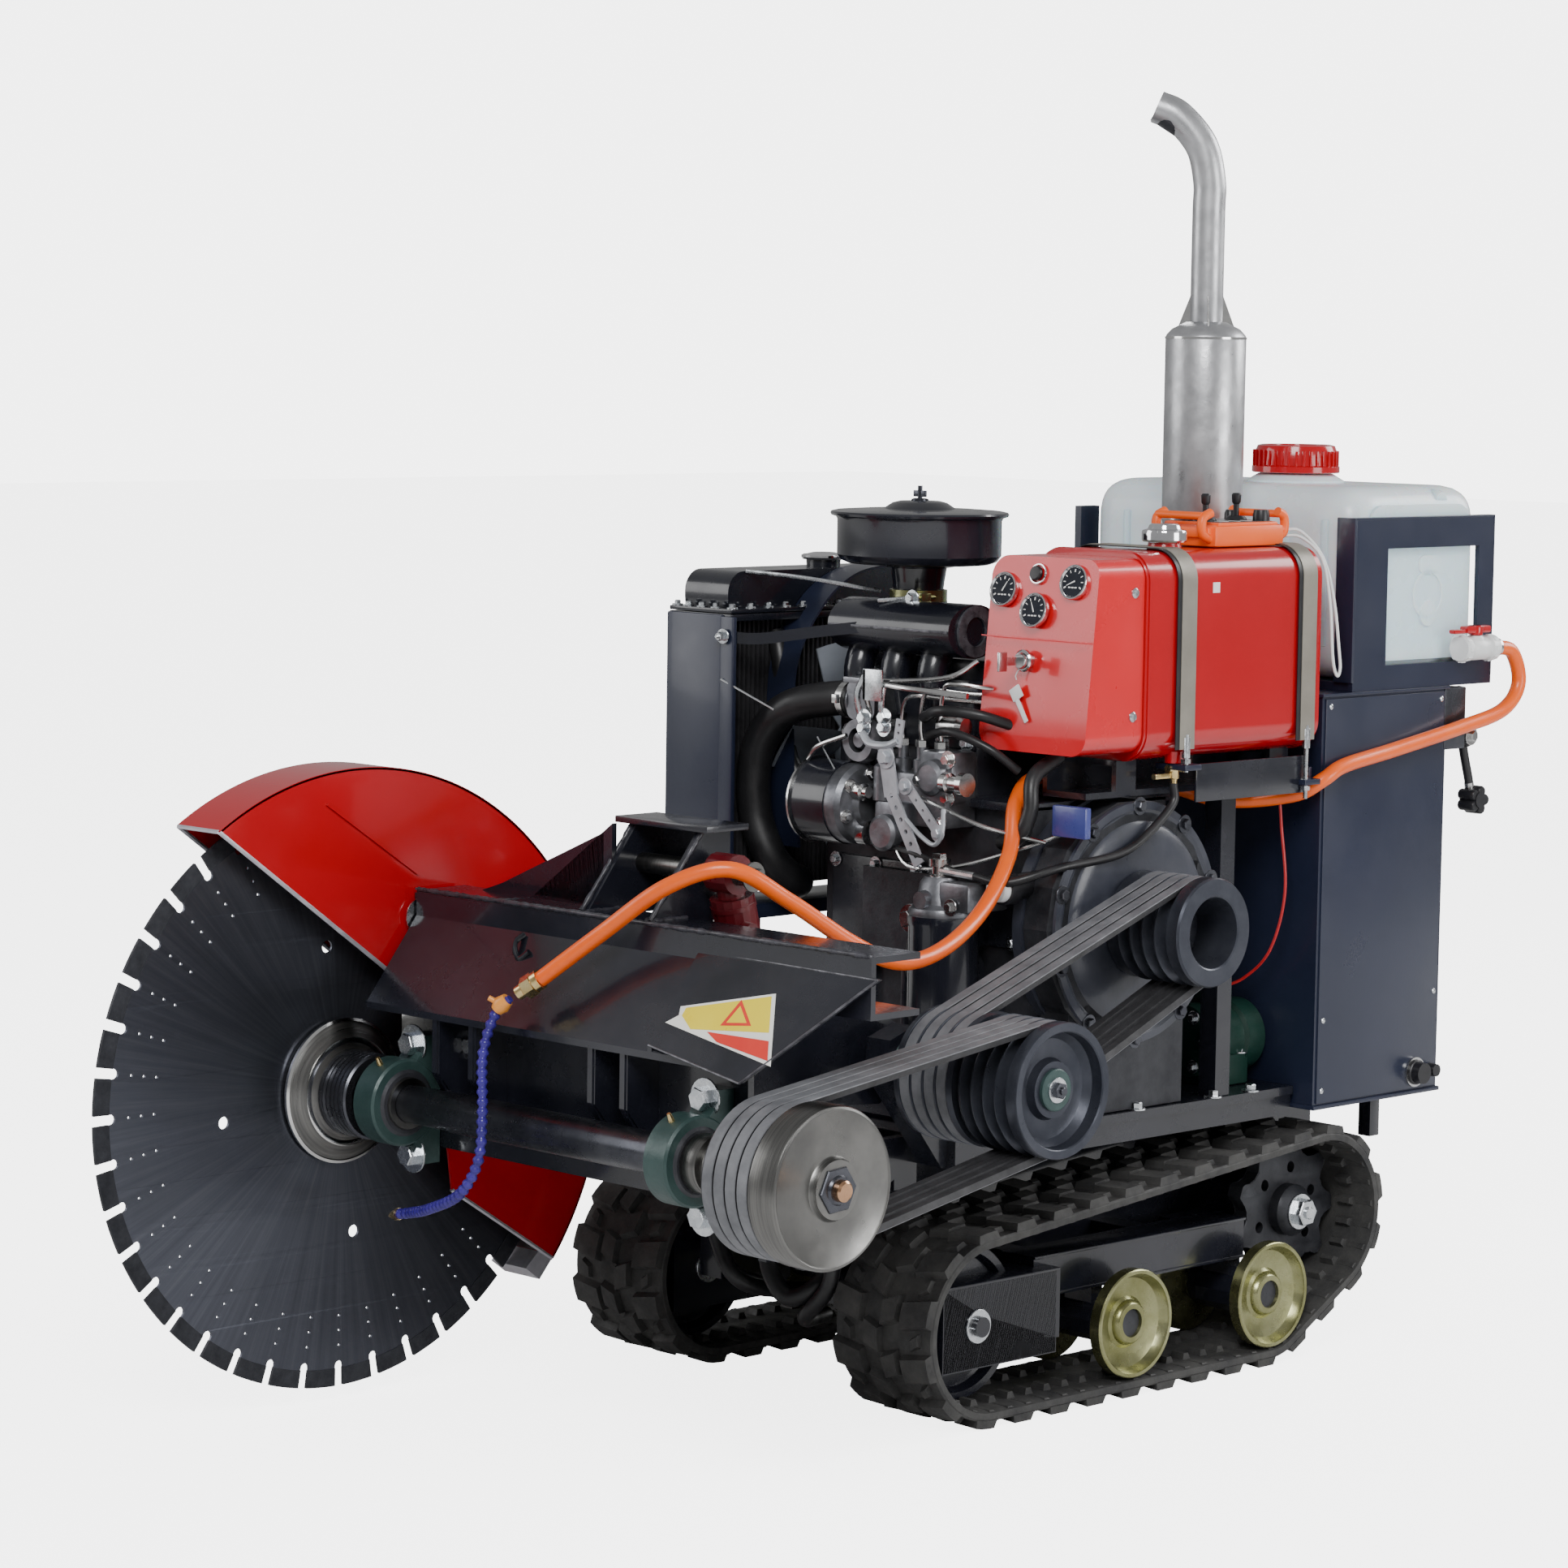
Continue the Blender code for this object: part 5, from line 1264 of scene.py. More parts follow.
crank = Piece("crank_pulley_cup", DARK_PULLEY, "crank", ("crank_pulley",))
cup = [(0.672, 0.0), (0.672, 0.07), (0.674, 0.072)]
cup += groove_profile(*ENGINE_BELTS, BELT_COUNT, 0.0735, 0.0135, 0.008)[1:-1]
cup += [
    (0.7985, 0.0735), (0.802, 0.0715), (0.802, 0.05), (0.8005, 0.048), (0.786, 0.045),
    (0.735, 0.043), (0.734, 0.026), (0.74, 0.023), (0.74, 0.0),
]
crank.lathe("X", CRANK, cup, 96)
crank.done()
crank_bolts = Piece("crank_pulley_bolts", BLUED, "crank")
crank_bolts.bolt((0.74, *CRANK), (1, 0, 0), 0.026, 0.01)
for i in range(4):
    crank_bolts.bolt((0.7345, *polar(0.034, 45 + 90 * i, CRANK)), (1, 0, 0), 0.012, 0.006, washer=False)
crank_bolts.done()

# ---------------------------------------------------------------- flywheel housing
HOUSING_PAINT = finish("housing_paint", (0.022, 0.025, 0.036), (0.046, 0.05, 0.068), (0.26, 0.46),
                       scale=10.0, grain=0.15, grain_scale=110.0, coat=0.15)
housing = Piece("flywheel_housing_cover", HOUSING_PAINT, "chassis")
housing.lathe("X", CRANK, [
    (0.662, 0.0), (0.662, 0.1655), (0.6655, 0.164), (0.6665, 0.154), (0.664, 0.15),
    (0.664, 0.138), (0.667, 0.134), (0.6695, 0.118), (0.6705, 0.09), (0.671, 0.074),
    (0.671, 0.0),
], 96)
housing.ring("X", CRANK, [(0.592, 0.15), (0.592, 0.1685), (0.608, 0.1685), (0.608, 0.15)], 72)
housing.done()
ring_bolts = Piece("flywheel_housing_bolts", BLUED, "chassis")
for i in range(10):
    ring_bolts.bolt((0.665, *polar(0.1585, 18 + 36 * i, CRANK)), (1, 0, 0), 0.013, 0.006)
ring_bolts.done()

# ---------------------------------------------------------------- jackshaft bearings
for x, name in ((0.282, "right"), (0.62, "left")):
    block = Piece(f"jackshaft_bearing_{name}", CASTING_GREEN, "chassis")
    block.ring("X", JACKSHAFT, [
        (x - 0.0235, 0.024), (x - 0.0235, 0.037), (x - 0.0205, 0.04), (x + 0.0205, 0.04),
        (x + 0.0235, 0.037), (x + 0.0235, 0.024),
    ], 48)
    block.done()

# ---------------------------------------------------------------- engine block, head and intake
ENGINE_PAINT = finish("engine_paint", (0.01, 0.011, 0.016), (0.026, 0.028, 0.038), (0.22, 0.42),
                      scale=12.0, grain=0.22, grain_scale=130.0, coat=0.1)
BLUE_PLATE = finish("engine_blue_plate", (0.035, 0.045, 0.2), (0.06, 0.075, 0.28), (0.24, 0.36),
                    scale=14.0, grain=0.1, grain_scale=120.0, coat=0.2)

manifold = Piece("intake_manifold", BLACK_PAINT, "chassis")
manifold_side = [
    (0.719 + 0.052 * math.cos(2 * math.pi * k / 28), 1.021 + 0.037 * math.sin(2 * math.pi * k / 28))
    for k in range(28)
]
manifold.prism("X", manifold_side, 0.236, 0.466, 0.004)
manifold.lathe("Z", (0.305, 0.775), [
    (1.0, 0.044), (1.04, 0.04), (1.054, 0.034), (1.062, 0.034), (1.08, 0.036), (1.08, 0.0),
], 40)
for x in (0.262, 0.332, 0.402):
    manifold.tube(smooth_path([(x, 0.722, 1.0), (x, 0.704, 0.96), (x, 0.714, 0.905)], 5), 0.021, 20)
manifold.done()
# A light strip along the middle of the manifold's round front: painted highlight. A light ring at its end
# has the same finish.
manifold_highlight = Piece("intake_manifold_painted_highlight", EDGE_HIGHLIGHT, "chassis")
manifold_highlight.box((0.238, 0.6655, 1.019), (0.464, 0.67, 1.023), 0.0008)
manifold_highlight.ring("X", (0.719, 1.021), [(0.464, 0.02), (0.464, 0.035), (0.47, 0.035), (0.47, 0.02)], 36)
manifold_highlight.done()

head = Piece("cylinder_head_casting", ENGINE_PAINT, "chassis", ("cylinder_head",))
head.box((0.215, 0.715, 0.7925), (0.478, 0.965, 0.945), 0.006)
head.box((0.35, 0.708, 0.86), (0.478, 0.716, 0.93), 0.003)
for x in (0.232, 0.27, 0.448):
    head.box((x, 0.709, 0.8), (x + 0.012, 0.716, 0.86), 0.002)
head.lathe("Y", (0.4, 0.82), [(0.704, 0.0), (0.704, 0.02), (0.708, 0.024), (0.716, 0.024), (0.716, 0.0)],
           32)
head.done()
THERMOSTAT_OUTLET = (0.672, 0.919)
housing = Piece("thermostat_housing", ALUMINIUM, "chassis")
housing.prism("Y", rounded((0.2905, 0.894), (0.344, 0.948), 0.014, 6), 0.652, 0.724, 0.005)
housing.lathe("X", THERMOSTAT_OUTLET, [(0.262, 0.0), (0.262, 0.0225), (0.292, 0.0225), (0.292, 0.0)], 32)
housing.box((0.284, 0.65, 0.944), (0.352, 0.7, 0.952), 0.002)
housing.done()
valve_cover = Piece("valve_cover", ENGINE_PAINT, "chassis")
valve_cover.box((0.232, 0.764, 0.944), (0.463, 0.922, 0.98), 0.01)
valve_cover.box((0.222, 0.756, 0.94), (0.472, 0.93, 0.95), 0.002)
for x in (0.29, 0.405):
    valve_cover.lathe("Z", (x, 0.87), [(0.978, 0.016), (0.99, 0.016), (0.993, 0.01), (0.993, 0.0)], 24)
valve_cover.done()

cleaner = Piece("air_cleaner_bowl", BLACK_PAINT, "chassis", ("air_filter",))
CLEANER = (0.305, 0.775)
cleaner.lathe("Z", CLEANER, [
    (1.08, 0.0), (1.08, 0.036), (1.099, 0.039), (1.103, 0.06), (1.105, 0.098),
    (1.109, 0.108), (1.117, 0.114), (1.165, 0.114), (1.169, 0.116), (1.171, 0.1225),
    (1.174, 0.124), (1.1765, 0.1225), (1.178, 0.116), (1.18, 0.085), (1.181, 0.05),
    (1.189, 0.038), (1.1915, 0.028), (1.192, 0.0),
], 96)
cleaner.done()
cleaner_trim = Piece("air_cleaner_wing_nut", BLUED, "chassis")
cleaner_trim.tube([(*CLEANER, 1.1915), (*CLEANER, 1.2125)], 0.0034, 12)
cleaner_trim.box((0.293, 0.7735, 1.197), (0.317, 0.7765, 1.206), 0.001)
cleaner_trim.lathe("Z", CLEANER, [(1.191, 0.012), (1.194, 0.012), (1.195, 0.009), (1.195, 0.0)], 24)
cleaner_trim.done()
clamp = Piece("air_cleaner_clamp", ZINC_YELLOW, "chassis")
clamp.ring("Z", CLEANER, [(1.053, 0.036), (1.053, 0.04), (1.069, 0.04), (1.069, 0.036)], 40)
clamp.box((0.34, 0.73, 1.055), (0.356, 0.748, 1.067), 0.0012)
clamp.tube([(0.35, 0.72, 1.061), (0.35, 0.76, 1.061)], 0.003, 8)
clamp.done()
support = Piece("air_cleaner_stay", ZINC_BLUE, "chassis")
support.tube(smooth_path([(0.1, 0.64, 1.088), (0.17, 0.69, 1.08), (0.27, 0.735, 1.066)], 5), 0.003, 8)
support.tube([(0.352, 0.722, 1.061), (0.31, 0.69, 1.056)], 0.0034, 8)
support.bolt((0.35, 0.718, 1.061), (0, -1, 0), 0.012, 0.008)
support.done()

block = Piece("engine_side_covers", ENGINE_PAINT, "chassis")
block.box((0.222, 0.698, 0.56), (0.395, 0.706, 0.7), 0.003)
block.box((0.405, 0.699, 0.6), (0.575, 0.706, 0.69), 0.003)
block.box((0.21, 0.696, 0.39), (0.585, 0.706, 0.43), 0.003)
block.box((0.196, 0.69, 0.425), (0.6, 0.985, 0.436), 0.002)
for x in (0.24, 0.3, 0.36, 0.42, 0.48, 0.54):
    block.box((x, 0.696, 0.44), (x + 0.008, 0.706, 0.55), 0.002)
block.box((0.205, 0.69, 0.786), (0.592, 0.99, 0.798), 0.002)
block.lathe("Y", (0.47, 0.56), [(0.69, 0.0), (0.69, 0.034), (0.694, 0.038), (0.706, 0.04), (0.706, 0.0)],
            36)
block.lathe("X", (0.835, 0.76), [(0.164, 0.0), (0.164, 0.03), (0.172, 0.034), (0.206, 0.04),
                                 (0.206, 0.0)], 32)
block.done()
block_bolts = Piece("engine_cover_bolts", ZINC_BLUE, "chassis")
for x in (0.23, 0.308, 0.386):
    for z in (0.568, 0.692):
        block_bolts.bolt((x, 0.6975, z), (0, -1, 0), 0.011, 0.006)
for x in (0.414, 0.566):
    for z in (0.608, 0.682):
        block_bolts.bolt((x, 0.6985, z), (0, -1, 0), 0.011, 0.006)
for x in (0.24, 0.33, 0.42, 0.465):
    block_bolts.bolt((x, 0.71, 0.87), (0, -1, 0), 0.013, 0.008)
for x in (0.226, 0.468):
    for y in (0.764, 0.842, 0.922):
        block_bolts.bolt((x, y, 0.95), (0, 0, 1), 0.011, 0.006)
block_bolts.done()

# injection pump with its fuel pipes
PUMP_OUTLETS = (0.385, 0.421, 0.457)
pump = Piece("injection_pump_body", ALUMINIUM, "chassis", ("injection_pump",))
pump.box((0.364, 0.642, 0.758), (0.49, 0.704, 0.83), 0.006)
pump.box((0.43, 0.652, 0.79), (0.492, 0.704, 0.862), 0.008)
pump.box((0.372, 0.626, 0.736), (0.428, 0.66, 0.79), 0.006)
pump.lathe("Y", (0.398, 0.748), [(0.612, 0.0), (0.612, 0.02), (0.616, 0.025), (0.63, 0.026),
                                 (0.63, 0.0)], 36)
pump.lathe("Y", (0.462, 0.826), [(0.636, 0.0), (0.636, 0.018), (0.64, 0.024), (0.655, 0.026),
                                 (0.655, 0.0)], 32)
pump.lathe("Z", (0.378, 0.64), [(0.79, 0.0), (0.79, 0.016), (0.836, 0.015), (0.84, 0.01), (0.84, 0.0)],
           24)
for x in PUMP_OUTLETS:
    pump.lathe("Z", (x, 0.668), [(0.828, 0.0), (0.828, 0.012), (0.846, 0.012), (0.848, 0.008),
                                 (0.866, 0.008), (0.866, 0.0)], 20)
pump.done()
pump_steel = Piece("injection_pump_fittings", STEEL, "chassis")
for x in PUMP_OUTLETS:
    pump_steel.bolt((x, 0.668, 0.864), (0, 0, 1), 0.017, 0.01, washer=False)
for x, z in ((0.37, 0.822), (0.484, 0.766), (0.37, 0.768), (0.44, 0.822)):
    pump_steel.bolt((x, 0.642, z), (0, -1, 0), 0.01, 0.006)
pump_steel.bolt((0.486, 0.652, 0.852), (0, -1, 0), 0.013, 0.008)
pump_steel.bolt((0.486, 0.652, 0.8), (0, -1, 0), 0.013, 0.008)
pump_steel.lathe("X", (0.64, 0.822), [(0.49, 0.0), (0.49, 0.014), (0.5, 0.014), (0.502, 0.01),
                                      (0.52, 0.01), (0.522, 0.016), (0.532, 0.016), (0.532, 0.0)], 24)
pump_steel.lathe("X", (0.676, 0.895), [(0.452, 0.0), (0.452, 0.016), (0.462, 0.018), (0.488, 0.018),
                                       (0.494, 0.012), (0.494, 0.0)], 24)
pump_steel.done()
pipes = Piece("fuel_pipes", STEEL, "chassis")
for i, x in enumerate(PUMP_OUTLETS):
    level = 0.925 + 0.01 * i
    pipes.tube(smooth_path([
        (x, 0.668, 0.87), (x, 0.664, 0.895), (x + 0.01, 0.66, level), (x + 0.03, 0.664, level + 0.008),
        (x + 0.06, 0.69, level + 0.004), (0.53, 0.74, level),
    ], 6), 0.0033, 10)
pipes.tube(smooth_path([(0.348, 0.64, 0.905), (0.352, 0.626, 0.95), (0.392, 0.64, 0.952),
                        (0.47, 0.668, 0.962), (0.5, 0.69, 0.985)], 6), 0.0036, 10)
pipes.tube(smooth_path([(0.385, 0.628, 0.948), (0.44, 0.628, 0.945), (0.52, 0.65, 0.94)], 6), 0.0042, 10)
pipes.tube(smooth_path([(0.4, 0.632, 0.745), (0.446, 0.618, 0.708), (0.52, 0.63, 0.712),
                        (0.585, 0.672, 0.735), (0.64, 0.71, 0.76)], 6), 0.003, 8)
pipes.tube(smooth_path([(0.42, 0.626, 0.812), (0.5, 0.62, 0.792), (0.57, 0.64, 0.768),
                        (0.63, 0.69, 0.75)], 6), 0.003, 8)
pipes.done()
clips = Piece("engine_pipe_brackets", ZINC_BLUE, "chassis")
clips.box((0.352, 0.62, 0.925), (0.388, 0.624, 0.968), 0.001)
clips.box((0.352, 0.62, 0.925), (0.358, 0.648, 0.968), 0.001)
clips.tube(smooth_path([(0.346, 0.63, 0.958), (0.338, 0.624, 0.93), (0.344, 0.63, 0.895),
                        (0.35, 0.64, 0.878)], 6), 0.0045, 10)
clips.tube(smooth_path([(0.383, 0.63, 0.95), (0.385, 0.624, 0.915), (0.392, 0.632, 0.89)], 6), 0.0045,
           10)
for z in (0.886, 0.9):
    clips.bolt((0.35, 0.628, z), (0, -1, 0.1), 0.013, 0.008)
    clips.bolt((0.392, 0.624, z + 0.004), (0, -1, 0.1), 0.013, 0.008)
clips.done()

# slotted adjusting link and throttle levers
ZINC_DULL = finish("dull_zinc", (0.36, 0.38, 0.41), (0.54, 0.56, 0.6), (0.4, 0.56), metallic=0.55,
                   scale=30.0)
link = Piece("adjusting_links", ZINC_DULL, "chassis")


def slotted_bar(piece, start, end, width, thickness, slots):
    """A flat bar facing the front, from start to end in X and Z, with holes along it."""
    a, b = Vector((start[0], start[2])), Vector((end[0], end[2]))
    heading = (b - a).normalized()
    side = Vector((-heading.y, heading.x)) * width / 2
    outline = [tuple(a + side), tuple(a - side), tuple(b - side), tuple(b + side)]
    holes = []
    for i in range(slots):
        middle = a.lerp(b, (i + 0.7) / (slots + 0.4))
        holes.append(circle(tuple(middle), width * 0.16, 10))
    plate(piece, "Y", outline, holes, start[1], start[1] + thickness)


slotted_bar(link, (0.404, 0.61, 0.872), (0.42, 0.61, 0.8), 0.026, 0.003, 0)
slotted_bar(link, (0.414, 0.6095, 0.812), (0.474, 0.6095, 0.712), 0.02, 0.003, 6)
slotted_bar(link, (0.448, 0.607, 0.82), (0.516, 0.607, 0.752), 0.014, 0.003, 5)
slotted_bar(link, (0.436, 0.608, 0.905), (0.43, 0.608, 0.868), 0.014, 0.003, 3)
link.tube(smooth_path([(0.356, 0.618, 0.88), (0.376, 0.612, 0.868), (0.41, 0.61, 0.868),
                       (0.432, 0.61, 0.876)], 6), 0.0055, 10)
link.tube(smooth_path([(0.516, 0.612, 0.79), (0.52, 0.606, 0.76), (0.506, 0.606, 0.742),
                       (0.48, 0.606, 0.752), (0.452, 0.606, 0.772)], 6), 0.0032, 8)
link.bolt((0.41, 0.6095, 0.852), (0, -1, 0), 0.016, 0.008)
link.bolt((0.45, 0.6065, 0.816), (0, -1, 0), 0.012, 0.006)
link.bolt((0.512, 0.6065, 0.758), (0, -1, 0), 0.012, 0.006)
link.done()

ALTERNATOR = (0.645, 0.78)
alternator = Piece("alternator_body", ALUMINIUM, "chassis", ("alternator",))
alternator.lathe("X", ALTERNATOR, [
    (0.246, 0.0), (0.246, 0.048), (0.25, 0.054), (0.2535, 0.0555), (0.26, 0.05), (0.264, 0.05),
    (0.266, 0.0555), (0.33, 0.0555), (0.337, 0.05), (0.341, 0.03), (0.35, 0.026), (0.35, 0.0),
], 48)
alternator.done()
alternator_black = Piece("alternator_stator", BLACK_PAINT, "chassis")
alternator_black.ring("X", ALTERNATOR, [(0.246, 0.05), (0.246, 0.0572), (0.31, 0.0572), (0.31, 0.05)],
                      48)
alternator_black.lathe("X", ALTERNATOR, [(0.236, 0.0), (0.236, 0.034), (0.24, 0.036), (0.243, 0.028),
                                         (0.246, 0.036), (0.248, 0.036), (0.248, 0.0)], 40)
alternator_black.done()
alternator_trim = Piece("alternator_terminals", STEEL, "chassis")
for i in range(6):
    alternator_trim.bolt((0.3385, *polar(0.042, 60 * i + 20, ALTERNATOR)), (1, -0.2, 0), 0.01, 0.006)
alternator_trim.lathe("X", (0.64, 0.742), [(0.336, 0.0), (0.336, 0.017), (0.352, 0.017), (0.354, 0.013),
                                           (0.354, 0.0)], 24)
alternator_trim.lathe("X", (0.622, 0.8), [(0.336, 0.0), (0.336, 0.012), (0.356, 0.012), (0.358, 0.008),
                                          (0.366, 0.008), (0.366, 0.0)], 20)
alternator_trim.ring("X", ALTERNATOR, [(0.243, 0.055), (0.243, 0.061), (0.2465, 0.061), (0.2465, 0.055)],
                     48)
alternator_trim.tube(smooth_path([(0.245, *polar(0.06, 110, ALTERNATOR)), (0.27, 0.618, 0.856),
                                  (0.318, 0.625, 0.874)], 5), 0.0036, 8)
alternator_trim.done()
water_pump = Piece("water_pump_pulley", ALUMINIUM, "chassis")
water_pump.ring("Y", (0.33, 0.868), [(0.634, 0.017), (0.634, 0.029), (0.64, 0.031), (0.652, 0.031),
                                     (0.652, 0.017)], 36)
water_pump.lathe("Y", (0.33, 0.868), [(0.636, 0.0), (0.636, 0.01), (0.642, 0.013), (0.705, 0.016),
                                      (0.705, 0.0)], 28)
water_pump.done()

# oil filter below, with its casting
filter_can = Piece("oil_filter_can", BLACK_PAINT, "chassis", ("oil_filter",))
OIL_FILTER = (0.502, 0.63)
filter_can.lathe("Z", OIL_FILTER, [
    (0.5, 0.0), (0.5, 0.038), (0.504, 0.045), (0.512, 0.048), (0.632, 0.048), (0.636, 0.05),
    (0.646, 0.05), (0.646, 0.0),
], 56)
filter_can.box((0.487, 0.66, 0.6), (0.521, 0.704, 0.64), 0.004)
filter_can.done()
filter_head = Piece("oil_filter_head", ALUMINIUM, "chassis")
filter_head.lathe("Z", OIL_FILTER, [
    (0.646, 0.0), (0.646, 0.0475), (0.65, 0.048), (0.656, 0.046), (0.662, 0.038), (0.69, 0.032),
    (0.698, 0.026), (0.698, 0.0),
], 48)
filter_head.box((0.52, 0.6, 0.655), (0.575, 0.68, 0.695), 0.006)
filter_head.lathe("Y", (0.5, 0.668), [(0.585, 0.0), (0.585, 0.012), (0.6, 0.014), (0.62, 0.014),
                                      (0.62, 0.0)], 20)
filter_head.done()
filter_trim = Piece("oil_filter_fittings", STEEL, "chassis")
filter_trim.lathe("Z", (0.5, 0.622), [(0.66, 0.0), (0.66, 0.013), (0.7, 0.013), (0.702, 0.01),
                                      (0.712, 0.01), (0.712, 0.014), (0.722, 0.014), (0.722, 0.0)], 24)
filter_trim.bolt((0.5, 0.622, 0.722), (0, 0, 1), 0.018, 0.008, washer=False)
filter_trim.tube([(0.505, 0.62, 0.707), (0.566, 0.622, 0.704)], 0.0058, 10)
filter_trim.bolt((0.47, 0.6, 0.64), (0, -1, 0), 0.02, 0.01)
for x in (0.496, 0.546):
    filter_trim.bolt((x, 0.598, 0.662), (0, -1, 0), 0.012, 0.006)
filter_trim.done()
DRAIN_KNOB = (0.604, 0.69)
knob = Piece("filter_drain_knob", WHITE_PLASTIC, "chassis")
knob.lathe("Y", DRAIN_KNOB, [(0.618, 0.0), (0.618, 0.012), (0.622, 0.017), (0.634, 0.018), (0.634, 0.0)],
           28)
knob.done()
knob_band = Piece("filter_drain_body", BLACK_PLASTIC, "chassis")
knob_band.lathe("Y", DRAIN_KNOB, [(0.634, 0.0), (0.634, 0.022), (0.652, 0.022), (0.652, 0.016),
                                  (0.7, 0.016), (0.7, 0.0)], 28)
knob_band.done()

rubber_lines = Piece("engine_rubber_lines", HOSE_RUBBER, "chassis")
rubber_lines.tube(smooth_path([(0.478, 0.652, 0.72), (0.462, 0.64, 0.655), (0.448, 0.632, 0.6),
                               (0.446, 0.64, 0.545), (0.47, 0.66, 0.5)], 6), 0.012, 14)
rubber_lines.tube(smooth_path([(0.566, 0.622, 0.704), (0.62, 0.628, 0.7), (0.66, 0.69, 0.72),
                               (0.676, 0.8, 0.736), (0.68, 0.884, 0.79), (0.679, 0.89, 0.822)], 8),
                               0.006, 12)
rubber_lines.tube(smooth_path([(0.6, 0.745, 0.86), (0.606, 0.69, 0.835), (0.612, 0.678, 0.79),
                               (0.596, 0.672, 0.755), (0.56, 0.68, 0.745)], 8), 0.0105, 14)
rubber_lines.tube(smooth_path([(0.4, 0.63, 0.73), (0.47, 0.612, 0.725), (0.56, 0.64, 0.7),
                               (0.65, 0.704, 0.715)], 6), 0.004, 10)
rubber_lines.tube(smooth_path([(0.43, 0.66, 0.905), (0.48, 0.64, 0.918), (0.53, 0.66, 0.915),
                               (0.56, 0.7, 0.9)], 6), 0.0075, 12)
rubber_lines.tube(smooth_path([(0.43, 0.668, 0.88), (0.49, 0.65, 0.89), (0.545, 0.668, 0.87),
                               (0.57, 0.7, 0.84)], 6), 0.006, 12)
rubber_lines.done()
plate_blue = Piece("engine_blue_plate", BLUE_PLATE, "chassis")
plate_blue.box((0.64, 0.69, 0.76), (0.7, 0.702, 0.802), 0.003)
plate_blue.done()

# fan, its guard band and the large hose
fan = Piece("fan_blades", finish("fan_grey", (0.26, 0.29, 0.34), (0.38, 0.41, 0.46), (0.28, 0.42),
                                 scale=10.0, grain=0.1, grain_scale=150.0), "fan", ("cooling_fan",))
FAN = (0.835, 0.835)
for i in range(5):
    angle = math.radians(72 * i + 33)
    shape = bmesh.new()
    rows = []
    for k in range(6):
        reach = 0.03 + 0.126 * k / 5
        half = 0.26 + 0.1 * k / 5
        row = []
        for share in (-1.0, -0.5, 0.0, 0.5, 1.0):
            turn = angle + share * half * (0.085 / max(reach, 0.06))
            at = (0.134 - 0.02 * share, FAN[0] + reach * math.cos(turn), FAN[1] + reach * math.sin(turn))
            row.append((shape.verts.new(place(at)), shape.verts.new(place((at[0] + 0.0022, at[1],
                                                                           at[2])))))
        rows.append(row)
    for a, b in zip(rows, rows[1:]):
        for j in range(4):
            for side in (0, 1):
                shape.faces.new((a[j][side], a[j + 1][side], b[j + 1][side], b[j][side]))
        for j in (0, 4):
            shape.faces.new((a[j][0], a[j][1], b[j][1], b[j][0]))
    for row in (rows[0], rows[-1]):
        for j in range(4):
            shape.faces.new((row[j][0], row[j + 1][0], row[j + 1][1], row[j][1]))
    fan.add(shape)
fan.lathe("X", FAN, [(0.118, 0.0), (0.118, 0.034), (0.124, 0.04), (0.148, 0.04), (0.152, 0.034),
                     (0.2, 0.026), (0.2, 0.0)], 32)
fan.done()
band_piece = Piece("fan_guard_band", NAVY, "chassis")
band_points = smooth_path([
    (0.127, 0.88, 1.096), (0.127, 0.813, 1.086), (0.127, 0.763, 1.061), (0.127, 0.725, 1.024),
    (0.127, 0.7, 0.986), (0.127, 0.687, 0.949), (0.127, 0.683, 0.9), (0.127, 0.684, 0.84),
    (0.127, 0.688, 0.77), (0.127, 0.7, 0.7),
], 6)
band_piece.strip(band_points, "X", 0.052, 0.0035)
band_piece.done()
stay = Piece("radiator_stays", BLACK_PAINT, "chassis")
stay.strip(smooth_path([(0.112, 0.584, 1.0), (0.16, 0.608, 0.998), (0.23, 0.65, 1.01),
                        (0.3, 0.67, 1.02)], 6), "Z", 0.016, 0.004)
stay.done()
stay_bolt = Piece("radiator_stay_bolt", ZINC_BLUE, "chassis")
stay_bolt.bolt((0.118, 0.581, 1.0), (0.1, -1, 0), 0.011, 0.01, stud=0.004)
stay_bolt.tube([(0.112, 0.583, 0.94), (0.196, 0.605, 0.902)], 0.0014, 6)
stay_bolt.tube([(0.262, 0.625, 0.868), (0.33, 0.61, 0.806)], 0.0016, 6)
stay_bolt.done()
LOWER_OUTLET = (0.72, 0.65)
big_hose = Piece("radiator_lower_hose", HOSE_RUBBER, "chassis", ("radiator_hose",))
big_hose.tube(smooth_path([
    (0.289, 0.672, 0.919), (0.262, 0.672, 0.92), (0.19, 0.653, 0.906), (0.145, 0.648, 0.876),
    (0.119, 0.645, 0.825), (0.119, 0.646, 0.752), (0.14, 0.656, 0.69), (0.148, 0.69, 0.655),
    (0.13, 0.718, 0.65), (0.105, 0.72, 0.65), (0.088, 0.72, 0.65),
], 10), 0.0242, 32)
big_hose.done(60.0)
hose_clamps = Piece("radiator_hose_clamps", STEEL, "chassis")
hose_clamps.ring("X", THERMOSTAT_OUTLET, [(0.272, 0.0235), (0.272, 0.0258), (0.283, 0.0258),
                                          (0.283, 0.0235)], 36)
hose_clamps.box((0.2725, 0.64, 0.915), (0.2825, 0.65, 0.927), 0.001)
hose_clamps.ring("X", LOWER_OUTLET, [(0.093, 0.0235), (0.093, 0.0258), (0.103, 0.0258), (0.103, 0.0235)],
                 36)
hose_clamps.done()
upper_hose = Piece("radiator_bypass_hose", HOSE_RUBBER, "chassis")
upper_hose.tube(smooth_path([(0.094, 0.705, 1.0), (0.11, 0.7, 0.965), (0.118, 0.698, 0.9),
                             (0.128, 0.7, 0.83), (0.16, 0.705, 0.78)], 8), 0.0135, 18)
upper_hose.done(60.0)

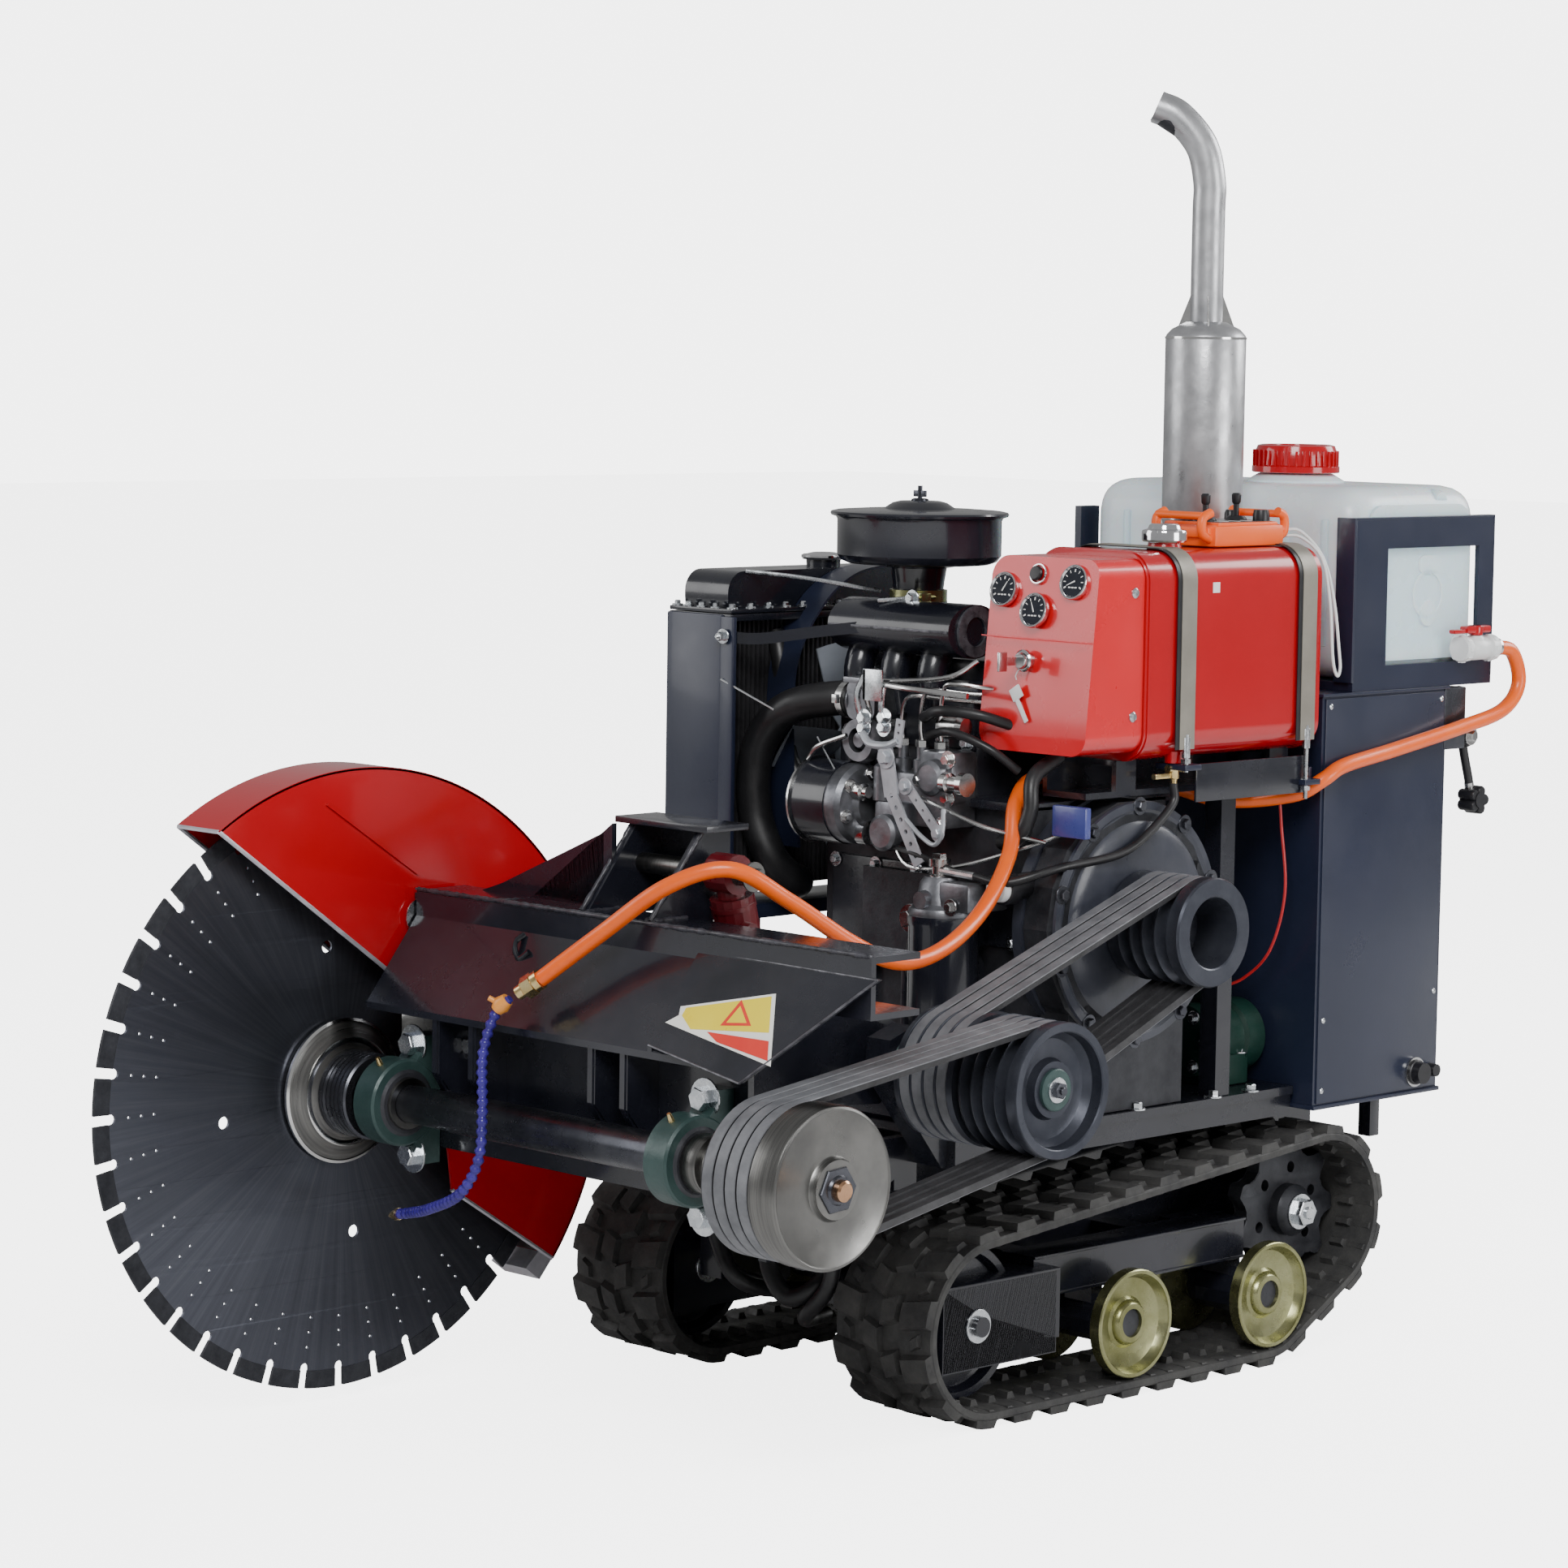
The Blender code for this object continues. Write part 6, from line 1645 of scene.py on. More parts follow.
# ---------------------------------------------------------------- radiator
RADIATOR_MOUTH = (0.052, 0.84)
core_fins = Piece("radiator_fins", FIN, "chassis")
for i in range(44):
    y = 0.612 + 0.009 * i
    core_fins.box((0.084, y, 0.642), (0.0985, y + 0.0038, 1.022), 0.0)
core_fins.box((0.01, 0.606, 0.64), (0.09, 1.012, 1.022), 0.0)
core_fins.done()
frame_sides = Piece("radiator_side_channels", NAVY, "chassis")
for y_low, y_high in ((0.5855, 0.608), (1.007, 1.024)):
    frame_sides.box((-0.0025, y_low, 0.598), (0.11, y_high, 1.029), 0.003)
frame_sides.box((0.106, 0.585, 0.6), (0.133, 0.593, 1.027), 0.0025)
frame_sides.box((-0.002, 0.59, 0.598), (0.11, 1.024, 0.618), 0.002)
frame_sides.done()
top_tank = Piece("radiator_top_tank", BLACK_PAINT, "chassis", ("radiator",))
top_tank.prism("X", rounded((0.606, 1.02), (1.014, 1.088), 0.03, 8), 0.012, 0.1, 0.012)
top_tank.box((-0.002, 0.59, 1.02), (0.124, 1.024, 1.03), 0.0015)
top_tank.box((-0.002, 0.59, 1.031), (0.124, 1.024, 1.037), 0.0015)
top_tank.box((0.05, 0.64, 0.3765), (0.078, 0.7, 0.61), 0.002)
top_tank.box((0.05, 0.92, 0.3765), (0.078, 0.98, 0.61), 0.002)
top_tank.lathe("X", LOWER_OUTLET, [(0.06, 0.0), (0.06, 0.0215), (0.095, 0.0215), (0.095, 0.0)], 28)
top_tank.lathe("Z", RADIATOR_MOUTH, [(1.084, 0.0), (1.084, 0.024), (1.098, 0.025), (1.098, 0.0)], 36)
top_tank.done()
tank_bolts = Piece("radiator_flange_bolts", ZINC_BLUE, "chassis")
for i in range(13):
    y = 0.6 + 0.0345 * i
    tank_bolts.bolt((0.115, y, 1.037), (0, 0, 1), 0.008, 0.005)
    tank_bolts.bolt((0.004, y, 1.037), (0, 0, 1), 0.008, 0.005)
for x in (0.03, 0.058, 0.086):
    tank_bolts.bolt((x, 0.596, 1.037), (0, 0, 1), 0.008, 0.005)
tank_bolts.done()
filler = Piece("radiator_cap", CHROME, "chassis")
filler.lathe("Z", RADIATOR_MOUTH, [(1.098, 0.0), (1.098, 0.03), (1.101, 0.032), (1.104, 0.032),
                                   (1.106, 0.024), (1.108, 0.016), (1.108, 0.0)], 40)
filler.box((0.018, 0.83, 1.101), (0.086, 0.85, 1.105), 0.002)
filler.done()
core_back = Piece("radiator_rear_grille", FIN, "chassis")
for i in range(30):
    z = 0.63 + 0.013 * i
    core_back.box((0.004, 0.608, z), (0.011, 1.008, z + 0.004), 0.0)
core_back.done()

# ---------------------------------------------------------------- silencer
SILENCER_AXIS = (0.477, 1.172)
silencer = Piece("silencer_body", SILENCER, "chassis", ("muffler",))
silencer.lathe("Z", SILENCER_AXIS, [
    (1.15, 0.0), (1.15, 0.044), (1.153, 0.048), (1.16, 0.0555), (1.164, 0.057),
    (1.422, 0.057), (1.426, 0.0555), (1.434, 0.048), (1.44, 0.036), (1.444, 0.028), (1.444, 0.0),
], 80)
silencer.tube(smooth_path([
    (0.37, 0.969, 0.87), (0.374, 1.0, 0.872), (0.4, 1.06, 0.89), (0.44, 1.12, 0.95),
    (0.47, 1.16, 1.04), (0.477, 1.172, 1.11), (0.477, 1.172, 1.16),
], 8), 0.023, 28)
silencer.tube(smooth_path([
    (0.477, 1.172, 1.43), (0.477, 1.172, 1.5), (0.477, 1.172, 1.6), (0.477, 1.172, 1.64),
    (0.468, 1.164, 1.69), (0.443, 1.142, 1.73), (0.42, 1.122, 1.744),
], 10), 0.0232, 36, caps=False)
silencer.done(40.0)
# A dark capped tube just inside the pipe's open end: painted shade filling the hollow pipe.
exhaust_mouth_shade = Piece("exhaust_bore_painted_shade", IRON, "chassis")
exhaust_mouth_shade.tube([(0.456, 1.1535, 1.714), (0.4215, 1.1233, 1.743)], 0.0212, 28)
exhaust_mouth_shade.done()
seams = Piece("silencer_seams", POLISHED_RIM, "chassis")
for z in (1.166, 1.42):
    seams.ring("Z", SILENCER_AXIS, [(z, 0.056), (z, 0.0578), (z + 0.003, 0.0578), (z + 0.003, 0.056)],
               80)
for i in range(4):
    angle = math.radians(45 + 90 * i)
    out = Vector((math.cos(angle), math.sin(angle), 0.0))
    base = Vector((*SILENCER_AXIS, 0.0))
    corners = [base + out * r + Vector((0, 0, z)) for r, z in ((0.0225, 1.436), (0.04, 1.436),
                                                               (0.0225, 1.482))]
    push = out.cross(Vector((0, 0, 1)))
    seams.sheet([c - push * 0.0012 for c in corners], 0.0024, push, 0.0)
seams.done()

# ---------------------------------------------------------------- fuel tank, panel and remote
STRAP = finish("strap_webbing", (0.2, 0.185, 0.155), (0.27, 0.25, 0.21), (0.34, 0.48), metallic=0.25,
               scale=14.0, grain=0.2, grain_scale=320.0)
PANEL_NORMAL = Vector((0.0, -4.0, 1.0)).normalized()


def turned(piece, base, normal, profile, segments=32):
    """Rings of (along, radius) stacked from a base point along any normal."""
    shape = bmesh.new()
    stacked(shape, place(base), normal, profile, segments)
    return piece.add(shape)


FUEL_MOUTH = (0.64, 0.905)
FUEL_COCK = (0.678, 0.89)
TANK_PANEL_EDGE = rounded((0.4985, 0.8545), (0.6995, 1.1375), 0.041, 10)
fuel_tank = Piece("fuel_tank_shell", RED, "chassis", ("fuel_tank",))
fuel_tank.prism("Y", rounded((0.5, 0.856), (0.698, 1.136), 0.04, 10), 0.8048, 1.1718, 0.01)
fuel_tank.prism("Y", TANK_PANEL_EDGE, 0.81, 0.814, 0.0012)
fuel_tank.prism("Y", TANK_PANEL_EDGE, 1.156, 1.16, 0.0012)
fuel_tank.lathe("Z", FUEL_MOUTH, [(1.13, 0.0), (1.13, 0.03), (1.136, 0.024), (1.1455, 0.022),
                                  (1.1455, 0.0)], 36)
fuel_tank.lathe("Z", FUEL_COCK, [(0.85, 0.0), (0.85, 0.012), (0.866, 0.014), (0.866, 0.0)], 24)
fuel_tank.done()

panel = Piece("panel_box", DASH_RED, "chassis", ("instrument_panel",))
shape = bmesh.new()
panel_outline = rounded((0.503, 0.868), (0.695, 1.128), 0.026, 8)
rings = []
for depth in (0.0, 1.0):
    ring = []
    for x, z in panel_outline:
        front = 0.692 + max(0.0, z - 1.02) / 4
        ring.append(shape.verts.new(place((x, front + (0.804 - front) * depth, z))))
    rings.append(ring)
for i in range(len(panel_outline)):
    j = (i + 1) % len(panel_outline)
    shape.faces.new((rings[0][i], rings[0][j], rings[1][j], rings[1][i]))
shape.faces.new(rings[1])
left_side = [v for v in rings[0] if v.co.x + ORIGIN.x < 0.599]
right_side = [v for v in rings[0] if v.co.x + ORIGIN.x >= 0.599]
left_side.sort(key=lambda v: v.co.z)
right_side.sort(key=lambda v: v.co.z)
for a, b, c, d in zip(left_side, left_side[1:], right_side[1:], right_side):
    shape.faces.new((a, b, c, d))
panel.add(shape, 0.0045)
panel.done(24.0)

# A lighter red tube along the panel's crease: painted highlight.
crease_highlight = Piece("panel_crease_painted_highlight", finish("panel_edge_shine", (0.78, 0.1, 0.11), (0.85, 0.13, 0.14),
                                           (0.2, 0.3), scale=30.0, coat=0.5), "chassis")
crease_highlight.tube([(0.505, 0.6921, 1.02), (0.693, 0.6921, 1.02)], 0.0009, 8)
crease_highlight.done()

bezels = Piece("gauge_bezels", CHROME, "chassis")
dials = Piece("gauge_dials", DIAL, "chassis")
ticks = Piece("gauge_marks", PAINT_WHITE, "chassis")
GAUGES = ((0.531, 1.082), (0.592, 1.057), (0.654, 1.097))
for number, (x, z) in enumerate(GAUGES):
    base = Vector((x, 0.692 + (z - 1.02) / 4, z))
    turned(bezels, base, PANEL_NORMAL, [(-0.002, 0.0), (-0.002, 0.0235), (0.003, 0.024), (0.005, 0.0232),
                                        (0.0055, 0.0215), (0.004, 0.02), (0.003, 0.0196), (0.003, 0.0)],
                                        48)
    turned(dials, base, PANEL_NORMAL, [(0.003, 0.0), (0.003, 0.0195), (0.0034, 0.0195), (0.0034, 0.0)],
           40)
    side = Vector((1.0, 0.0, 0.0))
    rise = side.cross(PANEL_NORMAL) * -1.0
    face = base + PANEL_NORMAL * 0.0036
    for k in range(9):
        angle = math.radians(-30 + 30 * k)
        out = side * math.cos(angle) + rise * math.sin(angle)
        across = side * -math.sin(angle) + rise * math.cos(angle)
        width = 0.001 if k % 4 == 0 else 0.0006
        ticks.sheet([face + out * 0.0135 + across * width, face + out * 0.0175 + across * width,
                     face + out * 0.0175 - across * width, face + out * 0.0135 - across * width], 0.0003,
                     PANEL_NORMAL, 0.0)
    angle = math.radians((62, 118, 205)[number])
    out = side * math.cos(angle) + rise * math.sin(angle)
    across = side * -math.sin(angle) + rise * math.cos(angle)
    ticks.sheet([face - out * 0.003 + across * 0.001, face + out * 0.012 + across * 0.0004,
                 face + out * 0.012 - across * 0.0004, face - out * 0.003 - across * 0.001], 0.0006,
                 PANEL_NORMAL, 0.0)
    for shift in (-0.0055, 0.0, 0.0055):
        low = face - rise * 0.0085 + side * shift
        ticks.sheet([low - side * 0.002, low + side * 0.002, low + side * 0.002 + rise * 0.0018,
                     low - side * 0.002 + rise * 0.0018], 0.0003, PANEL_NORMAL, 0.0)
bezels.done()
dials.done()
ticks.done()

START = (0.588, 0.713, 1.105)
start_collar = Piece("start_button_collar", CHROME, "chassis")
turned(start_collar, START, PANEL_NORMAL, [(-0.002, 0.0138), (0.002, 0.0145), (0.0036, 0.0138),
                                           (0.0036, 0.0122), (-0.002, 0.0122)], 32)
start_collar.done()
start_cap = Piece("start_button_cap", BLACK_PLASTIC, "start_button", ("start_button",))
turned(start_cap, START, PANEL_NORMAL, [(0.0043, 0.0), (0.0043, 0.0098), (0.0085, 0.0098),
                                        (0.01, 0.0085), (0.0105, 0.0)], 28)
start_cap.done()

switch = Piece("key_switch_collar", CHROME, "chassis")
KEY = (0.583, 0.99)
switch.ring("Y", KEY, [(0.6925, 0.0112), (0.6925, 0.015), (0.689, 0.015), (0.687, 0.013),
                       (0.687, 0.0112)], 36)
switch.done()
key = Piece("ignition_key_body", STEEL, "ignition_key", ("ignition_key",))
key.lathe("Y", KEY, [(0.705, 0.0), (0.705, 0.0104), (0.6845, 0.0104), (0.682, 0.009), (0.682, 0.0)], 32)
key.box((0.5815, 0.656, 0.9845), (0.5845, 0.684, 0.9955), 0.0006)
key.box((0.5812, 0.641, 0.977), (0.5848, 0.657, 1.003), 0.001)
key.done()
spare = Piece("spare_key", WHITE_PLASTIC, "chassis")
spare.tube(smooth_path([(0.577, 0.69, 0.98), (0.572, 0.688, 0.97), (0.5725, 0.689, 0.964)], 4), 0.0008,
           6)
turn = Matrix.Rotation(math.radians(-32), 3, "Y")
spare.box((0.562, 0.6885, 0.937), (0.582, 0.691, 0.955), 0.0012, turn)
spare.box((0.579, 0.6888, 0.906), (0.586, 0.6906, 0.94), 0.0006, turn)
spare.done()

panel_screws = Piece("panel_side_screws", ZINC_BLUE, "chassis")
for z in (1.083, 0.918):
    panel_screws.lathe("X", (0.785, z), [(0.694, 0.0), (0.694, 0.0075), (0.6965, 0.007),
                                         (0.6985, 0.0045), (0.699, 0.0)], 24)
    panel_screws.box((0.6985, 0.7842, z - 0.0045), (0.6993, 0.7858, z + 0.0045), 0.0)
panel_screws.done()
sticker = Piece("tank_plate", PAINT_WHITE, "chassis")
sticker.box((0.6978, 0.94, 1.079), (0.6986, 0.954, 1.093), 0.0)
sticker.done()

straps = Piece("tank_straps", STRAP, "chassis")
strap_pads = Piece("tank_strap_pads", BLACK_PLASTIC, "chassis")
strap_bolts = Piece("tank_strap_bolts", ZINC_BLUE, "chassis")
full_loop = rounded((0.4975, 0.8535), (0.7005, 1.1385), 0.0425, 10)
over_top = [p for p in full_loop if p[1] > 0.905]
over_top.sort(key=lambda p: math.atan2(p[1] - 0.9, p[0] - 0.599))
for y, foot in ((0.888, 0.839), (1.142, 0.788)):
    line = [(0.701, 0.87)] + over_top + [(0.497, 0.87)]
    straps.strip([(x, y, z) for x, z in line], "Y", 0.03, 0.0022)
    strap_pads.strip([(x, y - 0.006, z) for x, z in line], "Y", 0.034, 0.0012)
    strap_bolts.box((0.699, y - 0.006, 0.858), (0.704, y + 0.006, 0.886), 0.001)
    strap_bolts.tube([(0.702, y, 0.89), (0.702, y, foot)], 0.0032, 10)
    strap_bolts.lathe("Z", (0.702, y), [(foot + 0.012, 0.0), (foot + 0.012, 0.0075),
                                        (foot + 0.018, 0.0075), (foot + 0.018, 0.0)], 6)
straps.done()
strap_pads.done()
strap_bolts.done()
tank_tabs = Piece("tank_bracket_tabs", NAVY, "chassis")
tank_tabs.box((0.654, 0.88, 0.841), (0.708, 0.914, 0.849), 0.0015)
tank_tabs.box((0.654, 1.134, 0.807), (0.708, 1.168, 0.815), 0.0015)
tank_tabs.box((0.655, 1.164, 0.79), (0.69, 1.17, 0.83), 0.0015)
tank_tabs.done()

cap = Piece("fuel_cap_body", CHROME, "fuel_cap", ("fuel_cap",))
cap.lathe("Z", FUEL_MOUTH, [(1.1465, 0.0), (1.1465, 0.029), (1.149, 0.031), (1.159, 0.031),
                            (1.162, 0.03), (1.164, 0.023), (1.169, 0.021), (1.1708, 0.018),
                            (1.1708, 0.0)], 48)
for i in range(3):
    turn = Matrix.Rotation(math.radians(60 * i), 3, "Z")
    cap.box((0.61, 0.901, 1.156), (0.67, 0.909, 1.1625), 0.001, turn)
cap.done()

petcock = Piece("petcock_body", BRASS, "chassis")
petcock.lathe("Z", FUEL_COCK, [(0.856, 0.0), (0.856, 0.0105), (0.85, 0.0105), (0.85, 0.0)], 6)
petcock.tube([(0.678, 0.878, 0.842), (0.678, 0.906, 0.842)], 0.0058, 12)
petcock.tube([(0.679, 0.89, 0.83), (0.679, 0.89, 0.818)], 0.005, 12)
petcock.done()
lever = Piece("petcock_handle", BRASS, "petcock_lever", ("petcock_lever",))
lever.lathe("Z", FUEL_COCK, [(0.828, 0.0), (0.828, 0.007), (0.83, 0.008), (0.848, 0.0078), (0.848, 0.0)],
            20)
lever.box((0.675, 0.851, 0.8295), (0.681, 0.89, 0.8365), 0.0012)
lever.lathe("Y", (0.678, 0.833), [(0.85, 0.0), (0.85, 0.004), (0.853, 0.004), (0.853, 0.0)], 12)
lever.done()

remote = Piece("remote_case", ORANGE_CASE, "remote_control", ("remote_control",))
remote.box((0.552, 0.99, 1.137), (0.658, 1.137, 1.167), 0.007)
remote.box((0.556, 1.0, 1.164), (0.654, 1.127, 1.1705), 0.003)
for y_low, y_high, y_out in ((0.987, 0.998, 0.976), (1.129, 1.14, 1.149)):
    for x in (0.564, 0.646):
        remote.tube(smooth_path([(x, (y_low + y_high) / 2, 1.148), (x, y_out, 1.156), (x, y_out, 1.176),
                                 (x, (y_low + y_high) / 2, 1.184)], 4), 0.0065, 12)
    remote.tube([(0.564, y_out, 1.18), (0.646, y_out, 1.18)], 0.0055, 12)
    remote.box((0.56, y_low - 0.004, 1.15), (0.65, y_high + 0.004, 1.164), 0.003)
remote.done()
face_plate = Piece("remote_face", BLACK_PLASTIC, "remote_control")
face_plate.box((0.562, 1.008, 1.17), (0.648, 1.12, 1.1712), 0.0004)
face_plate.lathe("Z", (0.636, 1.112), [(1.171, 0.0), (1.171, 0.012), (1.179, 0.012), (1.186, 0.0105),
                                       (1.186, 0.0)], 12)
face_plate.lathe("Z", (0.58, 1.112), [(1.171, 0.0), (1.171, 0.0085), (1.18, 0.008), (1.184, 0.006),
                                      (1.184, 0.0)], 20)
face_plate.lathe("Z", (0.58, 1.02), [(1.171, 0.0), (1.171, 0.009), (1.178, 0.0085), (1.178, 0.0)], 20)
face_plate.done()
face_marks = Piece("remote_face_marks", PAINT_WHITE, "remote_control")
for y in (1.03, 1.055, 1.08):
    face_marks.box((0.625, y, 1.1711), (0.642, y + 0.006, 1.1716), 0.0)
    face_marks.box((0.568, y, 1.1711), (0.578, y + 0.006, 1.1716), 0.0)
face_marks.done()
for name, y in (("joystick_left", 1.03), ("joystick_right", 1.095)):
    stick = Piece(name + "_grip", BLACK_PLASTIC, name, (name,))
    stick.lathe("Z", (0.605, y), [(1.1732, 0.0), (1.1732, 0.004), (1.193, 0.0042), (1.196, 0.0062),
                                  (1.206, 0.0068), (1.2085, 0.005), (1.209, 0.0)], 28)
    stick.done()
    collar = Piece(name + "_collar", BLACK_PLASTIC, "remote_control")
    collar.ring("Z", (0.605, y), [(1.1708, 0.01), (1.1708, 0.0155), (1.1725, 0.0155), (1.177, 0.0115),
                                  (1.177, 0.01)], 32)
    collar.done()

tank_apron = Piece("tank_bracket_apron", BLACK_PAINT, "chassis")
tank_apron.box((0.693, 0.916, 0.796), (0.697, 1.148, 0.848), 0.0015)
tank_apron.done()

# strap loop hanging from the end of the remote
LOOP_RADIUS = 0.0022
loop_path = smooth_path([
    (0.644, 1.15, 1.15), (0.664, 1.166, 1.148), (0.69, 1.18, 1.12), (0.704, 1.183, 1.06),
    (0.71, 1.183, 0.995), (0.713, 1.185, 0.968), (0.714, 1.1915, 0.957), (0.713, 1.198, 0.968),
    (0.709, 1.199, 0.995), (0.701, 1.196, 1.06), (0.686, 1.188, 1.12), (0.66, 1.17, 1.156),
    (0.644, 1.15, 1.158),
], 4)
loop = Piece("remote_strap_loop", WHITE_PLASTIC, "remote_control")
loop.tube(loop_path, LOOP_RADIUS, 10)
strap_loop = loop.done(60.0)
loop_row = [place(p) for p in loop_path]
loop_length = sum((b - a).length for a, b in zip(loop_row, loop_row[1:]))
tuple(loop_row[0])
[tuple(p) for p in loop_row]

# ---------------------------------------------------------------- water tank, its frame and the cabinet
WATER_MOUTH = (0.455, 1.405)
TANK_SIDE_BULGE = rounded((1.295, 0.97), (1.527, 1.19), 0.03, 5)
water_tank = Piece("water_tank_shell", TANK_WHITE, "chassis", ("water_tank",))
shape = bmesh.new()
bmesh.ops.create_cube(shape, size=1.0)
TANK_LOW, TANK_HIGH = Vector((0.1802, 1.2622, 0.9432)), Vector((0.6798, 1.5598, 1.2155))
for corner in shape.verts:
    share = corner.co + Vector((0.5, 0.5, 0.5))
    corner.co = place([a + (b - a) * s for a, b, s in zip(TANK_LOW, TANK_HIGH, share)])
water_tank.add(shape, 0.058, 8)
water_tank.prism("X", TANK_SIDE_BULGE, 0.67, 0.6812, 0.004)
water_tank.prism("X", TANK_SIDE_BULGE, 0.179, 0.19, 0.004)
for x in (0.25, 0.345, 0.55, 0.62):
    water_tank.box((x, 1.2605, 0.99), (x + 0.014, 1.268, 1.17), 0.0035)
water_tank.lathe("Z", WATER_MOUTH, [(1.2, 0.0), (1.2, 0.072), (1.218, 0.07), (1.224, 0.06),
                                    (1.2275, 0.054), (1.2275, 0.0)], 64)
water_tank.lathe("X", (1.47, 1.195), [(0.64, 0.0), (0.64, 0.016), (0.665, 0.015), (0.672, 0.012),
                                      (0.672, 0.0)], 24)
water_tank.done(50.0)
moulding = Piece("water_tank_moulding", TANK_WHITE, "chassis")
moulding.ring("X", (1.43, 1.062), [(0.68, 0.03), (0.6835, 0.031), (0.6835, 0.035), (0.68, 0.036)], 40)
moulding.prism("X", rounded((1.408, 1.092), (1.452, 1.118), 0.01, 5), 0.6805, 0.6838, 0.0015)
moulding.lathe("X", (1.43, 1.035), [(0.68, 0.0), (0.68, 0.02), (0.6842, 0.018), (0.6842, 0.0)], 28)
moulding.done(50.0)

ribbed_cap = Piece("water_tank_cap_body", RED, "water_tank_cap", ("water_tank_cap",))
ribbed_cap.lathe("Z", WATER_MOUTH, [(1.229, 0.0), (1.229, 0.062), (1.23, 0.0635), (1.238, 0.0635),
                                    (1.24, 0.06), (1.26, 0.059), (1.268, 0.056), (1.2695, 0.05),
                                    (1.266, 0.046), (1.266, 0.0)], 72)
for i in range(36):
    angle = math.radians(10 * i)
    turn = Matrix.Rotation(angle, 3, "Z")
    at = Vector((0.455 + 0.06 * math.cos(angle), 1.405 + 0.06 * math.sin(angle), 1.25))
    ribbed_cap.box(at - Vector((0.0022, 0.0018, 0.011)), at + Vector((0.0022, 0.0018, 0.011)), 0.0006,
                   turn)
ribbed_cap.ring("Z", WATER_MOUTH, [(1.266, 0.03), (1.269, 0.031), (1.269, 0.034), (1.266, 0.035)], 48)
ribbed_cap.done(40.0)

frame_trim = Piece("water_tank_frame_edges", NAVY, "chassis")
frame_trim.box((0.678, 1.251, 0.943), (0.6925, 1.2545, 1.174), 0.001)
frame_trim.box((0.66, 1.249, 0.943), (0.6925, 1.253, 1.174), 0.001)
frame_trim.box((0.678, 1.567, 0.943), (0.6925, 1.5705, 1.174), 0.001)
frame_trim.box((0.68, 1.251, 1.1705), (0.6925, 1.5705, 1.174), 0.001)
frame_trim.done()

WATER_TAP = (0.712, 0.984)
valve = Piece("water_valve_body", WHITE_PLASTIC, "chassis", ("water_valve",))
valve.lathe("Y", WATER_TAP, [
    (1.468, 0.0), (1.468, 0.017), (1.47, 0.0185), (1.48, 0.0185), (1.4815, 0.016), (1.486, 0.0155),
    (1.488, 0.017), (1.522, 0.017), (1.524, 0.0155), (1.528, 0.016), (1.5295, 0.0185),
    (1.544, 0.0185), (1.548, 0.016), (1.548, 0.0)], 36)
valve.lathe("X", (1.505, 0.984), [(0.681, 0.0), (0.681, 0.019), (0.69, 0.019), (0.692, 0.015),
                                  (0.712, 0.015), (0.712, 0.0)], 32)
valve.lathe("Z", (0.712, 1.505), [(0.985, 0.0), (0.985, 0.014), (0.999, 0.013), (1.0025, 0.01),
                                  (1.0025, 0.0)], 28)
for y in (1.475, 1.537):
    for i in range(8):
        turn = Matrix.Rotation(math.radians(45 * i), 3, "Y")
        at = Vector((0.712 + 0.0182 * math.sin(math.radians(45 * i)), y,
                     0.984 + 0.0182 * math.cos(math.radians(45 * i))))
        valve.box(at - Vector((0.003, 0.0045, 0.0012)), at + Vector((0.003, 0.0045, 0.0012)), 0.0004,
                  turn)
valve.done(40.0)
tee = Piece("water_valve_handle_grip", RED, "water_valve_handle", ("water_valve_handle",))
tee.lathe("Z", (0.712, 1.505), [(1.0035, 0.0), (1.0035, 0.0105), (1.013, 0.0115), (1.017, 0.01),
                                (1.017, 0.0)], 28)
tee.box((0.704, 1.477, 1.006), (0.72, 1.533, 1.017), 0.004)
tee.box((0.706, 1.45, 1.006), (0.718, 1.478, 1.0125), 0.003)
tee.done(40.0)
barb = Piece("water_hose_clamp", STEEL, "chassis")
barb.lathe("Y", WATER_TAP, [(1.55, 0.0), (1.55, 0.0135), (1.556, 0.0135), (1.556, 0.0)], 28)
barb.done()

cabinet_trim = Piece("cabinet_panels", NAVY, "chassis")
cabinet_trim.box((0.6885, 1.196, 0.352), (0.6925, 1.464, 0.923), 0.0015)
cabinet_trim.box((0.0175, 1.196, 0.352), (0.0215, 1.464, 0.923), 0.0015)
cabinet_trim.box((0.015, 1.186, 0.926), (0.695, 1.474, 0.9303), 0.0012)
cabinet_trim.box((0.015, 1.187, 0.344), (0.695, 1.473, 0.35), 0.0015)
cabinet_trim.box((0.06, 1.469, 0.38), (0.63, 1.473, 0.76), 0.0015)
cabinet_trim.box((0.1, 1.485, 0.8), (0.6, 1.488, 0.885), 0.0015)
cabinet_trim.done()
cabinet_screws = Piece("cabinet_screws", ZINC_BLUE, "chassis")
for y, z in ((1.206, 0.912), (1.456, 0.912), (1.206, 0.37), (1.206, 0.47), (1.456, 0.49)):
    cabinet_screws.lathe("X", (y, z), [(0.692, 0.0), (0.692, 0.0042), (0.6935, 0.004), (0.6945, 0.002),
                                       (0.6945, 0.0)], 16)
    cabinet_screws.lathe("X", (y, z), [(0.018, 0.0), (0.018, 0.0042), (0.016, 0.004), (0.015, 0.002),
                                       (0.015, 0.0)], 16)
for x in (0.08, 0.35, 0.61):
    for z in (0.4, 0.74):
        cabinet_screws.bolt((x, 1.473, z), (0, 1, 0), 0.01, 0.004)
cabinet_screws.done()
louvres = Piece("cabinet_louvres", BLACK_PAINT, "chassis")
for i in range(9):
    z = 0.46 + 0.026 * i
    louvres.sheet([(0.2, 1.474, z), (0.49, 1.474, z), (0.49, 1.4815, z - 0.01), (0.2, 1.4815, z - 0.01)],
                  0.0015, (0, 0, 1), 0.0)
louvres.done()
panel_controls = Piece("cabinet_controls", BLACK_PLASTIC, "chassis")
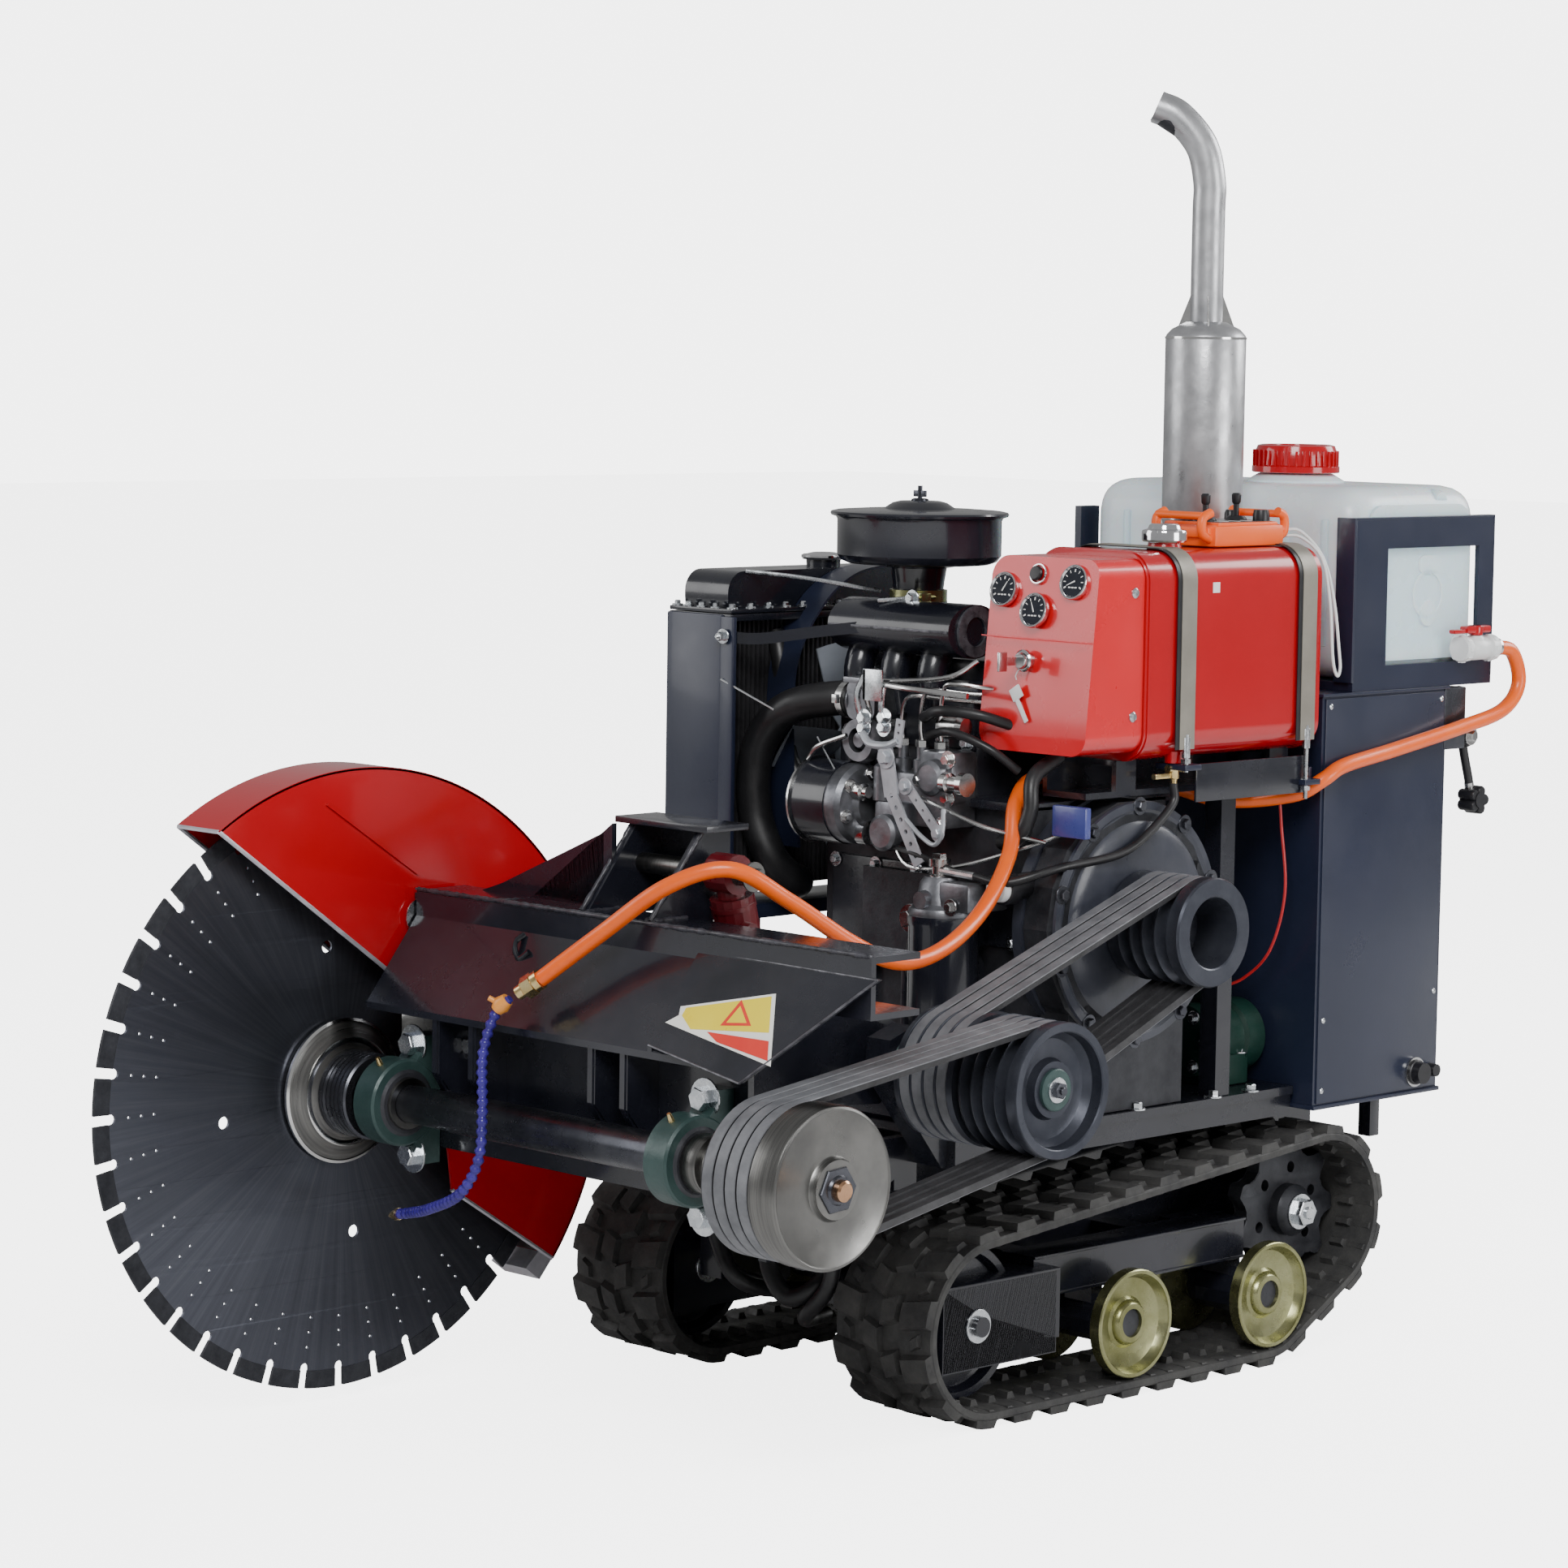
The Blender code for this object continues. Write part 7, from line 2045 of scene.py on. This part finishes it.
CONTROL_XS = [0.15 + 0.085 * i for i in range(5)]
for x in CONTROL_XS:
    panel_controls.lathe("Y", (x, 0.842), [(1.487, 0.0), (1.487, 0.017), (1.494, 0.016), (1.504, 0.012),
                                           (1.506, 0.0)], 24)
panel_controls.done()
panel_rings = Piece("cabinet_control_rings", ZINC_BLUE, "chassis")
for x in CONTROL_XS:
    panel_rings.ring("Y", (x, 0.842), [(1.487, 0.0175), (1.487, 0.0205), (1.4905, 0.02),
                                       (1.4905, 0.0175)], 28)
panel_rings.done()

drain = Piece("cabinet_drain_cap", BLACK_PLASTIC, "chassis")
drain.lathe("X", (1.416, 0.376), [(0.689, 0.0), (0.689, 0.018), (0.699, 0.018), (0.7, 0.016),
                                  (0.712, 0.015), (0.712, 0.0)], 32)
drain.lathe("X", (1.452, 0.376), [(0.689, 0.0), (0.689, 0.01), (0.706, 0.009), (0.706, 0.0)], 24)
drain.done()
drain_ring = Piece("cabinet_drain_ring", STEEL, "chassis")
drain_ring.ring("X", (1.416, 0.376), [(0.692, 0.0182), (0.692, 0.0215), (0.696, 0.0215),
                                      (0.696, 0.0182)], 32)
drain_ring.done()
rear_leg = Piece("cabinet_leg", BLACK_PAINT, "chassis")
rear_leg.box((0.59, 1.42, 0.27), (0.612, 1.442, 0.346), 0.002)
rear_leg.box((0.088, 1.42, 0.27), (0.11, 1.442, 0.346), 0.002)
rear_leg.done()

REAR_LEVER = (1.53, 0.855)
lever_plate = Piece("rear_lever_disc", BLUED, "chassis")
lever_plate.box((0.64, 1.465, 0.838), (0.692, 1.514, 0.927), 0.002)
lever_plate.lathe("X", REAR_LEVER, [(0.64, 0.0), (0.64, 0.0215), (0.644, 0.0215), (0.644, 0.0)], 36)
lever_plate.done()
rear_lever = Piece("rear_lever_arm", BLACK_PLASTIC, "rear_lever", ("rear_lever",))
rear_lever.lathe("X", REAR_LEVER, [(0.645, 0.0), (0.645, 0.015), (0.65, 0.017), (0.684, 0.017),
                                   (0.69, 0.014), (0.69, 0.0)], 36)
rear_lever.tube(smooth_path([(0.673, 1.531, 0.85), (0.673, 1.54, 0.82), (0.673, 1.55, 0.79),
                             (0.673, 1.555, 0.768)], 5), 0.0065, 14)
for i in range(5):
    angle = math.radians(72 * i)
    rear_lever.lathe("X", (1.555 + 0.013 * math.cos(angle), 0.76 + 0.013 * math.sin(angle)),
                     [(0.664, 0.0), (0.664, 0.007), (0.666, 0.0082), (0.69, 0.0082), (0.692, 0.007),
                      (0.692, 0.0)], 16)
rear_lever.lathe("X", (1.555, 0.76), [(0.663, 0.0), (0.663, 0.012), (0.6935, 0.012), (0.6935, 0.0)], 24)
rear_lever.done(40.0)
lever_pin = Piece("rear_lever_pin", STEEL, "rear_lever")
lever_pin.bolt((0.69, 1.53, 0.855), (1, 0, 0), 0.014, 0.006)
lever_pin.tube([(0.6735, 1.5505, 0.785), (0.6735, 1.553, 0.775)], 0.007, 12)
lever_pin.done()
knob_top = Piece("rear_cable_knob", BLACK_PLASTIC, "chassis")
knob_top.lathe("Y", (0.665, 0.915), [(1.51, 0.0), (1.51, 0.005), (1.52, 0.006), (1.524, 0.0105),
                                     (1.533, 0.011), (1.537, 0.007), (1.537, 0.0)], 24)
knob_top.done()

# hydraulic pump, rail bolts and wire behind the drive belts
green_pump = Piece("hydraulic_pump_body", PUMP_GREEN, "chassis", ("hydraulic_pump",))
green_pump.lathe("Y", (0.56, 0.44), [
    (1.06, 0.0), (1.06, 0.04), (1.064, 0.05), (1.07, 0.052), (1.1, 0.052), (1.104, 0.046),
    (1.14, 0.046), (1.144, 0.052), (1.178, 0.052), (1.186, 0.044), (1.1885, 0.0), ], 48)
green_pump.box((0.515, 1.08, 0.377), (0.605, 1.15, 0.42), 0.003)
green_pump.box((0.535, 1.09, 0.48), (0.585, 1.136, 0.512), 0.004)
green_pump.done()
pump_bolts = Piece("hydraulic_pump_bolts", ZINC_BLUE, "chassis")
for i in range(6):
    pump_bolts.bolt((0.56 + 0.04 * math.cos(math.radians(60 * i)), 1.06,
                     0.44 + 0.04 * math.sin(math.radians(60 * i))), (0, -1, 0), 0.01, 0.006)
for y in (1.09, 1.14):
    pump_bolts.bolt((0.597, y, 0.42), (0, 0, 1), 0.012, 0.007)
for y in (0.56, 0.7, 0.86, 1.02, 1.1):
    pump_bolts.bolt((0.652, y, 0.376), (0, 0, 1), 0.013, 0.008)
    pump_bolts.bolt((0.038, y, 0.376), (0, 0, 1), 0.013, 0.008)
pump_bolts.done()

red_wire = Piece("red_wire", WIRE_RED, "chassis")
red_wire.tube(smooth_path([
    (0.648, 1.15, 0.805), (0.654, 1.15, 0.749), (0.664, 1.15, 0.653), (0.64, 1.15, 0.57),
    (0.595, 1.148, 0.525), (0.56, 1.13, 0.508),
], 8), 0.0022, 8)
red_wire.done()

# hydraulic hoses that drop from the chassis between the tracks
track_hoses = Piece("track_motor_hoses", HOSE_RUBBER, "chassis")
for line, radius in (
    ([(0.27, 0.52, 0.345), (0.262, 0.44, 0.27), (0.29, 0.425, 0.19), (0.33, 0.44, 0.14),
      (0.36, 0.56, 0.12)], 0.011),
    ([(0.4, 0.52, 0.345), (0.38, 0.44, 0.25), (0.39, 0.42, 0.185), (0.43, 0.418, 0.142),
      (0.47, 0.44, 0.165),
      (0.46, 0.52, 0.23)], 0.0125),
    ([(0.47, 0.52, 0.345), (0.5, 0.44, 0.25), (0.502, 0.425, 0.17), (0.452, 0.43, 0.116),
      (0.4, 0.52, 0.1)], 0.011),
    ([(0.22, 0.52, 0.345), (0.232, 0.47, 0.24), (0.26, 0.47, 0.15), (0.24, 0.56, 0.11)], 0.01),
):
    track_hoses.tube(smooth_path(line, 8), radius, 16)
track_hoses.done(60.0)

# ---------------------------------------------------------------- finishes for CAD nodes still shown
SHOWN_AS = {
    "gloss_black": BLACK_PAINT, "navy": NAVY, "red": RED, "dark_red": DARK_RED, "rubber": RUBBER,
    "belt": BELT, "iron": IRON, "steel": TURNED, "dark_steel": BLUED, "zinc": ZINC_YELLOW,
    "aluminium": ALUMINIUM, "casting_green": CASTING_GREEN, "plastic_black": BLACK_PLASTIC,
    "orange": ORANGE_HOSE, "orange_case": ORANGE_CASE, "purple": PURPLE, "tank_white": TANK_WHITE,
    "red_plastic": RED, "chrome": CHROME, "exhaust": SILENCER,
}
BLACK_NODES = ("fuel_tank_bracket", "main_frame")
for entry in frame["record"]["subparts"]:
    node = frame["nodes"][entry["node"]]
    shown = BLACK_PAINT if entry["node"] in BLACK_NODES else SHOWN_AS[entry["material_slot"]]
    node.data.materials.clear()
    node.data.materials.append(shown)

# ---------------------------------------------------------------- studio
FLOOR_GLOW = 4.2      # brightness that the camera sees on the floor
SKY_LIGHT = 0.36      # light that the sky gives
SKY_SEEN = 5.0        # brightness that the camera sees in the sky
FLOOR_HALF_WIDTH = 30
floor_mesh = bpy.data.meshes.new("floor")
floor_corners = [(FLOOR_HALF_WIDTH * x, FLOOR_HALF_WIDTH * y, 0) for x,
                 y in ((-1, -1), (1, -1), (1, 1), (-1, 1))]
floor_mesh.from_pydata(floor_corners, [], [(0, 1, 2, 3)])
floor = bpy.data.objects.new("floor", floor_mesh)
floor_mesh.materials.append(finish("studio_floor", (0.8, 0.8, 0.8), (0.84, 0.84, 0.84), (0.6, 0.75),
                                   scale=0.6, specular=0.2))
bpy.context.scene.collection.objects.link(floor)

floor_nodes = floor_mesh.materials[0].node_tree.nodes
floor_links = floor_mesh.materials[0].node_tree.links
seen_floor = floor_nodes.new("ShaderNodeLightPath")
floor_glow = floor_nodes.new("ShaderNodeMath")
floor_glow.operation = "MULTIPLY"
floor_glow.inputs[1].default_value = FLOOR_GLOW
floor_links.new(seen_floor.outputs["Is Camera Ray"], floor_glow.inputs[0])
floor_links.new(floor_glow.outputs["Value"], floor_nodes["Principled BSDF"].inputs["Emission Strength"])
floor_nodes["Principled BSDF"].inputs["Emission Color"].default_value = (1.0, 1.0, 1.0, 1.0)

world = bpy.data.worlds.new("studio")
bpy.context.scene.world = world
world.use_nodes = True
backdrop = world.node_tree.nodes["Background"]
backdrop.inputs["Color"].default_value = (1.0, 1.0, 1.0, 1.0)
seen_sky = world.node_tree.nodes.new("ShaderNodeLightPath")
brightness = world.node_tree.nodes.new("ShaderNodeMapRange")
brightness.inputs["To Min"].default_value = SKY_LIGHT
brightness.inputs["To Max"].default_value = SKY_SEEN
world.node_tree.links.new(seen_sky.outputs["Is Camera Ray"], brightness.inputs["Value"])
world.node_tree.links.new(brightness.outputs["Result"], backdrop.inputs["Strength"])


def lamp(name, at, aim, power, size):
    data = bpy.data.lights.new(name, "AREA")
    data.energy = power
    data.size = size
    obj = bpy.data.objects.new(name, data)
    bpy.context.scene.collection.objects.link(obj)
    obj.location = at
    obj.rotation_euler = (Vector(aim) - Vector(at)).to_track_quat("-Z", "Y").to_euler()


lamp("key", (3.2, -3.6, 4.2), (0.0, 0.0, 0.7), 250.0, 2.2)
lamp("fill", (-3.8, -3.4, 2.2), (0.0, -0.2, 0.6), 70.0, 2.6)
lamp("rim", (1.5, 4.5, 3.0), (0.0, 0.3, 0.8), 140.0, 2.2)
lamp("side", (5.0, 1.5, 1.6), (0.2, 0.4, 0.6), 100.0, 2.2)

# ---------------------------------------------------------------- camera
AZIMUTH, ELEVATION, ROLL = math.radians(45.63), math.radians(5.595), math.radians(0.842)
CAMERA_AT = (4.723, -3.802, 1.418)
FOCAL_LENGTH, SENSOR_WIDTH = 105.4, 36.0
back = Vector((
    math.sin(AZIMUTH) * math.cos(ELEVATION),
    -math.cos(AZIMUTH) * math.cos(ELEVATION),
    math.sin(ELEVATION),
))
right = (-back).cross(Vector((0.0, 0.0, 1.0))).normalized()
up = back.cross(right)
tilted_right = math.cos(ROLL) * right + math.sin(ROLL) * up
tilted_up = -math.sin(ROLL) * right + math.cos(ROLL) * up
camera_data = bpy.data.cameras.new("photo_view")
camera_data.lens = FOCAL_LENGTH
camera_data.sensor_width = SENSOR_WIDTH
camera_data.clip_end = 60.0
camera = bpy.data.objects.new("photo_view", camera_data)
bpy.context.scene.collection.objects.link(camera)
facing = Matrix((tilted_right, tilted_up, back)).transposed().to_4x4()
camera.matrix_world = Matrix.Translation(place(CAMERA_AT)) @ facing
bpy.context.scene.camera = camera
